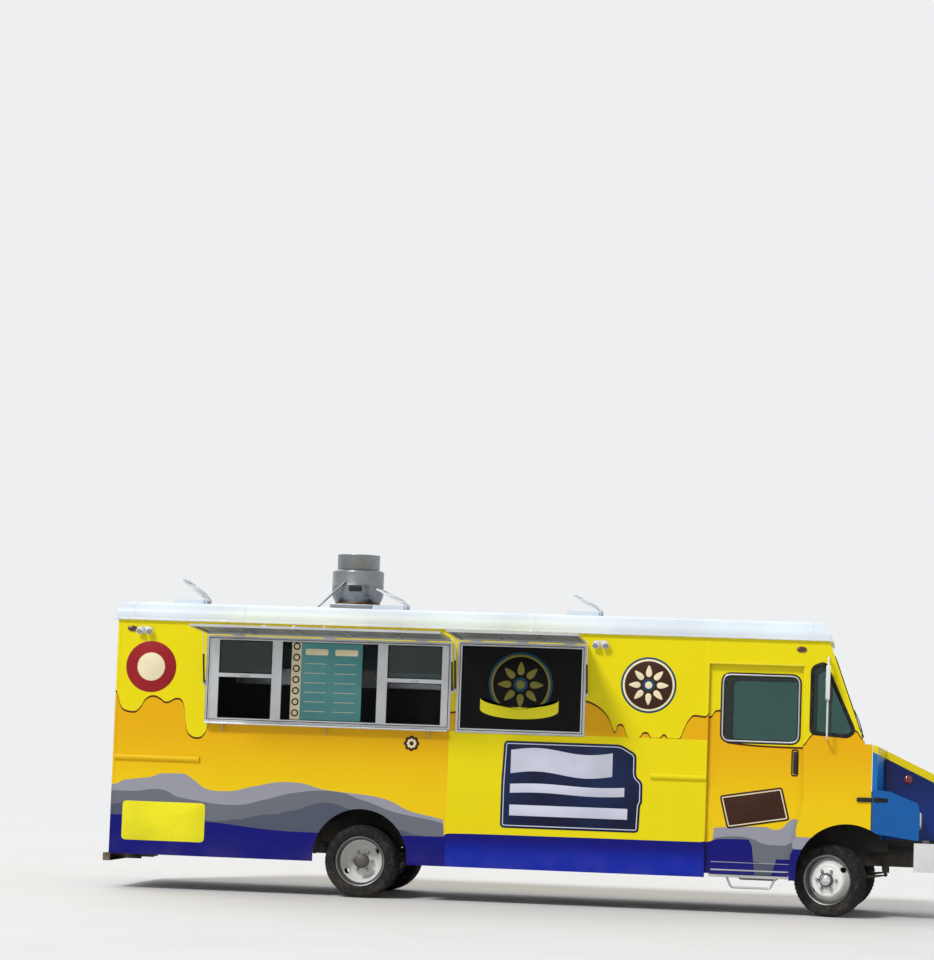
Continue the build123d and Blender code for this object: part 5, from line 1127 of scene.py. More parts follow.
@dataclass
class Stage(Assembly):
    """Camera, lamps, sky and floor."""

    eye: Triple = (0.3531, -35.9629, 1.8524)
    yaw: float = 0.130705
    pitch: float = 0.0815
    roll: float = 0.035591
    lens: float = 117.24
    sensor: float = 36.0
    suns: tuple[tuple[str, Triple, float, float], ...] = (("key_sun", (0.34, 0.62, -0.7), 2.1, 12.0),
                                                          ("fill_sun", (0.45, -0.6, -0.6), 0.9, 60.0))
    floor_radius: float = 3000.0
    rings: int = 24
    spokes: int = 96
    fade_start: float = 9.0
    fade_end: float = 38.0
    sky: Colour = (238, 239, 240)
    ground: Colour = (226, 226, 226)
    worn: Colour = (222, 222, 221)
    sky_light: float = 0.56

    def build(self) -> None:
        """Set up the view, the camera, the lamps, the sky and the floor."""
        bpy.context.scene.view_settings.view_transform = "Standard"
        self.camera()
        for sun in self.suns:
            self.lamp(*sun)
        self.world()
        self.floor()

    def camera(self) -> None:
        """Place the camera by its yaw, pitch and roll about the direction of +Y."""
        cy, sy, cp, sp = math.cos(self.yaw), math.sin(self.yaw), math.cos(self.pitch), math.sin(self.pitch)
        ahead = Vector((-sy * cp, cy * cp, sp))
        right = Vector((cy, sy, 0.0))
        up = right.cross(ahead)
        tilted = right * math.cos(self.roll) + up * math.sin(self.roll)
        upright = up * math.cos(self.roll) - right * math.sin(self.roll)
        camera = bpy.data.cameras.new("camera")
        camera.sensor_width, camera.lens = self.sensor, self.lens
        camera.clip_end = 4 * self.floor_radius
        thing = bpy.data.objects.new("camera", camera)
        turn = Matrix((tilted, upright, -ahead)).transposed().to_4x4()
        place = self.shop.datum.to_row(np.array([self.eye]))[0]
        thing.matrix_world = Matrix.Translation(Vector(place)) @ turn
        bpy.context.scene.collection.objects.link(thing)
        bpy.context.scene.camera = thing

    def lamp(self, name: str, way: Sequence[float], strength: float, spread: float) -> None:
        """Add one large soft sun.

        Args:
            name: Name of the lamp.
            way: Direction that its light travels.
            strength: Its strength.
            spread: Its angle in degrees, wide for soft shadows.
        """
        sun = bpy.data.lights.new(name, "SUN")
        sun.energy = strength
        sun.angle = math.radians(spread)
        thing = bpy.data.objects.new(name, sun)
        thing.rotation_euler = Vector(way).to_track_quat("-Z", "Y").to_euler()
        bpy.context.scene.collection.objects.link(thing)

    def seen(self, nodes: bpy.types.Nodes, links: bpy.types.NodeLinks) -> Socket:
        """1 for camera, glossy and transmission rays, which show the background, and 0 for other rays.

        Args:
            nodes: Nodes of the world or the material.
            links: Its links.

        Returns:
            The socket that carries the 1 or 0.
        """
        path = nodes.new("ShaderNodeLightPath")
        first, second = (nodes.new("ShaderNodeMath") for _ in range(2))
        second.use_clamp = True
        links.new(path.outputs["Is Camera Ray"], first.inputs[0])
        links.new(path.outputs["Is Glossy Ray"], first.inputs[1])
        links.new(first.outputs[0], second.inputs[0])
        links.new(path.outputs["Is Transmission Ray"], second.inputs[1])
        return second.outputs[0]

    def world(self) -> None:
        """Light from all round, and a pale backdrop for the rays that show it."""
        world = bpy.data.worlds.new("studio")
        bpy.context.scene.world = world
        world.use_nodes = True
        nodes, links = world.node_tree.nodes, world.node_tree.links
        nodes.clear()
        light = nodes.new("ShaderNodeBackground")
        light.inputs["Strength"].default_value = self.sky_light
        backdrop = nodes.new("ShaderNodeBackground")
        backdrop.inputs["Color"].default_value = linear(self.sky)
        mix = nodes.new("ShaderNodeMixShader")
        links.new(self.seen(nodes, links), mix.inputs[0])
        links.new(light.outputs[0], mix.inputs[1])
        links.new(backdrop.outputs[0], mix.inputs[2])
        links.new(mix.outputs[0], nodes.new("ShaderNodeOutputWorld").inputs[0])

    def floor(self) -> None:
        """Level disc whose colour fades into the backdrop with distance from the truck.

        Ring k of the disc has the radius floor_radius * (k / rings) ^ 4.
        """
        a = around(self.spokes)
        r = self.floor_radius * (np.arange(self.rings + 1) / self.rings) ** 4
        x, y = np.outer(r, np.cos(a)), np.outer(r, np.sin(a))
        grid = np.stack([x, y, np.zeros_like(x)], axis=-1)
        mesh = Shape().grid(grid, loop_columns=True).mesh("floor", (0, 0, 1))
        wiring = Wiring("studio_floor", self.shop.datum)
        away = wiring.nodes.new("ShaderNodeVectorMath")
        away.operation = "LENGTH"
        wiring.join(wiring.place, away.inputs[0])
        wiring.set(Base_Color=wiring.blend(wiring.ramp(wiring.noise(0.6), 0.3, 0.8), self.ground, self.worn))
        wiring.set(Roughness=0.75, Specular_IOR_Level=0.2)
        glow = wiring.nodes.new("ShaderNodeEmission")
        glow.inputs["Color"].default_value = linear(self.sky)
        fade = wiring.ramp(away.outputs["Value"], self.fade_start, self.fade_end)
        seen = self.seen(wiring.nodes, wiring.material.node_tree.links)
        mix = wiring.nodes.new("ShaderNodeMixShader")
        wiring.join(wiring.math("MULTIPLY", fade, seen), mix.inputs[0])
        wiring.join(wiring.shader.outputs[0], mix.inputs[1])
        wiring.join(glow.outputs[0], mix.inputs[2])
        wiring.join(mix.outputs[0], wiring.output.inputs["Surface"])
        mesh.materials.append(wiring.material)
        thing = bpy.data.objects.new("floor", mesh)
        bpy.context.scene.collection.objects.link(thing)


@dataclass
class WheelSet(Assembly):
    """Treaded tyres on pierced, dished wheels with their nuts and caps."""

    radius: float = 0.4055
    half_width: float = 0.113
    wall_radius: float = 0.33
    bead_drop: float = 0.062
    king_pin_y: float = 0.79
    front_y: float = 0.93
    outer_y: float = 1.03
    inner_y: float = 0.768
    steer: float = -20.0
    groove_at: tuple[float, ...] = (-0.052, -0.018, 0.018, 0.052)
    groove_width: float = 0.0052
    groove_depth: float = 0.011
    lug_count: int = 54
    lug_depth: float = 0.008
    lug_start: float = 0.058
    rib_height: float = 0.0012
    rib_pitch: float = 0.011
    rim_radius: float = 0.278
    barrel: float = 0.265
    dish: float = 0.1
    disc_flat: float = 0.17
    disc_flank: float = 0.085
    disc_bore: float = 0.1
    disc_edge: float = 0.243
    disc_wall: float = 0.012
    holes: int = 2
    hole_turn: float = 0.6
    hole_circle: float = 0.207
    hole_size: tuple[float, float] = (0.021, 0.034)
    hub_radius: float = 0.078
    cap_size: tuple[float, float] = (0.046, 0.036)
    cap_out: float = 0.1495
    nut_circle: float = 0.111
    nut_count: int = 6
    nut_foot: float = 0.012

    def tyre(self, shape: Shape, x: float, y: float) -> None:
        """Add one tyre.

        Its cross-section is y = half_width cos(f)^0.6 and r = wall_radius + h sin(f)^0.55, with f from bead to
        bead, h the height above or below the widest point. The tread falls by groove_depth in the
        grooves, and on the shoulders by lug_depth where cos(lug_count a) passes 0.3.

        Args:
            shape: Shape to add to.
            x: Place of the tyre's middle along the truck.
            y: Place of the tyre's middle across the truck.
        """
        f = np.radians(np.linspace(-52, 232, 84))
        c, s = np.cos(f), np.sin(f)
        across = self.half_width * np.sign(c) * np.abs(c) ** 0.6
        height = np.where(s > 0, self.radius - self.wall_radius, self.bead_drop)
        r = self.wall_radius + height * np.sign(s) * np.abs(s) ** 0.55
        wave = np.cos((r - 0.36) * 2 * math.pi / self.rib_pitch)
        ribs = self.rib_height * wave * np.exp(-((r - 0.352) / 0.012) ** 2)
        across = across * (1 + ribs / self.half_width)
        gaps = np.abs(across[:, None] - np.array(self.groove_at)[None, :]).min(axis=1)
        groove = (s > 0.8) * self.groove_depth * np.clip((self.groove_width - gaps) / 0.0012 + 0.5, 0, 1)
        shoulder = np.clip((np.abs(across) - self.lug_start) / 0.004, 0, 1) * (s > 0.35)
        a = around(4 * self.lug_count)[:, None]
        skew = 0.5 * np.sign(across)[None, :] * np.abs(across)[None, :] / self.half_width
        lugs = np.clip((np.cos(self.lug_count * (a + 0.02 * skew)) - 0.3) / 0.3, 0, 1)
        radius = r[None, :] - groove[None, :] - self.lug_depth * lugs * shoulder[None, :]
        grid = np.stack([x + radius * np.cos(a), np.broadcast_to(y + across, radius.shape),
                         self.radius + radius * np.sin(a)], axis=-1)
        shape.grid(grid, True, True)

    def height(self, r: Points, dish: float) -> Points:
        """Disc's section: dish out to disc_flat, then a smooth fall by disc_flank towards the barrel."""
        t = np.clip((r - self.disc_flat) / (self.disc_edge - self.disc_flat), 0, 1)
        return dish - math.copysign(self.disc_flank, dish) * t * t * (3 - 2 * t)

    def rim(self, shape: Shape, x: float, y: float, side: Side, dish: float) -> None:
        """Add the pierced disc of one wheel.

        The disc is cut into equal sectors, each with one hand hole. In radius and angle, a sector's points are
        P = H + (B - H) s, where H runs round the hole's edge and B round the sector's border, and s goes from
        0 to 1. The front skin lies at height(r), and the back skin disc_wall behind it.

        Args:
            shape: Shape to add to.
            x: Place of the wheel's middle along the truck.
            y: Place of the wheel's middle across the truck.
            side: Side that its outside faces.
            dish: Distance of the disc outwards from the wheel's middle.
        """
        n, inner, outer, half_turn = 28, self.disc_bore, self.disc_edge, math.pi / self.holes
        ahead = np.linspace(-half_turn, half_turn, n, endpoint=False)
        back = np.linspace(outer, inner, n, endpoint=False)
        r = np.concatenate([np.full(n, outer), back, np.full(n, inner), outer + inner - back])
        a = np.concatenate([ahead, np.full(n, half_turn), -ahead, np.full(n, -half_turn)])
        f = np.linspace(-math.pi / 4, 7 * math.pi / 4, 4 * n, endpoint=False)
        tall, wide = self.hole_size
        hole = np.stack([self.hole_circle + tall * np.cos(f), wide * np.sin(f) / self.hole_circle], axis=-1)
        share = (np.linspace(0, 1, 9) ** 1.3)[:, None, None]
        flat = hole + (np.stack([r, a], axis=-1) - hole) * share

        def skin(polar: Points, depth: float, turn: float) -> Points:
            """Points of a skin turned about the axle and laid on the disc's section.

            Args:
                polar: Radius and angle of each point.
                depth: Distance behind the front skin.
                turn: Angle that the points are turned by.

            Returns:
                The points in the truck's frame.
            """
            radius, angle = polar[..., 0], polar[..., 1] + turn
            out = y + side.value * (self.height(radius, dish) - depth)
            return np.stack([x + radius * np.cos(angle), out, self.radius + radius * np.sin(angle)], axis=-1)

        turns = self.hole_turn + 2 * half_turn * np.arange(self.holes)
        for turn in turns:
            both = np.concatenate([skin(flat[::-1], 0.0, turn), skin(flat, self.disc_wall, turn)])
            shape.grid(both, loop_columns=True)
        g = (ahead + turns[:, None]).ravel()
        for radius in (inner, outer):
            ring = np.column_stack([np.full(len(g), radius), g])
            shape.grid(np.stack([skin(ring, 0.0, 0.0), skin(ring, self.disc_wall, 0.0)]), loop_columns=True)
        shape.spin(np.array([[0, dish - 0.014], [0.134, dish - 0.014], [0.137, dish - 0.01], [0.137, dish + 0.004],
                             [0.131, dish + 0.008], [0, dish + 0.01]]), (x, y, self.radius), (0, side.value, 0), 48)

    def lip(self, shape: Shape, x: float, y: float, side: Side) -> None:
        """Add the barrel of one wheel, with its well and rolled lips.

        Args:
            shape: Shape to add to.
            x: Place of the wheel's middle along the truck.
            y: Place of the wheel's middle across the truck.
            side: Side that its outside faces.
        """
        w, lip = self.barrel, self.rim_radius
        shape.spin(np.array([[w, -0.1], [lip - 0.004, -0.103], [lip, -0.1], [lip, -0.094], [w + 0.001, -0.088],
                             [w - 0.018, -0.04], [w - 0.018, 0.04], [w + 0.001, 0.088], [lip, 0.094], [lip, 0.1],
                             [lip - 0.004, 0.103], [w, 0.1], [w - 0.008, 0.09], [w - 0.026, 0.04], [w - 0.026, -0.04],
                             [w - 0.008, -0.09]]), (x, y, self.radius), (0, side.value, 0), 64)

    def nuts(self, shape: Shape, x: float, y: float, side: Side) -> None:
        """Add a ring of capped wheel nuts on a plane at y.

        Args:
            shape: Shape to add to.
            x: Place of the wheel's middle along the truck.
            y: Place of the nuts' foot across the truck.
            side: Side that they face.
        """
        profile = np.array([[0, -0.004], [0.021, -0.004], [0.021, 0.004], [0.016, 0.008], [0.0145, 0.026],
                            [0.011, 0.033], [0, 0.035]])
        for a in 2 * math.pi * np.arange(self.nut_count) / self.nut_count:
            centre = (x + self.nut_circle * math.cos(a), y, self.radius + self.nut_circle * math.sin(a))
            shape.spin(profile, centre, (0, side.value, 0), 12)

    def cap(self, shape: Shape, y: float, side: Side) -> None:
        """Add a front wheel's domed hub cap, standing out from y.

        Args:
            shape: Shape to add to.
            y: Place of its foot across the truck.
            side: Side that it faces.
        """
        radius, rise = self.cap_size
        t = bend(8)
        dome = np.column_stack([radius * np.cos(t), 0.02 + (rise - 0.02) * np.sin(t)])
        foot = [[0, -0.002], [radius + 0.012, -0.002], [radius + 0.012, 0.006], [radius, 0.008]]
        shape.spin(np.vstack([foot, dome]), (0, y, self.radius), (0, side.value, 0), 36)

    def build(self) -> None:
        """Make the tyres and wheels of all four corners."""
        for side in Side:
            self.front(side)
            self.rear(side)

    def front(self, side: Side) -> None:
        """Make the tyre and wheel of one front corner, turned about its king pin.

        Args:
            side: Side of the truck.
        """
        tyre, rim, lip, nuts, cap, hub = (Shape() for _ in range(6))
        y, r = side.value * self.front_y, self.hub_radius
        self.tyre(tyre, 0, y)
        self.rim(rim, 0, y, side, self.dish)
        self.lip(lip, 0, y, side)
        self.nuts(nuts, 0, y + side.value * (self.dish + self.nut_foot), side)
        hub.spin(np.array([[0, -0.065], [r, -0.065], [r, 0.143], [r - 0.006, 0.149], [0, 0.149]]),
                 (0, y, self.radius), (0, side.value, 0), 40)
        self.cap(cap, y + side.value * self.cap_out, side)
        for shape, part, paint in ((tyre, "tyre", Palette.TYRE), (rim, "rim", Palette.DISC),
                                   (lip, "barrel", Palette.BARREL), (nuts, "nuts", Palette.STEEL),
                                   (cap, "hub_cap", Palette.CHROME), (hub, "hub", Palette.CAST)):
            shape.turned((0, side.value * self.king_pin_y, 0), (0, 0, 1), self.steer)
            name, slot = f"front_{part}_{side.label}", "tyre_rubber" if part == "tyre" else "wheel_paint"
            gone = (name,) if part in ("tyre", "rim") else ()
            self.shop.piece(f"{name}_dressed", shape, paint, slot, f"front_wheel_{side.label}", gone)

    def rear(self, side: Side) -> None:
        """Make the twin tyres and wheels of one rear corner.

        Args:
            side: Side of the truck.
        """
        tyres, rims, lips, nuts, hub = (Shape() for _ in range(5))
        outer, r, name = side.value * self.outer_y, self.hub_radius, side.label
        for y, dish in ((self.outer_y, -self.dish), (self.inner_y, self.dish)):
            self.tyre(tyres, REAR_AXLE, side.value * y)
            self.rim(rims, REAR_AXLE, side.value * y, side, dish)
            self.lip(lips, REAR_AXLE, side.value * y, side)
        self.nuts(nuts, REAR_AXLE, outer - side.value * (self.dish - self.nut_foot), side)
        t = bend(6)
        end = np.column_stack([0.066 * np.cos(t), 0.05 + 0.012 * np.sin(t)])
        hub.spin(np.vstack([[[0, -0.322], [r, -0.322], [r, 0.044], [r - 0.008, 0.05]], end]),
                 (REAR_AXLE, outer, self.radius), (0, side.value, 0), 40)
        body = f"rear_wheel_{name}"
        self.shop.piece(f"rear_tyres_{name}_dressed", tyres, Palette.TYRE, "tyre_rubber", body,
                        (f"rear_tyres_{name}",))
        self.shop.piece(f"rear_rims_{name}_dressed", rims, Palette.DISC, "wheel_paint", body, (f"rear_rims_{name}",))
        self.add("wheel_paint", body, (f"rear_barrels_{name}", lips, Palette.BARREL),
                 (f"rear_nuts_{name}", nuts, Palette.STEEL), (f"rear_hub_{name}", hub, Palette.CAST))


@dataclass
class Body(Assembly):
    """Wrapped walls, floor and running gear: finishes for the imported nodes, with seams and rivets on the skin."""

    front: float = -1.429
    skirt: float = 0.39
    arch_half: float = 0.545
    rivet_radius: float = 0.006
    row_pitch: float = 0.09
    post_pitch: float = 0.12
    post_places: tuple[float, ...] = (-8.11, -7.42, -4.28, -2.78, -2.12, -1.47)
    short_posts: tuple[float, ...] = (-4.28, -2.78)
    short_top: float = 1.8
    liner_y: float = 0.6
    liners: tuple[Bounds, ...] = ((REAR_AXLE, 0.54, 0.6, 0.93), (0.1, 0.48, 0.72, 1.0))

    def build(self) -> None:
        """Finish the shell's nodes and add its seams, rails and rivets."""
        dress = self.shop.dress
        dress(Palette.LIVERY, "side_wall_right", "side_wall_left", "cab_side_right", "cab_side_left", "cab_front",
              "rear_wall", "rear_door_right", "rear_door_left", "sliding_door_right", "sliding_door_left")
        dress(Palette.ROOF, "roof")
        dress(Palette.INTERIOR, "body_floor")
        dress(Palette.CHASSIS, "chassis_frame", "front_axle", "rear_axle", "knuckle_right", "knuckle_left",
              "wheel_houses", "tank_and_exhaust", "rear_bumper")
        dress(Palette.CAST, "engine_block")
        dress(Palette.BUMPER, "front_bumper")
        dress(Palette.ALUMINIUM, "entry_steps")
        dress(Palette.STEEL, "kitchen_units", "prep_counter", "range_hood")
        dress(Palette.BLACK, "cab_fittings", "engine_cover", "steering_wheel")
        dress(Palette.GLASS, "body_glass", "sliding_glass_right", "sliding_glass_left")
        for side in Side:
            self.skin_trim(side)
            self.wheel_liner(side)

    def wheel_liner(self, side: Side) -> None:
        """Dark inner panels behind the wheels, which close the view from one arch to the other.

        Args:
            side: Side of the truck.
        """
        panels = Shape()
        for x, half, low, high in self.liners:
            panels.plate(side_face(side, self.liner_y), rounded(x - half, x + half, low, high, 0.03), 0.0, 0.004)
        self.shop.piece(f"wheel_liners_{side.label}", panels, Palette.CHASSIS, "chassis_black")

    def rivets(self, shape: Shape, face: Face, spots: Points) -> None:
        """Add domed rivet heads: r = R cos(t), height = 0.4 R sin(t).

        Args:
            shape: Shape to add to.
            face: Plane that carries the rivets.
            spots: (across, up) of each rivet on that plane.
        """
        t = bend(4)
        dome = np.column_stack([self.rivet_radius * np.cos(t), 0.4 * self.rivet_radius * np.sin(t)])
        profile = np.vstack([[[0, -0.001], [self.rivet_radius, -0.001]], dome])
        for u, v in spots:
            shape.spin(profile, face.lift(np.array([[u, v, 0.0]]))[0], face.out, 8)

    def skin_trim(self, side: Side) -> None:
        """Rivet rows under the eaves and along the skirt, and lapped strips over the panel joints.

        Args:
            side: Side of the truck.
        """
        face = side_face(side, HALF_WIDTH)
        rivets, strips = Shape(), Shape()
        along = np.arange(BODY_REAR + 0.05, self.front, self.row_pitch)
        self.rivets(rivets, face, np.column_stack([along, np.full(len(along), EAVES - 0.03)]))
        low = along[np.abs(along - REAR_AXLE) > 0.6]
        self.rivets(rivets, face, np.column_stack([low, np.full(len(low), self.skirt + 0.025)]))
        for x in self.post_places:
            high = np.arange(self.skirt + 0.1, EAVES - 0.08, self.post_pitch)
            if side is Side.RIGHT and x in self.short_posts:
                high = high[high < self.short_top]
            self.rivets(rivets, face, np.column_stack([np.full(len(high), x), high]))
        rear, arch = BODY_REAR + 0.002, REAR_AXLE
        for x0, x1 in ((rear, arch - self.arch_half), (arch + self.arch_half, self.front - 0.002)):
            strips.plate(face, rectangle(x0, x1, self.skirt, self.skirt + 0.014), -0.001, 0.006)
        for x0, x1 in ((rear, BODY_REAR + 0.032), (self.front - 0.03, self.front - 0.001)):
            strips.plate(face, rectangle(x0, x1, self.skirt, EAVES - 0.004), -0.001, 0.003)
        self.add("yellow_paint", "truck", (f"skin_rivets_{side.label}", rivets, Palette.LIVERY),
                 (f"skin_strips_{side.label}", strips, Palette.LIVERY))


@dataclass
class RoofTop(Assembly):
    """Drip rail, cap seams, domed vent lids and the upblast fan."""

    crown: float = 3.24
    rear: float = -8.18
    front: float = -0.105
    half_width: float = 1.212
    lip: float = 0.022
    gutter: float = 0.02
    cap_radius: float = 0.165
    seam_places: tuple[float, ...] = (-7.99, -6.72, -4.08, -3.42, -2.0, -0.32)
    seam_height: float = 0.0035
    vents: tuple[tuple[str, float], ...] = (("rear", -4.945), ("front", -2.72))
    tail_vent: float = -7.265
    vent_y: float = -0.6
    vent_size: float = 0.36
    vent_open: float = 26.0
    tail_vent_open: float = 36.0
    vent_pin: float = 0.014
    vent_pin_z: float = 3.312
    vent_foot: float = 3.304
    hinge_places: tuple[float, ...] = (-0.12, 0.12)
    hinge_half: float = 0.0105
    lug_places: tuple[float, ...] = (-0.138, -0.102, 0.102, 0.138)
    fan_x: float = -5.61
    curb_half: float = 0.275
    stay: tuple[Triple, Triple] = ((-0.43, -0.34, 0.004), (-0.1, -0.29, 0.34))

    def build(self) -> None:
        """Make everything on and round the roof cap."""
        self.eaves_trim()
        self.seams()
        for name, hinge in self.vents:
            self.vent_lid(f"vent_lid_{name}", hinge, self.vent_open, True)
        self.vent_curb()
        self.vent_lid("tail_vent", self.tail_vent, self.tail_vent_open, False)
        self.fan()

    def eaves_trim(self) -> None:
        """Rolled edge of the drip rail, carried round the whole roof."""
        outline = rounded(self.rear - self.lip, self.front + self.lip, -self.half_width - self.lip,
                          self.half_width + self.lip, 0.03)
        rail = Shape().moulding(top_face(EAVES), outline, half_round(0.0, 0.012, 0.012, 7, -0.006))
        gutter = Shape().moulding(top_face(EAVES + self.gutter), outline, half_round(0.001, 0.009, 0.007))
        self.add("roof_white", "truck", ("drip_rail_edge", rail, Palette.WHITE),
                 ("gutter_bead", gutter, Palette.WHITE))

    def section(self, lift: float) -> Points:
        """Roof cap's cross-section from eaves to eaves: straight sides, quarter circles and a flat crown.

        Args:
            lift: Distance out from the cap's surface.

        Returns:
            (Y, Z) points, one row each.
        """
        t, r = bend(9), self.cap_radius
        centre_y, centre_z = self.half_width - r, self.crown - r
        right = np.column_stack([-(centre_y + (r + lift) * np.cos(t)), centre_z + (r + lift) * np.sin(t)])
        left = right[::-1] * np.array([-1, 1])
        foot = np.array([[-(self.half_width + lift), EAVES + self.gutter]])
        return np.vstack([foot, right, left, foot * np.array([-1, 1])])

    def seams(self) -> None:
        """Cover strips over the joints between the roof sheets, each a band that follows the cap's section."""
        shape = Shape()
        inner, outer = self.section(-0.001), self.section(self.seam_height)
        ring, flat = np.vstack([outer, inner[::-1]]), np.vstack([inner, inner[::-1]])
        for x in self.seam_places:
            levels = [(x - 0.022, 0.0), (x - 0.02, 1.0), (x + 0.02, 1.0), (x + 0.022, 0.0)]
            rows = [np.column_stack([np.full(len(ring), at), flat + (ring - flat) * on]) for at, on in levels]
            shape.grid(np.array(rows), loop_columns=True)
        self.shop.piece("roof_seams", shape, Palette.ROOF, "roof_white")

    def vent_lid(self, name: str, hinge: float, opened: float, packed: bool) -> None:
        """Domed lid on its hinge, turned up to its open rest.

        Args:
            name: Name of the lid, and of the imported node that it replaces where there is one.
            hinge: Place of its hinge along the roof.
            opened: Angle at rest in degrees.
            packed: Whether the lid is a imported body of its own.
        """
        lid, hinges = Shape(), Shape()
        half, grip, face = self.vent_size / 2 + 0.006, self.hinge_half, top_face(self.vent_foot)
        outline = rounded(hinge - self.vent_size - 0.008, hinge - 0.004, self.vent_y - half, self.vent_y + half, 0.05)
        lid.pillow(face, outline, ((0.016, 0.004), (0.006, 0.0), (0, 0.002), (0, 0.014), (0.006, 0.019),
                                   (0.02, 0.021), (0.06, 0.03), (0.12, 0.034)))
        knuckle = np.array([[0.0043, -grip], [0.009, -grip], [0.009, grip], [0.0043, grip]])
        for y in np.add(self.hinge_places, self.vent_y):
            hinges.plate(face, rounded(hinge - 0.03, hinge + 0.012, y - grip, y + grip, 0.006), 0.002, 0.014)
            hinges.spin(knuckle, (hinge + self.vent_pin, y, self.vent_pin_z), (0, 1, 0), 16)
        body = name if packed else "truck"
        for shape, part, paint in ((lid, "dome", Palette.VENT), (hinges, "hinges", Palette.ALUMINIUM)):
            shape.turned((hinge + self.vent_pin, 0, self.vent_pin_z), (0, 1, 0), opened)
            gone = (name,) if packed and part == "dome" else ()
            self.shop.piece(f"{name}_{part}", shape, paint, "roof_white", body, gone)

    def vent_curb(self) -> None:
        """Square upstand and hinge lugs under the rearmost lid."""
        x, half, face = self.tail_vent, self.vent_size / 2, top_face(self.crown)
        square = rounded(x - self.vent_size, x, self.vent_y - half, self.vent_y + half, 0.012)
        wall = np.array([[0.0, -0.002], [0.0, 0.056], [0.002, 0.058], [0.018, 0.058], [0.02, 0.056], [0.02, -0.002]])
        curb = Shape().moulding(face, square, wall)
        for y in np.add(self.lug_places, self.vent_y):
            curb.plate(face, rounded(x + 0.001, x + 0.024, y - 0.005, y + 0.005, 0.003), -0.002, 0.078)
        self.shop.piece("tail_vent_curb", curb, Palette.ROOF, "roof_white")

    def fan(self) -> None:
        """Upblast fan: folded curb, spun bowl, grease ring, upper band, motor cover, arms, stay and switch box."""
        centre, up, half = np.array((self.fan_x, 0.0, self.crown)), (0, 0, 1), self.curb_half
        curb, bowl, band, dark = Shape(), Shape(), Shape(), Shape()
        wall = np.array([[0.0, 0.0], [0.0, 0.07], [0.004, 0.08], [0.045, 0.08], [0.045, 0.0]])
        curb.moulding(top_face(self.crown), rounded(self.fan_x - half, self.fan_x + half, -half, half, 0.02), wall)
        t = np.linspace(0, 1, 10)
        rising, falling = np.sin(t * math.pi / 2), np.cos(t * math.pi / 2)
        flare = np.column_stack([0.25 + 0.05 * rising, 0.09 + 0.12 * t])
        shoulder = np.column_stack([0.3 - 0.055 * (1 - falling), 0.455 + 0.03 * rising])
        outer = np.vstack([[[0.25, 0.08]], flare, [[0.3, 0.3], [0.302, 0.305], [0.3, 0.31]], shoulder])
        bowl.spin(np.vstack([outer, outer[::-1] - np.array([0.008, 0.0])]), centre, up, 64)
        band.spin(np.array([[0.245, 0.478], [0.247, 0.482], [0.246, 0.64], [0.249, 0.652], [0.246, 0.66],
                            [0.238, 0.66], [0.238, 0.478]]), centre, up, 64)
        cover = np.column_stack([0.15 * falling, 0.53 + 0.07 * rising])
        band.spin(np.vstack([[[0, 0.4], [0.15, 0.4]], cover]), centre, up, 48)
        t = np.linspace(0, 1, 12)
        foot, head = (centre + np.array(end) for end in self.stay)
        band.tube(foot + (head - foot) * t[:, None], 0.011, 10)
        pad = np.array([[0, 0.0], [0.034, 0.0], [0.034, 0.006], [0.016, 0.012], [0, 0.014]])
        band.spin(pad, foot - [0, 0, 0.004], up, 24)
        for a in 0.6 + np.arange(4) * math.pi / 2:
            way = np.array([math.cos(a), math.sin(a), 0])
            band.tube(centre + np.array([0, 0, 0.46]) + way * np.linspace(0.14, 0.242, 6)[:, None], 0.01, 8)
        box = side_face(Side.RIGHT, 0.302, self.fan_x + 0.02, self.crown + 0.26)
        dark.plate(box, rounded(-0.075, 0.075, -0.032, 0.032, 0.01), -0.012, 0.016)
        grease = np.column_stack([0.2545 + 0.012 * np.sin(t * math.pi), 0.082 + 0.03 * t])
        rust = Shape().spin(np.vstack([grease, [[0.25, 0.112], [0.25, 0.082]]]), centre, up, 64)
        self.shop.piece("fan_curb", curb, Palette.SPUN, "fan_aluminium")
        self.shop.piece("fan_bowl", bowl, Palette.SPUN, "fan_aluminium", replaces=("exhaust_fan",))
        self.add("fan_aluminium", "truck", ("fan_band", band, Palette.SPUN), ("fan_switch_box", dark, Palette.BLACK),
                 ("fan_grease_ring", rust, Palette.RUST_RING))


@dataclass(frozen=True)
class Opening:
    """One opening in the right wall, with its hatch."""

    name: str
    rear: float
    front: float
    sill: float
    head: float

    @property
    def hinge_z(self) -> float:
        """Height of the hatch's hinge line."""
        return self.head + 0.048

    def outline(self, side: float, foot: float, top: float) -> Points:
        """Outline of the opening, wider by side at both ends, foot below and top above, with tight corners."""
        return rounded(self.rear - side, self.front + side, self.sill - foot, self.head + top, 0.004, 3)


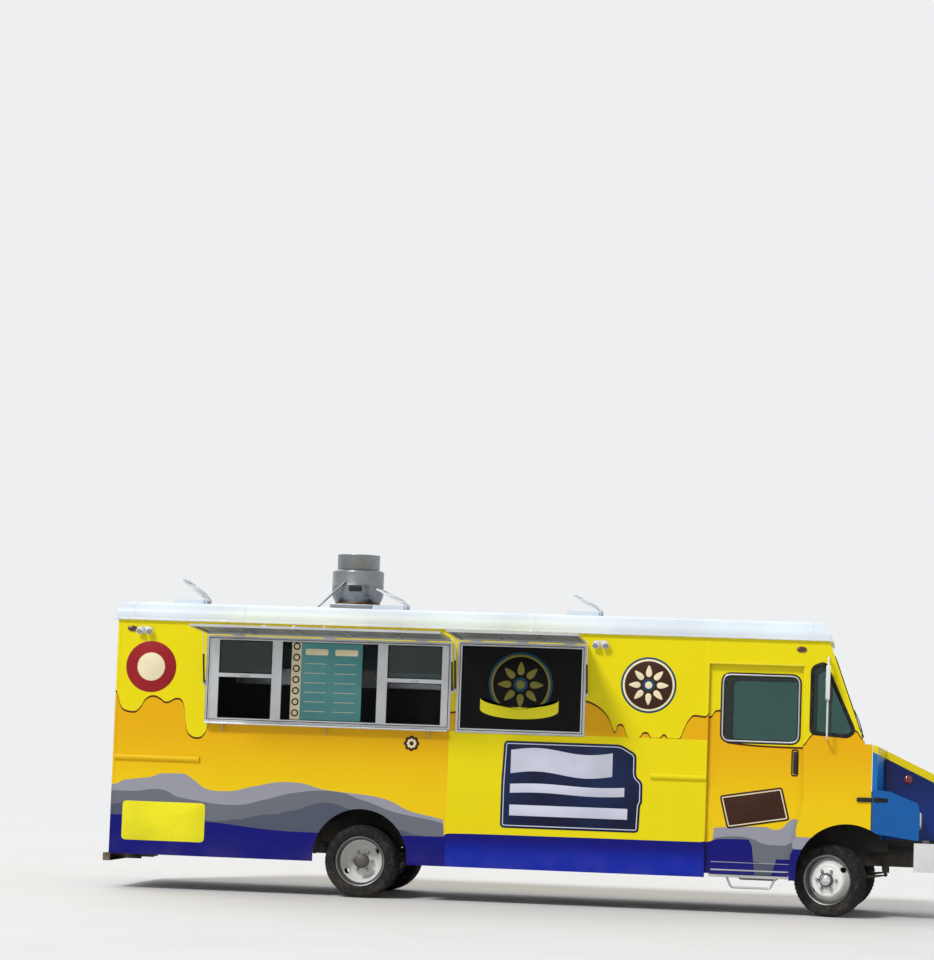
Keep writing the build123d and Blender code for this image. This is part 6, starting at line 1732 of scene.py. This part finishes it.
@dataclass
class ServingSide(Assembly):
    """Both openings of the right wall: frames, sashes, boards, hatches, struts and the outside shelf."""

    hinge_out: float = 1.226
    panel_half: float = 0.012
    open_angle: float = 93.0
    serving: Opening = Opening("serving", -7.086, -4.34, 1.934, 2.858)
    display: Opening = Opening("display", -4.222, -2.828, 1.912, 2.878)
    screw_radius: float = 0.005
    sash_z: float = 2.44
    panes: Table = ((-6.968, -6.36), (-5.041, -4.424))
    board: tuple[float, float] = (-6.143, -5.327)
    dot_pitch: float = 0.125
    art: tuple[float, float] = (-3.532, 2.44)
    art_radius: float = 0.36
    ribbon: Triple = (-3.54, 2.2, 0.44)
    shelf_reach: float = 0.09
    shelf_drop: float = 0.03

    def build(self) -> None:
        """Finish the openings' nodes and add their trim."""
        dress = self.shop.dress
        dress(Palette.ALUMINIUM, "serving_frame", "display_frame", "serving_ledge", "serving_hatch", "display_hatch")
        dress(Palette.BOARD, "window_boards")
        dress(Palette.BLACK, "serving_cylinders", "display_cylinders")
        dress(Palette.CHROME, "serving_rods", "display_rods")
        for opening in (self.serving, self.display):
            self.frame_trim(opening)
            self.hatch_trim(opening)
        self.sashes()
        self.menu_board()
        self.display_art()
        self.shelf_trim()

    def frame_trim(self, opening: Opening) -> None:
        """Outer bead, dark gasket and screws of one frame.

        Args:
            opening: Opening that the frame is in.
        """
        lip = opening.outline(0.004, 0.004, 0.004)
        bead = Shape().moulding(right_wall(), opening.outline(0.03, 0.03, 0.012), half_round(0.0, 0.01, 0.009))
        bead.moulding(right_wall(0.006), lip, half_round(-0.006, 0.008, 0.005))
        screws, t, r = Shape(), bend(4), self.screw_radius
        dome = np.vstack([[[0, -0.001], [r, -0.001]], np.column_stack([r * np.cos(t), 0.0025 * np.sin(t)])])
        spots = [(x, opening.sill - 0.014) for x in np.arange(opening.rear + 0.06, opening.front, 0.2)]
        spots += [(x, z) for x in (opening.rear - 0.014, opening.front + 0.014)
                  for z in np.arange(opening.sill + 0.08, opening.head - 0.05, 0.16)]
        for x, z in spots:
            screws.spin(dome, (x, -HALF_WIDTH - 0.006, z), (0, -1, 0), 8)
        seal = Shape().moulding(right_wall(0.0055), lip, flat_bar(0.004, 0.007, 0.0035))
        self.add("frame_aluminium", "truck", (f"{opening.name}_frame_bead", bead, Palette.ALUMINIUM),
                 (f"{opening.name}_frame_screws", screws, Palette.STEEL),
                 (f"{opening.name}_frame_seal", seal, Palette.SEAL))

    def closed_face(self, outwards: bool) -> Face:
        """Plane of a closed hatch's outer or inner skin."""
        way = 1 if outwards else -1
        return Face((0, -(self.hinge_out + way * self.panel_half), 0), (1, 0, 0), (0, 0, 1), (0, -way, 0))

    def hatch_trim(self, opening: Opening) -> None:
        """Skin, edge rails, soffit liner, ribs and latches of a hatch, shaped closed and turned open.

        Args:
            opening: Opening that the hatch closes.
        """
        x0, x1 = opening.rear - 0.024, opening.front + 0.024
        z0, z1 = opening.sill - 0.02, opening.hinge_z - 0.014
        skin, rails, liner, latches = Shape(), Shape(), Shape(), Shape()
        outer, inner = self.closed_face(True), self.closed_face(False)

        def inset(by: float) -> Bounds:
            """Bounds of the hatch, drawn in by a distance."""
            return x0 + by, x1 - by, z0 + by, z1 - by

        skin.plate(outer, rounded(*inset(0.028), 0.01), -0.001, 0.0012)
        rails.moulding(outer, rounded(x0, x1, z0, z1, 0.006, 3), flat_bar(0.0, 0.03, 0.003))
        rails.moulding(inner, rounded(x0, x1, z0, z1, 0.006, 3), half_round(0.005, 0.008, 0.0012))
        rails.moulding(inner, rounded(*inset(0.026), 0.006, 3), half_round(0.0, 0.012, 0.0012))
        liner.plate(inner, rectangle(*inset(0.041)), -0.0185, -0.016)
        wide = x1 - x0 > 2
        for x in np.linspace(x0, x1, 6 if wide else 4)[1:-1]:
            rails.plate(inner, rectangle(x - 0.018, x + 0.018, z0 + 0.04, z1 - 0.04), -0.0165, -0.004)
        for share in (0.3, 0.42, 0.54) if wide else (0.35, 0.65):
            x = x0 + share * (x1 - x0)
            latches.plate(outer, rounded(x - 0.022, x + 0.022, z0 + 0.004, z0 + 0.05, 0.008), 0.002, 0.009)
            latches.plate(outer, rounded(x - 0.008, x + 0.008, z0 + 0.01, z0 + 0.044, 0.005), 0.008, 0.017)
        body = f"{opening.name}_hatch"
        for shape, part, paint in ((skin, "skin", Palette.LEMON), (rails, "rails", Palette.ALUMINIUM),
                                   (liner, "liner", Palette.GREY), (latches, "latches", Palette.STEEL)):
            shape.turned((0, -self.hinge_out, opening.hinge_z), (-1, 0, 0), self.open_angle)
            self.shop.piece(f"{body}_{part}", shape, paint, "frame_aluminium", body)

    def sashes(self) -> None:
        """Rubber round the panes of both sashes, and finger pulls on the sash rails."""
        rubber, pulls = Shape(), Shape()
        z = self.sash_z
        for rear, front in self.panes:
            upper = rounded(rear, front, z + 0.022, self.serving.head - 0.022, 0.02)
            lower = rounded(rear, front, self.serving.sill + 0.022, z - 0.022, 0.02)
            rubber.moulding(right_wall(-0.0125), upper, half_round(0.0, 0.012, 0.006, 5, 0.004))
            rubber.moulding(right_wall(-0.004), lower, half_round(0.0, 0.008, 0.004, 5, 0.006))
            pull = right_wall(-0.006, (rear + front) / 2, z - 0.006)
            pulls.plate(pull, rounded(-0.05, 0.05, -0.008, 0.008, 0.006), -0.001, 0.008)
        self.add("frame_aluminium", "truck", ("sash_rubber", rubber, Palette.SEAL),
                 ("sash_pulls", pulls, Palette.STEEL))

    def menu_board(self) -> None:
        """Teal board with a strip of plain dots at its rear edge and blank ruled panels."""
        face = right_wall(-0.016)
        z0, z1 = self.serving.sill + 0.024, self.serving.head - 0.024
        rear, front = self.board
        teal, cream, brown = Shape(), Shape(), Shape()
        teal.plate(face, rectangle(rear + 0.118, front - 0.004, z0 + 0.005, z1 - 0.005), -0.001, 0.0012, 0.0005)
        cream.plate(face, rectangle(rear + 0.004, rear + 0.116, z0 + 0.005, z1 - 0.005), -0.001, 0.0012, 0.0005)
        for z in np.arange(z0 + 0.08, z1 - 0.04, self.dot_pitch):
            brown.plate(face, ellipse((rear + 0.06, z), 0.042, 0.042, 28), 0.0, 0.0018, 0.0004)
            cream.plate(face, ellipse((rear + 0.06, z), 0.026, 0.026, 24), 0.001, 0.0024, 0.0004)
        for x in (rear + 0.16, rear + 0.5):
            for z in np.linspace(z0 + 0.1, z1 - 0.24, 6):
                cream.plate(face, rectangle(x, x + 0.24, z, z + 0.006), 0.001, 0.0016, 0.0003)
            cream.plate(face, rounded(x, x + 0.26, z1 - 0.14, z1 - 0.07, 0.02), 0.001, 0.0016, 0.0003)
        self.add("board_teal", "truck", ("menu_board_face", teal, Palette.TEAL),
                 ("menu_board_strip", cream, Palette.CREAM), ("menu_board_dots", brown, Palette.BROWN))

    def display_art(self) -> None:
        """Plain roundel of rings and petals with a bare lemon band under it, on the dark display panel."""
        art = Emblem(self.art, self.art_radius, right_wall(-0.012), Palette.OLIVE, Palette.DEEP_TEAL, Palette.BOARD)
        art.build(self.shop, "display")
        t = np.linspace(0, math.pi, 26)
        x, z, half = self.ribbon
        upper = np.column_stack([x + half * np.cos(t), z + 0.085 - 0.1 * np.sin(t)])
        lower = np.column_stack([x + half * np.cos(t[::-1]), z - 0.045 - 0.1 * np.sin(t[::-1])])
        band = Shape().plate(art.face, np.vstack([upper, lower]), 0.002, 0.0045)
        self.shop.piece("display_band", band, Palette.LEMON_PRINT, "board_teal")

    def shelf_trim(self) -> None:
        """Rolled front edge and rubber strip of the outside shelf."""
        z, y = self.serving.sill - self.shelf_drop, -(HALF_WIDTH + self.shelf_reach)
        rear, front = self.serving.rear, self.serving.front
        along = np.linspace(rear - 0.01, front + 0.01, 12)
        path = np.column_stack([along, np.full(12, y + 0.007), np.full(12, z - 0.009)])
        edge = Shape().tube(path, 0.0095, 12)
        strip = Shape().plate(top_face(z), rectangle(rear + 0.02, front - 0.02, y + 0.022, y + 0.03), -0.001, 0.0015)
        self.add("frame_aluminium", "truck", ("shelf_edge", edge, Palette.ALUMINIUM),
                 ("shelf_strip", strip, Palette.SEAL))


@dataclass(frozen=True)
class Emblem:
    """Plain round sign: a rim ring, a field, eight petals and a boss, in three printed tones."""

    centre: tuple[float, float]
    radius: float
    face: Face
    pale: Palette
    deep: Palette
    ground: Palette
    petals: int = 8

    def build(self, shop: Workshop, name: str) -> None:
        """Make the sign's layers.

        Args:
            shop: Workshop that makes the pieces.
            name: Start of the pieces' names.
        """
        r, c, face = self.radius, np.array(self.centre), self.face
        ground, pale, deep = Shape(), Shape(), Shape()
        deep.plate(face, ellipse(c, r, r, 64), -0.001, 0.0016, 0.0005)
        pale.plate(face, ellipse(c, 0.93 * r, 0.93 * r, 64), 0.0, 0.0022, 0.0004)
        ground.plate(face, ellipse(c, 0.86 * r, 0.86 * r, 64), 0.0, 0.0028, 0.0004)
        t = around(24)
        petal = np.column_stack([0.21 * r * np.cos(t), 0.1 * r * np.sin(t) * (1 - 0.5 * np.cos(t))])
        for k in range(self.petals):
            a = 2 * math.pi * k / self.petals
            way = np.array([math.cos(a), math.sin(a)])
            leaf = petal @ np.array([[way[0], way[1]], [-way[1], way[0]]]) + c + way * 0.5 * r
            pale.plate(face, leaf, 0.0, 0.0034, 0.0004)
        deep.plate(face, ellipse(c, 0.22 * r, 0.22 * r, 36), 0.0, 0.0036, 0.0004)
        pale.plate(face, ellipse(c, 0.13 * r, 0.13 * r, 28), 0.0, 0.0042, 0.0004)
        for shape, part, paint in ((deep, "rim", self.deep), (ground, "field", self.ground),
                                   (pale, "petals", self.pale)):
            shop.piece(f"{name}_emblem_{part}", shape, paint, "yellow_paint")


@dataclass
class Signs(Assembly):
    """Blank and plainly ornamented signs on the right wall, the one that the photograph shows."""

    face: Face = right_wall()
    badge: tuple[float, float] = (-2.101, 2.481)
    badge_radius: float = 0.31
    plaque: Bounds = (-3.711, -2.135, 0.845, 1.812)
    contact: Bounds = (-8.011, -7.06, 0.547, 0.985)
    rosette: tuple[float, float] = (-4.736, 1.743)
    ring: tuple[float, float] = (-7.75, 2.505)
    ring_radius: float = 0.29

    def build(self) -> None:
        """Make every sign."""
        self.blank_plaque()
        panel = Shape().plate(self.face, rounded(*self.contact, 0.05), -0.001, 0.0015, 0.0005)
        self.shop.piece("contact_panel_right", panel, Palette.LEMON_PRINT, "yellow_paint")
        self.medallion()
        Emblem(self.badge, self.badge_radius, self.face, Palette.CREAM, Palette.DEEP_TEAL, Palette.BROWN).build(
            self.shop, "badge_right")
        self.roundel()

    def blank_plaque(self) -> None:
        """Navy sign with a stepped outline, a pale inset border and three lighter bands, left without words."""
        x0, x1, z0, z1 = self.plaque
        step = 0.16 * (x1 - x0)
        corners = [[x0, z0], [x1 - 0.03, z0], [x1 - 0.02, z0 + 0.3], [x1, z0 + 0.33], [x1, z0 + 0.56],
                   [x1 - 0.3 * step, z0 + 0.62], [x1 - 0.3 * step, z1 - 0.1], [x1 - step, z1], [x0 + 0.02, z1],
                   [x0, z0 + 0.5]]
        outline = soft_outline(np.array(corners), 0.05)
        base = Shape().plate(self.face, outline, -0.001, 0.004)
        border, band = Shape().moulding(self.face, outline, raised_line(0.024, 0.034)), Shape()
        t = np.linspace(0, 1, 30)
        for middle, half, swing, trim in ((z1 - 0.23, 0.13, 0.03, 0.34), (z0 + 0.44, 0.05, 0.012, 0.2),
                                          (z0 + 0.2, 0.06, 0.0, 0.16)):
            along = x0 + 0.1 + t * (x1 - x0 - 0.1 - trim)
            low = np.column_stack([along, middle - half + swing * np.sin(2 * math.pi * t)])
            high = np.column_stack([low[::-1, 0], low[::-1, 1] + 2 * half])
            band.plate(self.face, np.vstack([low, high]), 0.003, 0.0052, 0.0005)
        self.add("yellow_paint", "truck", ("plaque_base_right", base, Palette.NAVY),
                 ("plaque_border_right", border, Palette.LAVENDER), ("plaque_band_right", band, Palette.LAVENDER))

    def roundel(self) -> None:
        """Crimson ring round a cream disc, above the rear drip line."""
        c, r = self.ring, self.ring_radius
        ring = Shape().plate(self.face, ellipse(c, r, r, 56), -0.001, 0.0016, 0.0005)
        disc = Shape().plate(self.face, ellipse(c, 0.55 * r, 0.55 * r, 44), 0.0, 0.0024, 0.0004)
        self.add("yellow_paint", "truck", ("roundel_ring_right", ring, Palette.CRIMSON),
                 ("roundel_disc_right", disc, Palette.CREAM))

    def medallion(self) -> None:
        """Small scalloped rosette with a cream centre, under the serving shelf."""
        deep = Shape().plate(self.face, scalloped(self.rosette, 0.088, 0.014, 8), -0.001, 0.0016, 0.0005)
        pale = Shape().plate(self.face, scalloped(self.rosette, 0.056, 0.01, 8), 0.0, 0.0024, 0.0004)
        deep.plate(self.face, ellipse(self.rosette, 0.024, 0.024, 24), 0.0, 0.0032, 0.0004)
        self.add("yellow_paint", "truck", ("medallion_rim_right", deep, Palette.BROWN),
                 ("medallion_centre_right", pale, Palette.CREAM))


@dataclass
class Padding:
    """Cloth pass that swells a closed mesh into a stuffed cushion.

    The skin is remeshed evenly and pushed outwards by Cloth pressure with no gravity. A point that moves by d from
    its start goes by d * min(1, cap / |d|).
    """

    voxel: float = 0.008
    pressure: float = 4.0
    stiffness: float = 40.0
    mass: float = 0.3
    frames: int = 20
    cap: float = 0.014

    def swell(self, thing: bpy.types.Object) -> None:
        """Remesh a piece, run the cloth on it and add one subdivision.

        Args:
            thing: Piece whose mesh is replaced.
        """
        remesh = thing.modifiers.new("even_skin", "REMESH")
        remesh.mode, remesh.voxel_size, remesh.use_smooth_shade = "VOXEL", self.voxel, True
        finish = list(thing.data.materials)
        mesh = bpy.data.meshes.new_from_object(thing.evaluated_get(bpy.context.evaluated_depsgraph_get()))
        thing.modifiers.remove(remesh)
        thing.data = mesh
        mesh.materials.clear()
        for material in finish:
            mesh.materials.append(material)
        self.simulate(thing)
        smooth = thing.modifiers.new("smooth_skin", "SUBSURF")
        smooth.levels = smooth.render_levels = 1

    def simulate(self, thing: bpy.types.Object) -> None:
        """Run the cloth and keep its capped result in the mesh.

        Args:
            thing: Piece with an even mesh.
        """
        scene = bpy.context.scene
        cloth = thing.modifiers.new("pressure", "CLOTH")
        settings = cloth.settings
        settings.quality, settings.mass = 6, self.mass
        settings.tension_stiffness = settings.compression_stiffness = self.stiffness
        settings.use_pressure, settings.uniform_pressure_force = True, self.pressure
        settings.effector_weights.gravity = 0.0
        cloth.point_cache.frame_start, cloth.point_cache.frame_end = 1, self.frames
        for frame_number in range(1, self.frames + 1):
            scene.frame_set(frame_number)
        swelled = thing.evaluated_get(bpy.context.evaluated_depsgraph_get()).data
        start, end = (np.empty(3 * len(thing.data.vertices)) for _ in range(2))
        thing.data.vertices.foreach_get("co", start)
        swelled.vertices.foreach_get("co", end)
        start, end = start.reshape(-1, 3), end.reshape(-1, 3)
        way = end - start
        far = np.linalg.norm(way, axis=1, keepdims=True)
        moved = start + way * np.minimum(1.0, self.cap / np.maximum(far, 1e-9))
        thing.modifiers.remove(cloth)
        scene.frame_set(1)
        thing.data.vertices.foreach_set("co", moved.ravel())
        thing.data.update()
        LOG.info("cloth %s: largest move %.1f mm, kept %.1f mm", thing.name, 1000 * far.max(),
                 1000 * np.linalg.norm(moved - start, axis=1).max())


@dataclass
class Cab(Assembly):
    """Doors, quarter windows, windscreen, mirrors and the driver's seat."""

    door_skin: float = 1.15
    door_window: Bounds = (-1.285, -0.425, 1.889, 2.64)
    grab_cup: Bounds = (-0.505, -0.425, 1.53, 1.83)
    grab_plate: Bounds = (-0.483, -0.437, 1.557, 1.803)
    kick_span: tuple[float, float] = (-1.36, -0.5)
    kick_strips: tuple[Triple, ...] = ((0.47, 0.485, 0.004), (0.56, 0.566, 0.003))
    door_sign: Table = ((-1.285, 1.291), (-0.596, 1.408), (-0.505, 1.046), (-1.193, 0.928))
    door_cap: Bounds = (-1.429, -0.385, 2.745, 2.763)
    quarter: Table = ((-0.294, 2.733), (-0.164, 2.79), (0.176, 2.05), (0.112, 1.99), (-0.294, 2.016))
    mirror: tuple[float, float] = (-0.1425, 1.36)
    mirror_plates: Table = ((2.4, 2.62), (2.64, 2.745))
    screen: Face = Face((0.279, 0.0, 1.947), (0, 1, 0), (-0.3434, 0, 0.9392), (0.9392, 0, 0.3434))
    pane: Bounds = (0.035, 1.1, 0.12, 0.972)
    wiper_foot: tuple[float, float] = (0.78, 0.06)
    seat_corner: float = 0.08
    seat_edge: float = 0.03

    def build(self) -> None:
        """Make the trim of both sides, the screen and the seat."""
        self.shop.dress(Palette.WHITE, "mirrors")
        for side in Side:
            self.door(side)
            self.quarter_window(side)
            self.mirror_glass(side)
        self.windscreen()
        self.seat()

    def door(self, side: Side) -> None:
        """Drip cap, window seals, grab plate and kick strips of one sliding door, and the right one's blank sign.

        Args:
            side: Side of the truck.
        """
        face, body = side_face(side, self.door_skin), f"sliding_door_{side.label}"
        window = rounded(*self.door_window, 0.1)
        rubber = Shape().moulding(face, window, half_round(-0.016, 0.016, 0.006))
        bright = Shape().moulding(face, window, half_round(-0.001, 0.02, 0.007, 7, 0.012))
        rubber.moulding(face, window, half_round(0.018, 0.012, 0.004, 7, 0.012))
        handle = Shape().moulding(face, rounded(*self.grab_cup, 0.03), half_round(0.0, 0.016, 0.006))
        handle.plate(face, rounded(*self.grab_plate, 0.012), 0.0, 0.0155)
        for low, high, top in self.kick_strips:
            bright.plate(face, rectangle(*self.kick_span, low, high), -0.001, top)
        cap = Shape().plate(side_face(side, HALF_WIDTH), rounded(*self.door_cap, 0.004), -0.001, 0.02, 0.003)
        self.shop.piece(f"door_cap_{side.label}", cap, Palette.LEMON, "yellow_paint")
        self.add("yellow_paint", body, (f"{body}_seals", rubber, Palette.SEAL),
                 (f"{body}_bright_trim", bright, Palette.ALUMINIUM), (f"{body}_grab_handle", handle, Palette.BLACK))
        if side is Side.RIGHT:
            sign = soft_outline(np.array(self.door_sign), 0.04)
            base = Shape().plate(face, sign, -0.001, 0.004)
            border = Shape().moulding(face, sign, raised_line(0.02, 0.032))
            self.add("yellow_paint", body, (f"{body}_plate", base, Palette.BROWN),
                     (f"{body}_plate_border", border, Palette.CREAM))

    def quarter_window(self, side: Side) -> None:
        """Rubber channel round one quarter pane.

        Args:
            side: Side of the truck.
        """
        face, outline = side_face(side, HALF_WIDTH), soft_outline(np.array(self.quarter), 0.05)
        channel = Shape().moulding(face, outline, half_round(-0.022, 0.036, 0.009, 9))
        channel.moulding(face, outline, half_round(0.008, 0.014, 0.004, 7, 0.012))
        self.shop.piece(f"quarter_channel_{side.label}", channel, Palette.SEAL, "cab_plastic")

    def mirror_glass(self, side: Side) -> None:
        """Mirror plates of one head.

        Args:
            side: Side of the truck.
        """
        x, y = self.mirror[0], side.value * self.mirror[1]
        glass = Shape()
        for low, high in self.mirror_plates:
            glass.plate(end_face(x, False), rounded(y - 0.084, y + 0.084, low, high, 0.02), 0.0005, 0.0025)
        self.shop.piece(f"mirror_glass_{side.label}", glass, Palette.CHROME, "mirror_white")

    def windscreen(self) -> None:
        """Rubber channel round both panes, and a wiper on each."""
        u0, u1, v0, v1 = self.pane
        u, v = self.wiper_foot
        channel, wipers, t = Shape(), Shape(), np.linspace(0, 1, 9)
        boss = np.array([[0, -0.002], [0.018, -0.002], [0.018, 0.012], [0.012, 0.02], [0, 0.022]])
        for way in (-1, 1):
            outline = rounded(min(way * u0, way * u1), max(way * u0, way * u1), v0, v1, 0.06)
            channel.moulding(self.screen, outline, half_round(-0.018, 0.034, 0.01, 9))
            arm = np.column_stack([way * (u - 0.42 * t), v + 0.3 * t, 0.012 + 0.012 * np.sin(math.pi * t)])
            wipers.tube(self.screen.lift(arm), 0.006, 8)
            blade = np.column_stack([way * (0.62 - 0.52 * t), 0.19 + 0.36 * t, np.full(9, 0.006)])
            wipers.tube(self.screen.lift(blade), 0.007, 8, 0.6)
            wipers.spin(boss, self.screen.lift(np.array([[way * u, v, 0.0]]))[0], self.screen.out, 20)
        self.add("cab_plastic", "truck", ("screen_channel", channel, Palette.SEAL), ("wipers", wipers, Palette.BLACK))

    def seat(self) -> None:
        """Seat and back cushions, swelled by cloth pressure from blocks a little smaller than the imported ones."""
        pads, t, edge = Shape(), bend(6), self.seat_edge
        for x, y, half_x, half_y, low, high in ((-0.46, 0.55, 0.234, 0.214, 1.225, 1.316),
                                                (-0.75, 0.55, 0.046, 0.2, 1.26, 1.874)):
            rise = 0.3 * (high - low)
            levels = [(edge * (1 - math.sin(a)), low + rise * (1 - math.cos(a))) for a in t]
            levels += [(edge * (1 - math.cos(a)), high - rise * (1 - math.sin(a))) for a in t]
            levels += [(edge + 0.3 * half_x, high + 0.002)]
            outline = rounded(x - half_x, x + half_x, y - half_y, y + half_y, self.seat_corner)
            pads.pillow(top_face(0.0), outline, levels)
        cushion = self.shop.piece("seat_cushions", pads, Palette.SEAT, "seat_vinyl", replaces=("seat_pad",))
        Padding().swell(cushion)


@dataclass
class Front(Assembly):
    """Hood, grille, lamps and fenders."""

    lamp_y: float = 1.02
    lamp_z: float = 1.09
    nose: float = 1.195
    surround: Bounds = (-0.455, 0.455, 0.925, 1.375)
    slat_half: float = 0.41
    slat_rows: tuple[float, float, int] = (0.99, 1.31, 7)
    fender_skin: float = 1.186
    marker: Triple = (0.777, 0.782, 1.538)

    def build(self) -> None:
        """Finish the front's nodes and add its trim."""
        for paint, node in ((Palette.HOOD, "hood_shell"), (Palette.BLACK, "grille"), (Palette.FENDER, "fenders"),
                            (Palette.CLEAR_LENS, "headlamps")):
            self.shop.dress(paint, node)
        self.grille()
        for side in Side:
            self.hood_side(side)
            self.lamp(side)

    def grille(self) -> None:
        """Bright surround and slats over the radiator opening."""
        face, half, slats = end_face(self.nose, True), self.slat_half, Shape()
        surround = Shape().moulding(face, rounded(*self.surround, 0.05), half_round(0.0, 0.045, 0.014))
        for z in np.linspace(*self.slat_rows):
            slats.plate(face, rounded(-half, half, z - 0.008, z + 0.008, 0.006), 0.0005, 0.008)
        self.add("grille_black", "hood", ("grille_surround", surround, Palette.WHITE),
                 ("grille_slats", slats, Palette.BLACK))

    def hood_side(self, side: Side) -> None:
        """Rubber hood latch with its catch on the cab, and red side marker.

        Args:
            side: Side of the truck.
        """
        latch = Shape()
        for outline, foot, top in ((rounded(0.4, 0.56, 1.28, 1.33, 0.02), -0.001, 0.014),
                                   (rounded(0.42, 0.46, 1.278, 1.332, 0.012), 0.0, 0.018)):
            latch.plate(side_face(side, self.fender_skin), outline, foot, top)
        catch = Shape().plate(side_face(side, HALF_WIDTH), rounded(0.22, 0.385, 1.28, 1.328, 0.02), -0.001, 0.018)
        self.shop.piece(f"hood_catch_{side.label}", catch, Palette.SEAL, "hood_paint")
        self.shop.piece(f"hood_latch_{side.label}", latch, Palette.SEAL, "hood_paint", "hood")
        x, y, z = self.marker
        marker = Shape().pillow(side_face(side, y, x, z), ellipse((0, 0), 0.05, 0.05, 24),
                                ((0, -0.02), (0, 0.012), (0.008, 0.02), (0.025, 0.024)))
        self.shop.piece(f"side_marker_{side.label}", marker, Palette.RED_LENS, "lamp_red", "hood")

    def lamp(self, side: Side) -> None:
        """Bezel round one headlamp.

        Args:
            side: Side of the truck.
        """
        bezel = np.array([[0.088, -0.004], [0.104, -0.002], [0.108, 0.01], [0.1, 0.02], [0.09, 0.016]])
        x = self.shop.datum.box("headlamps")[1][0] - 0.034
        shape = Shape().spin(bezel, (x, side.value * self.lamp_y, self.lamp_z), (1, 0, 0), 48)
        self.shop.piece(f"headlamp_bezel_{side.label}", shape, Palette.CHROME, "lamp_clear", "hood")


@dataclass
class Lamps(Assembly):
    """Flood lamps, roof-edge markers and tail lamps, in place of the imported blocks."""

    floods: tuple[float, ...] = (-7.831, -2.645)
    flood_z: float = 2.925
    bulbs: tuple[float, float] = (-0.046, 0.046)
    markers: tuple[float, float] = (-7.983, -0.42)
    marker_z: float = 2.93
    tail_y: float = 1.05
    tail_heights: tuple[float, float] = (1.18, 1.33)

    def build(self) -> None:
        """Make every lamp on the body."""
        white, dark, clear, red = Shape(), Shape(), Shape(), Shape()
        t = bend(6)
        dome = np.vstack([[[0, 0.052]], np.column_stack([0.034 * np.cos(t), 0.052 + 0.008 * np.sin(t)])])
        shell = np.array([[0, -0.03], [0.026, -0.03], [0.037, -0.006], [0.041, 0.03], [0.042, 0.048], [0.038, 0.054],
                          [0, 0.053]])
        for x in self.floods:
            base = right_wall(-0.002, x, self.flood_z)
            white.plate(base, rounded(-0.06, 0.06, -0.035, 0.035, 0.02), -0.001, 0.012)
            for dx in self.bulbs:
                aim, centre = (dx * 4, -0.8, -0.5), (x + dx, -1.236, self.flood_z)
                white.spin(shell, centre, aim, 28)
                clear.spin(dome, centre, aim, 28)
        rear = end_face(BODY_REAR, False)
        for side in Side:
            for x in self.markers:
                red.pillow(side_face(side, HALF_WIDTH), ellipse((x, self.marker_z), 0.056, 0.031, 28),
                           ((0, -0.001), (0, 0.012), (0.006, 0.017), (0.02, 0.019)))
            for z in self.tail_heights:
                ring = ellipse((side.value * self.tail_y, z), 0.055, 0.055, 32)
                red.pillow(rear, ring, ((0.006, -0.001), (0.006, 0.012), (0.012, 0.017), (0.03, 0.019)))
                dark.moulding(rear, ring, half_round(-0.002, 0.012, 0.01))
        self.shop.piece("flood_bodies", white, Palette.WHITE, "lamp_red", replaces=("body_lamps",))
        self.add("lamp_red", "truck", ("flood_lenses", clear, Palette.CLEAR_LENS), ("lamp_rings", dark, Palette.SEAL),
                 ("red_lenses", red, Palette.DARK_LENS))


@dataclass
class Rear(Assembly):
    """Tinted panes, seals and hinge straps of the rear doors."""

    window_y: float = 0.2985
    window_half: float = 0.165
    window_z: tuple[float, float] = (1.94, 2.42)
    pane: tuple[float, float] = (-8.138, -8.132)
    door: tuple[float, float] = (0.008, 0.59)
    door_z: tuple[float, float] = (0.91, 2.63)
    strap: tuple[float, float] = (0.46, 0.598)
    strap_z: tuple[float, ...] = (1.15, 1.8, 2.42)

    def build(self) -> None:
        """Make the rear doors' trim."""
        face = end_face(BODY_REAR, False)
        (foot, head), half = self.window_z, self.window_half
        for side in Side:
            body, y = f"rear_door_{side.label}", side.value * self.window_y
            window = rounded(y - half, y + half, foot, head, 0.05)
            seal = Shape().moulding(face, window, half_round(-0.014, 0.026, 0.007))
            edge = sorted(side.value * u for u in self.door)
            seal.moulding(face, rounded(*edge, *self.door_z, 0.03), half_round(0.0, 0.01, 0.004))
            straps, reach = Shape(), sorted(side.value * u for u in self.strap)
            for z in self.strap_z:
                straps.plate(face, rounded(*reach, z - 0.03, z + 0.03, 0.012), -0.001, 0.005)
            pane, glass = Shape(), rounded(y - half - 0.001, y + half + 0.001, foot - 0.001, head + 0.001, 0.041)
            for x, forward in zip(self.pane, (False, True)):
                pane.plate(end_face(x, forward), glass, -0.0005, 0.0008, 0.0002)
            self.add("yellow_paint", body, (f"{body}_pane", pane, Palette.TINTED),
                     (f"{body}_seals", seal, Palette.SEAL), (f"{body}_straps", straps, Palette.STEEL))


def main() -> None:
    """Build every sub-assembly in order."""
    logging.basicConfig(level=logging.INFO, format="%(message)s")
    shop = Workshop(Datum.from_king_pins())
    for kind in (Stage, Body, RoofTop, ServingSide, Signs, Cab, Front, Lamps, Rear, WheelSet):
        LOG.info("building %s", kind.__name__)
        kind(shop).build()


if __name__ == "__main__":
    main()
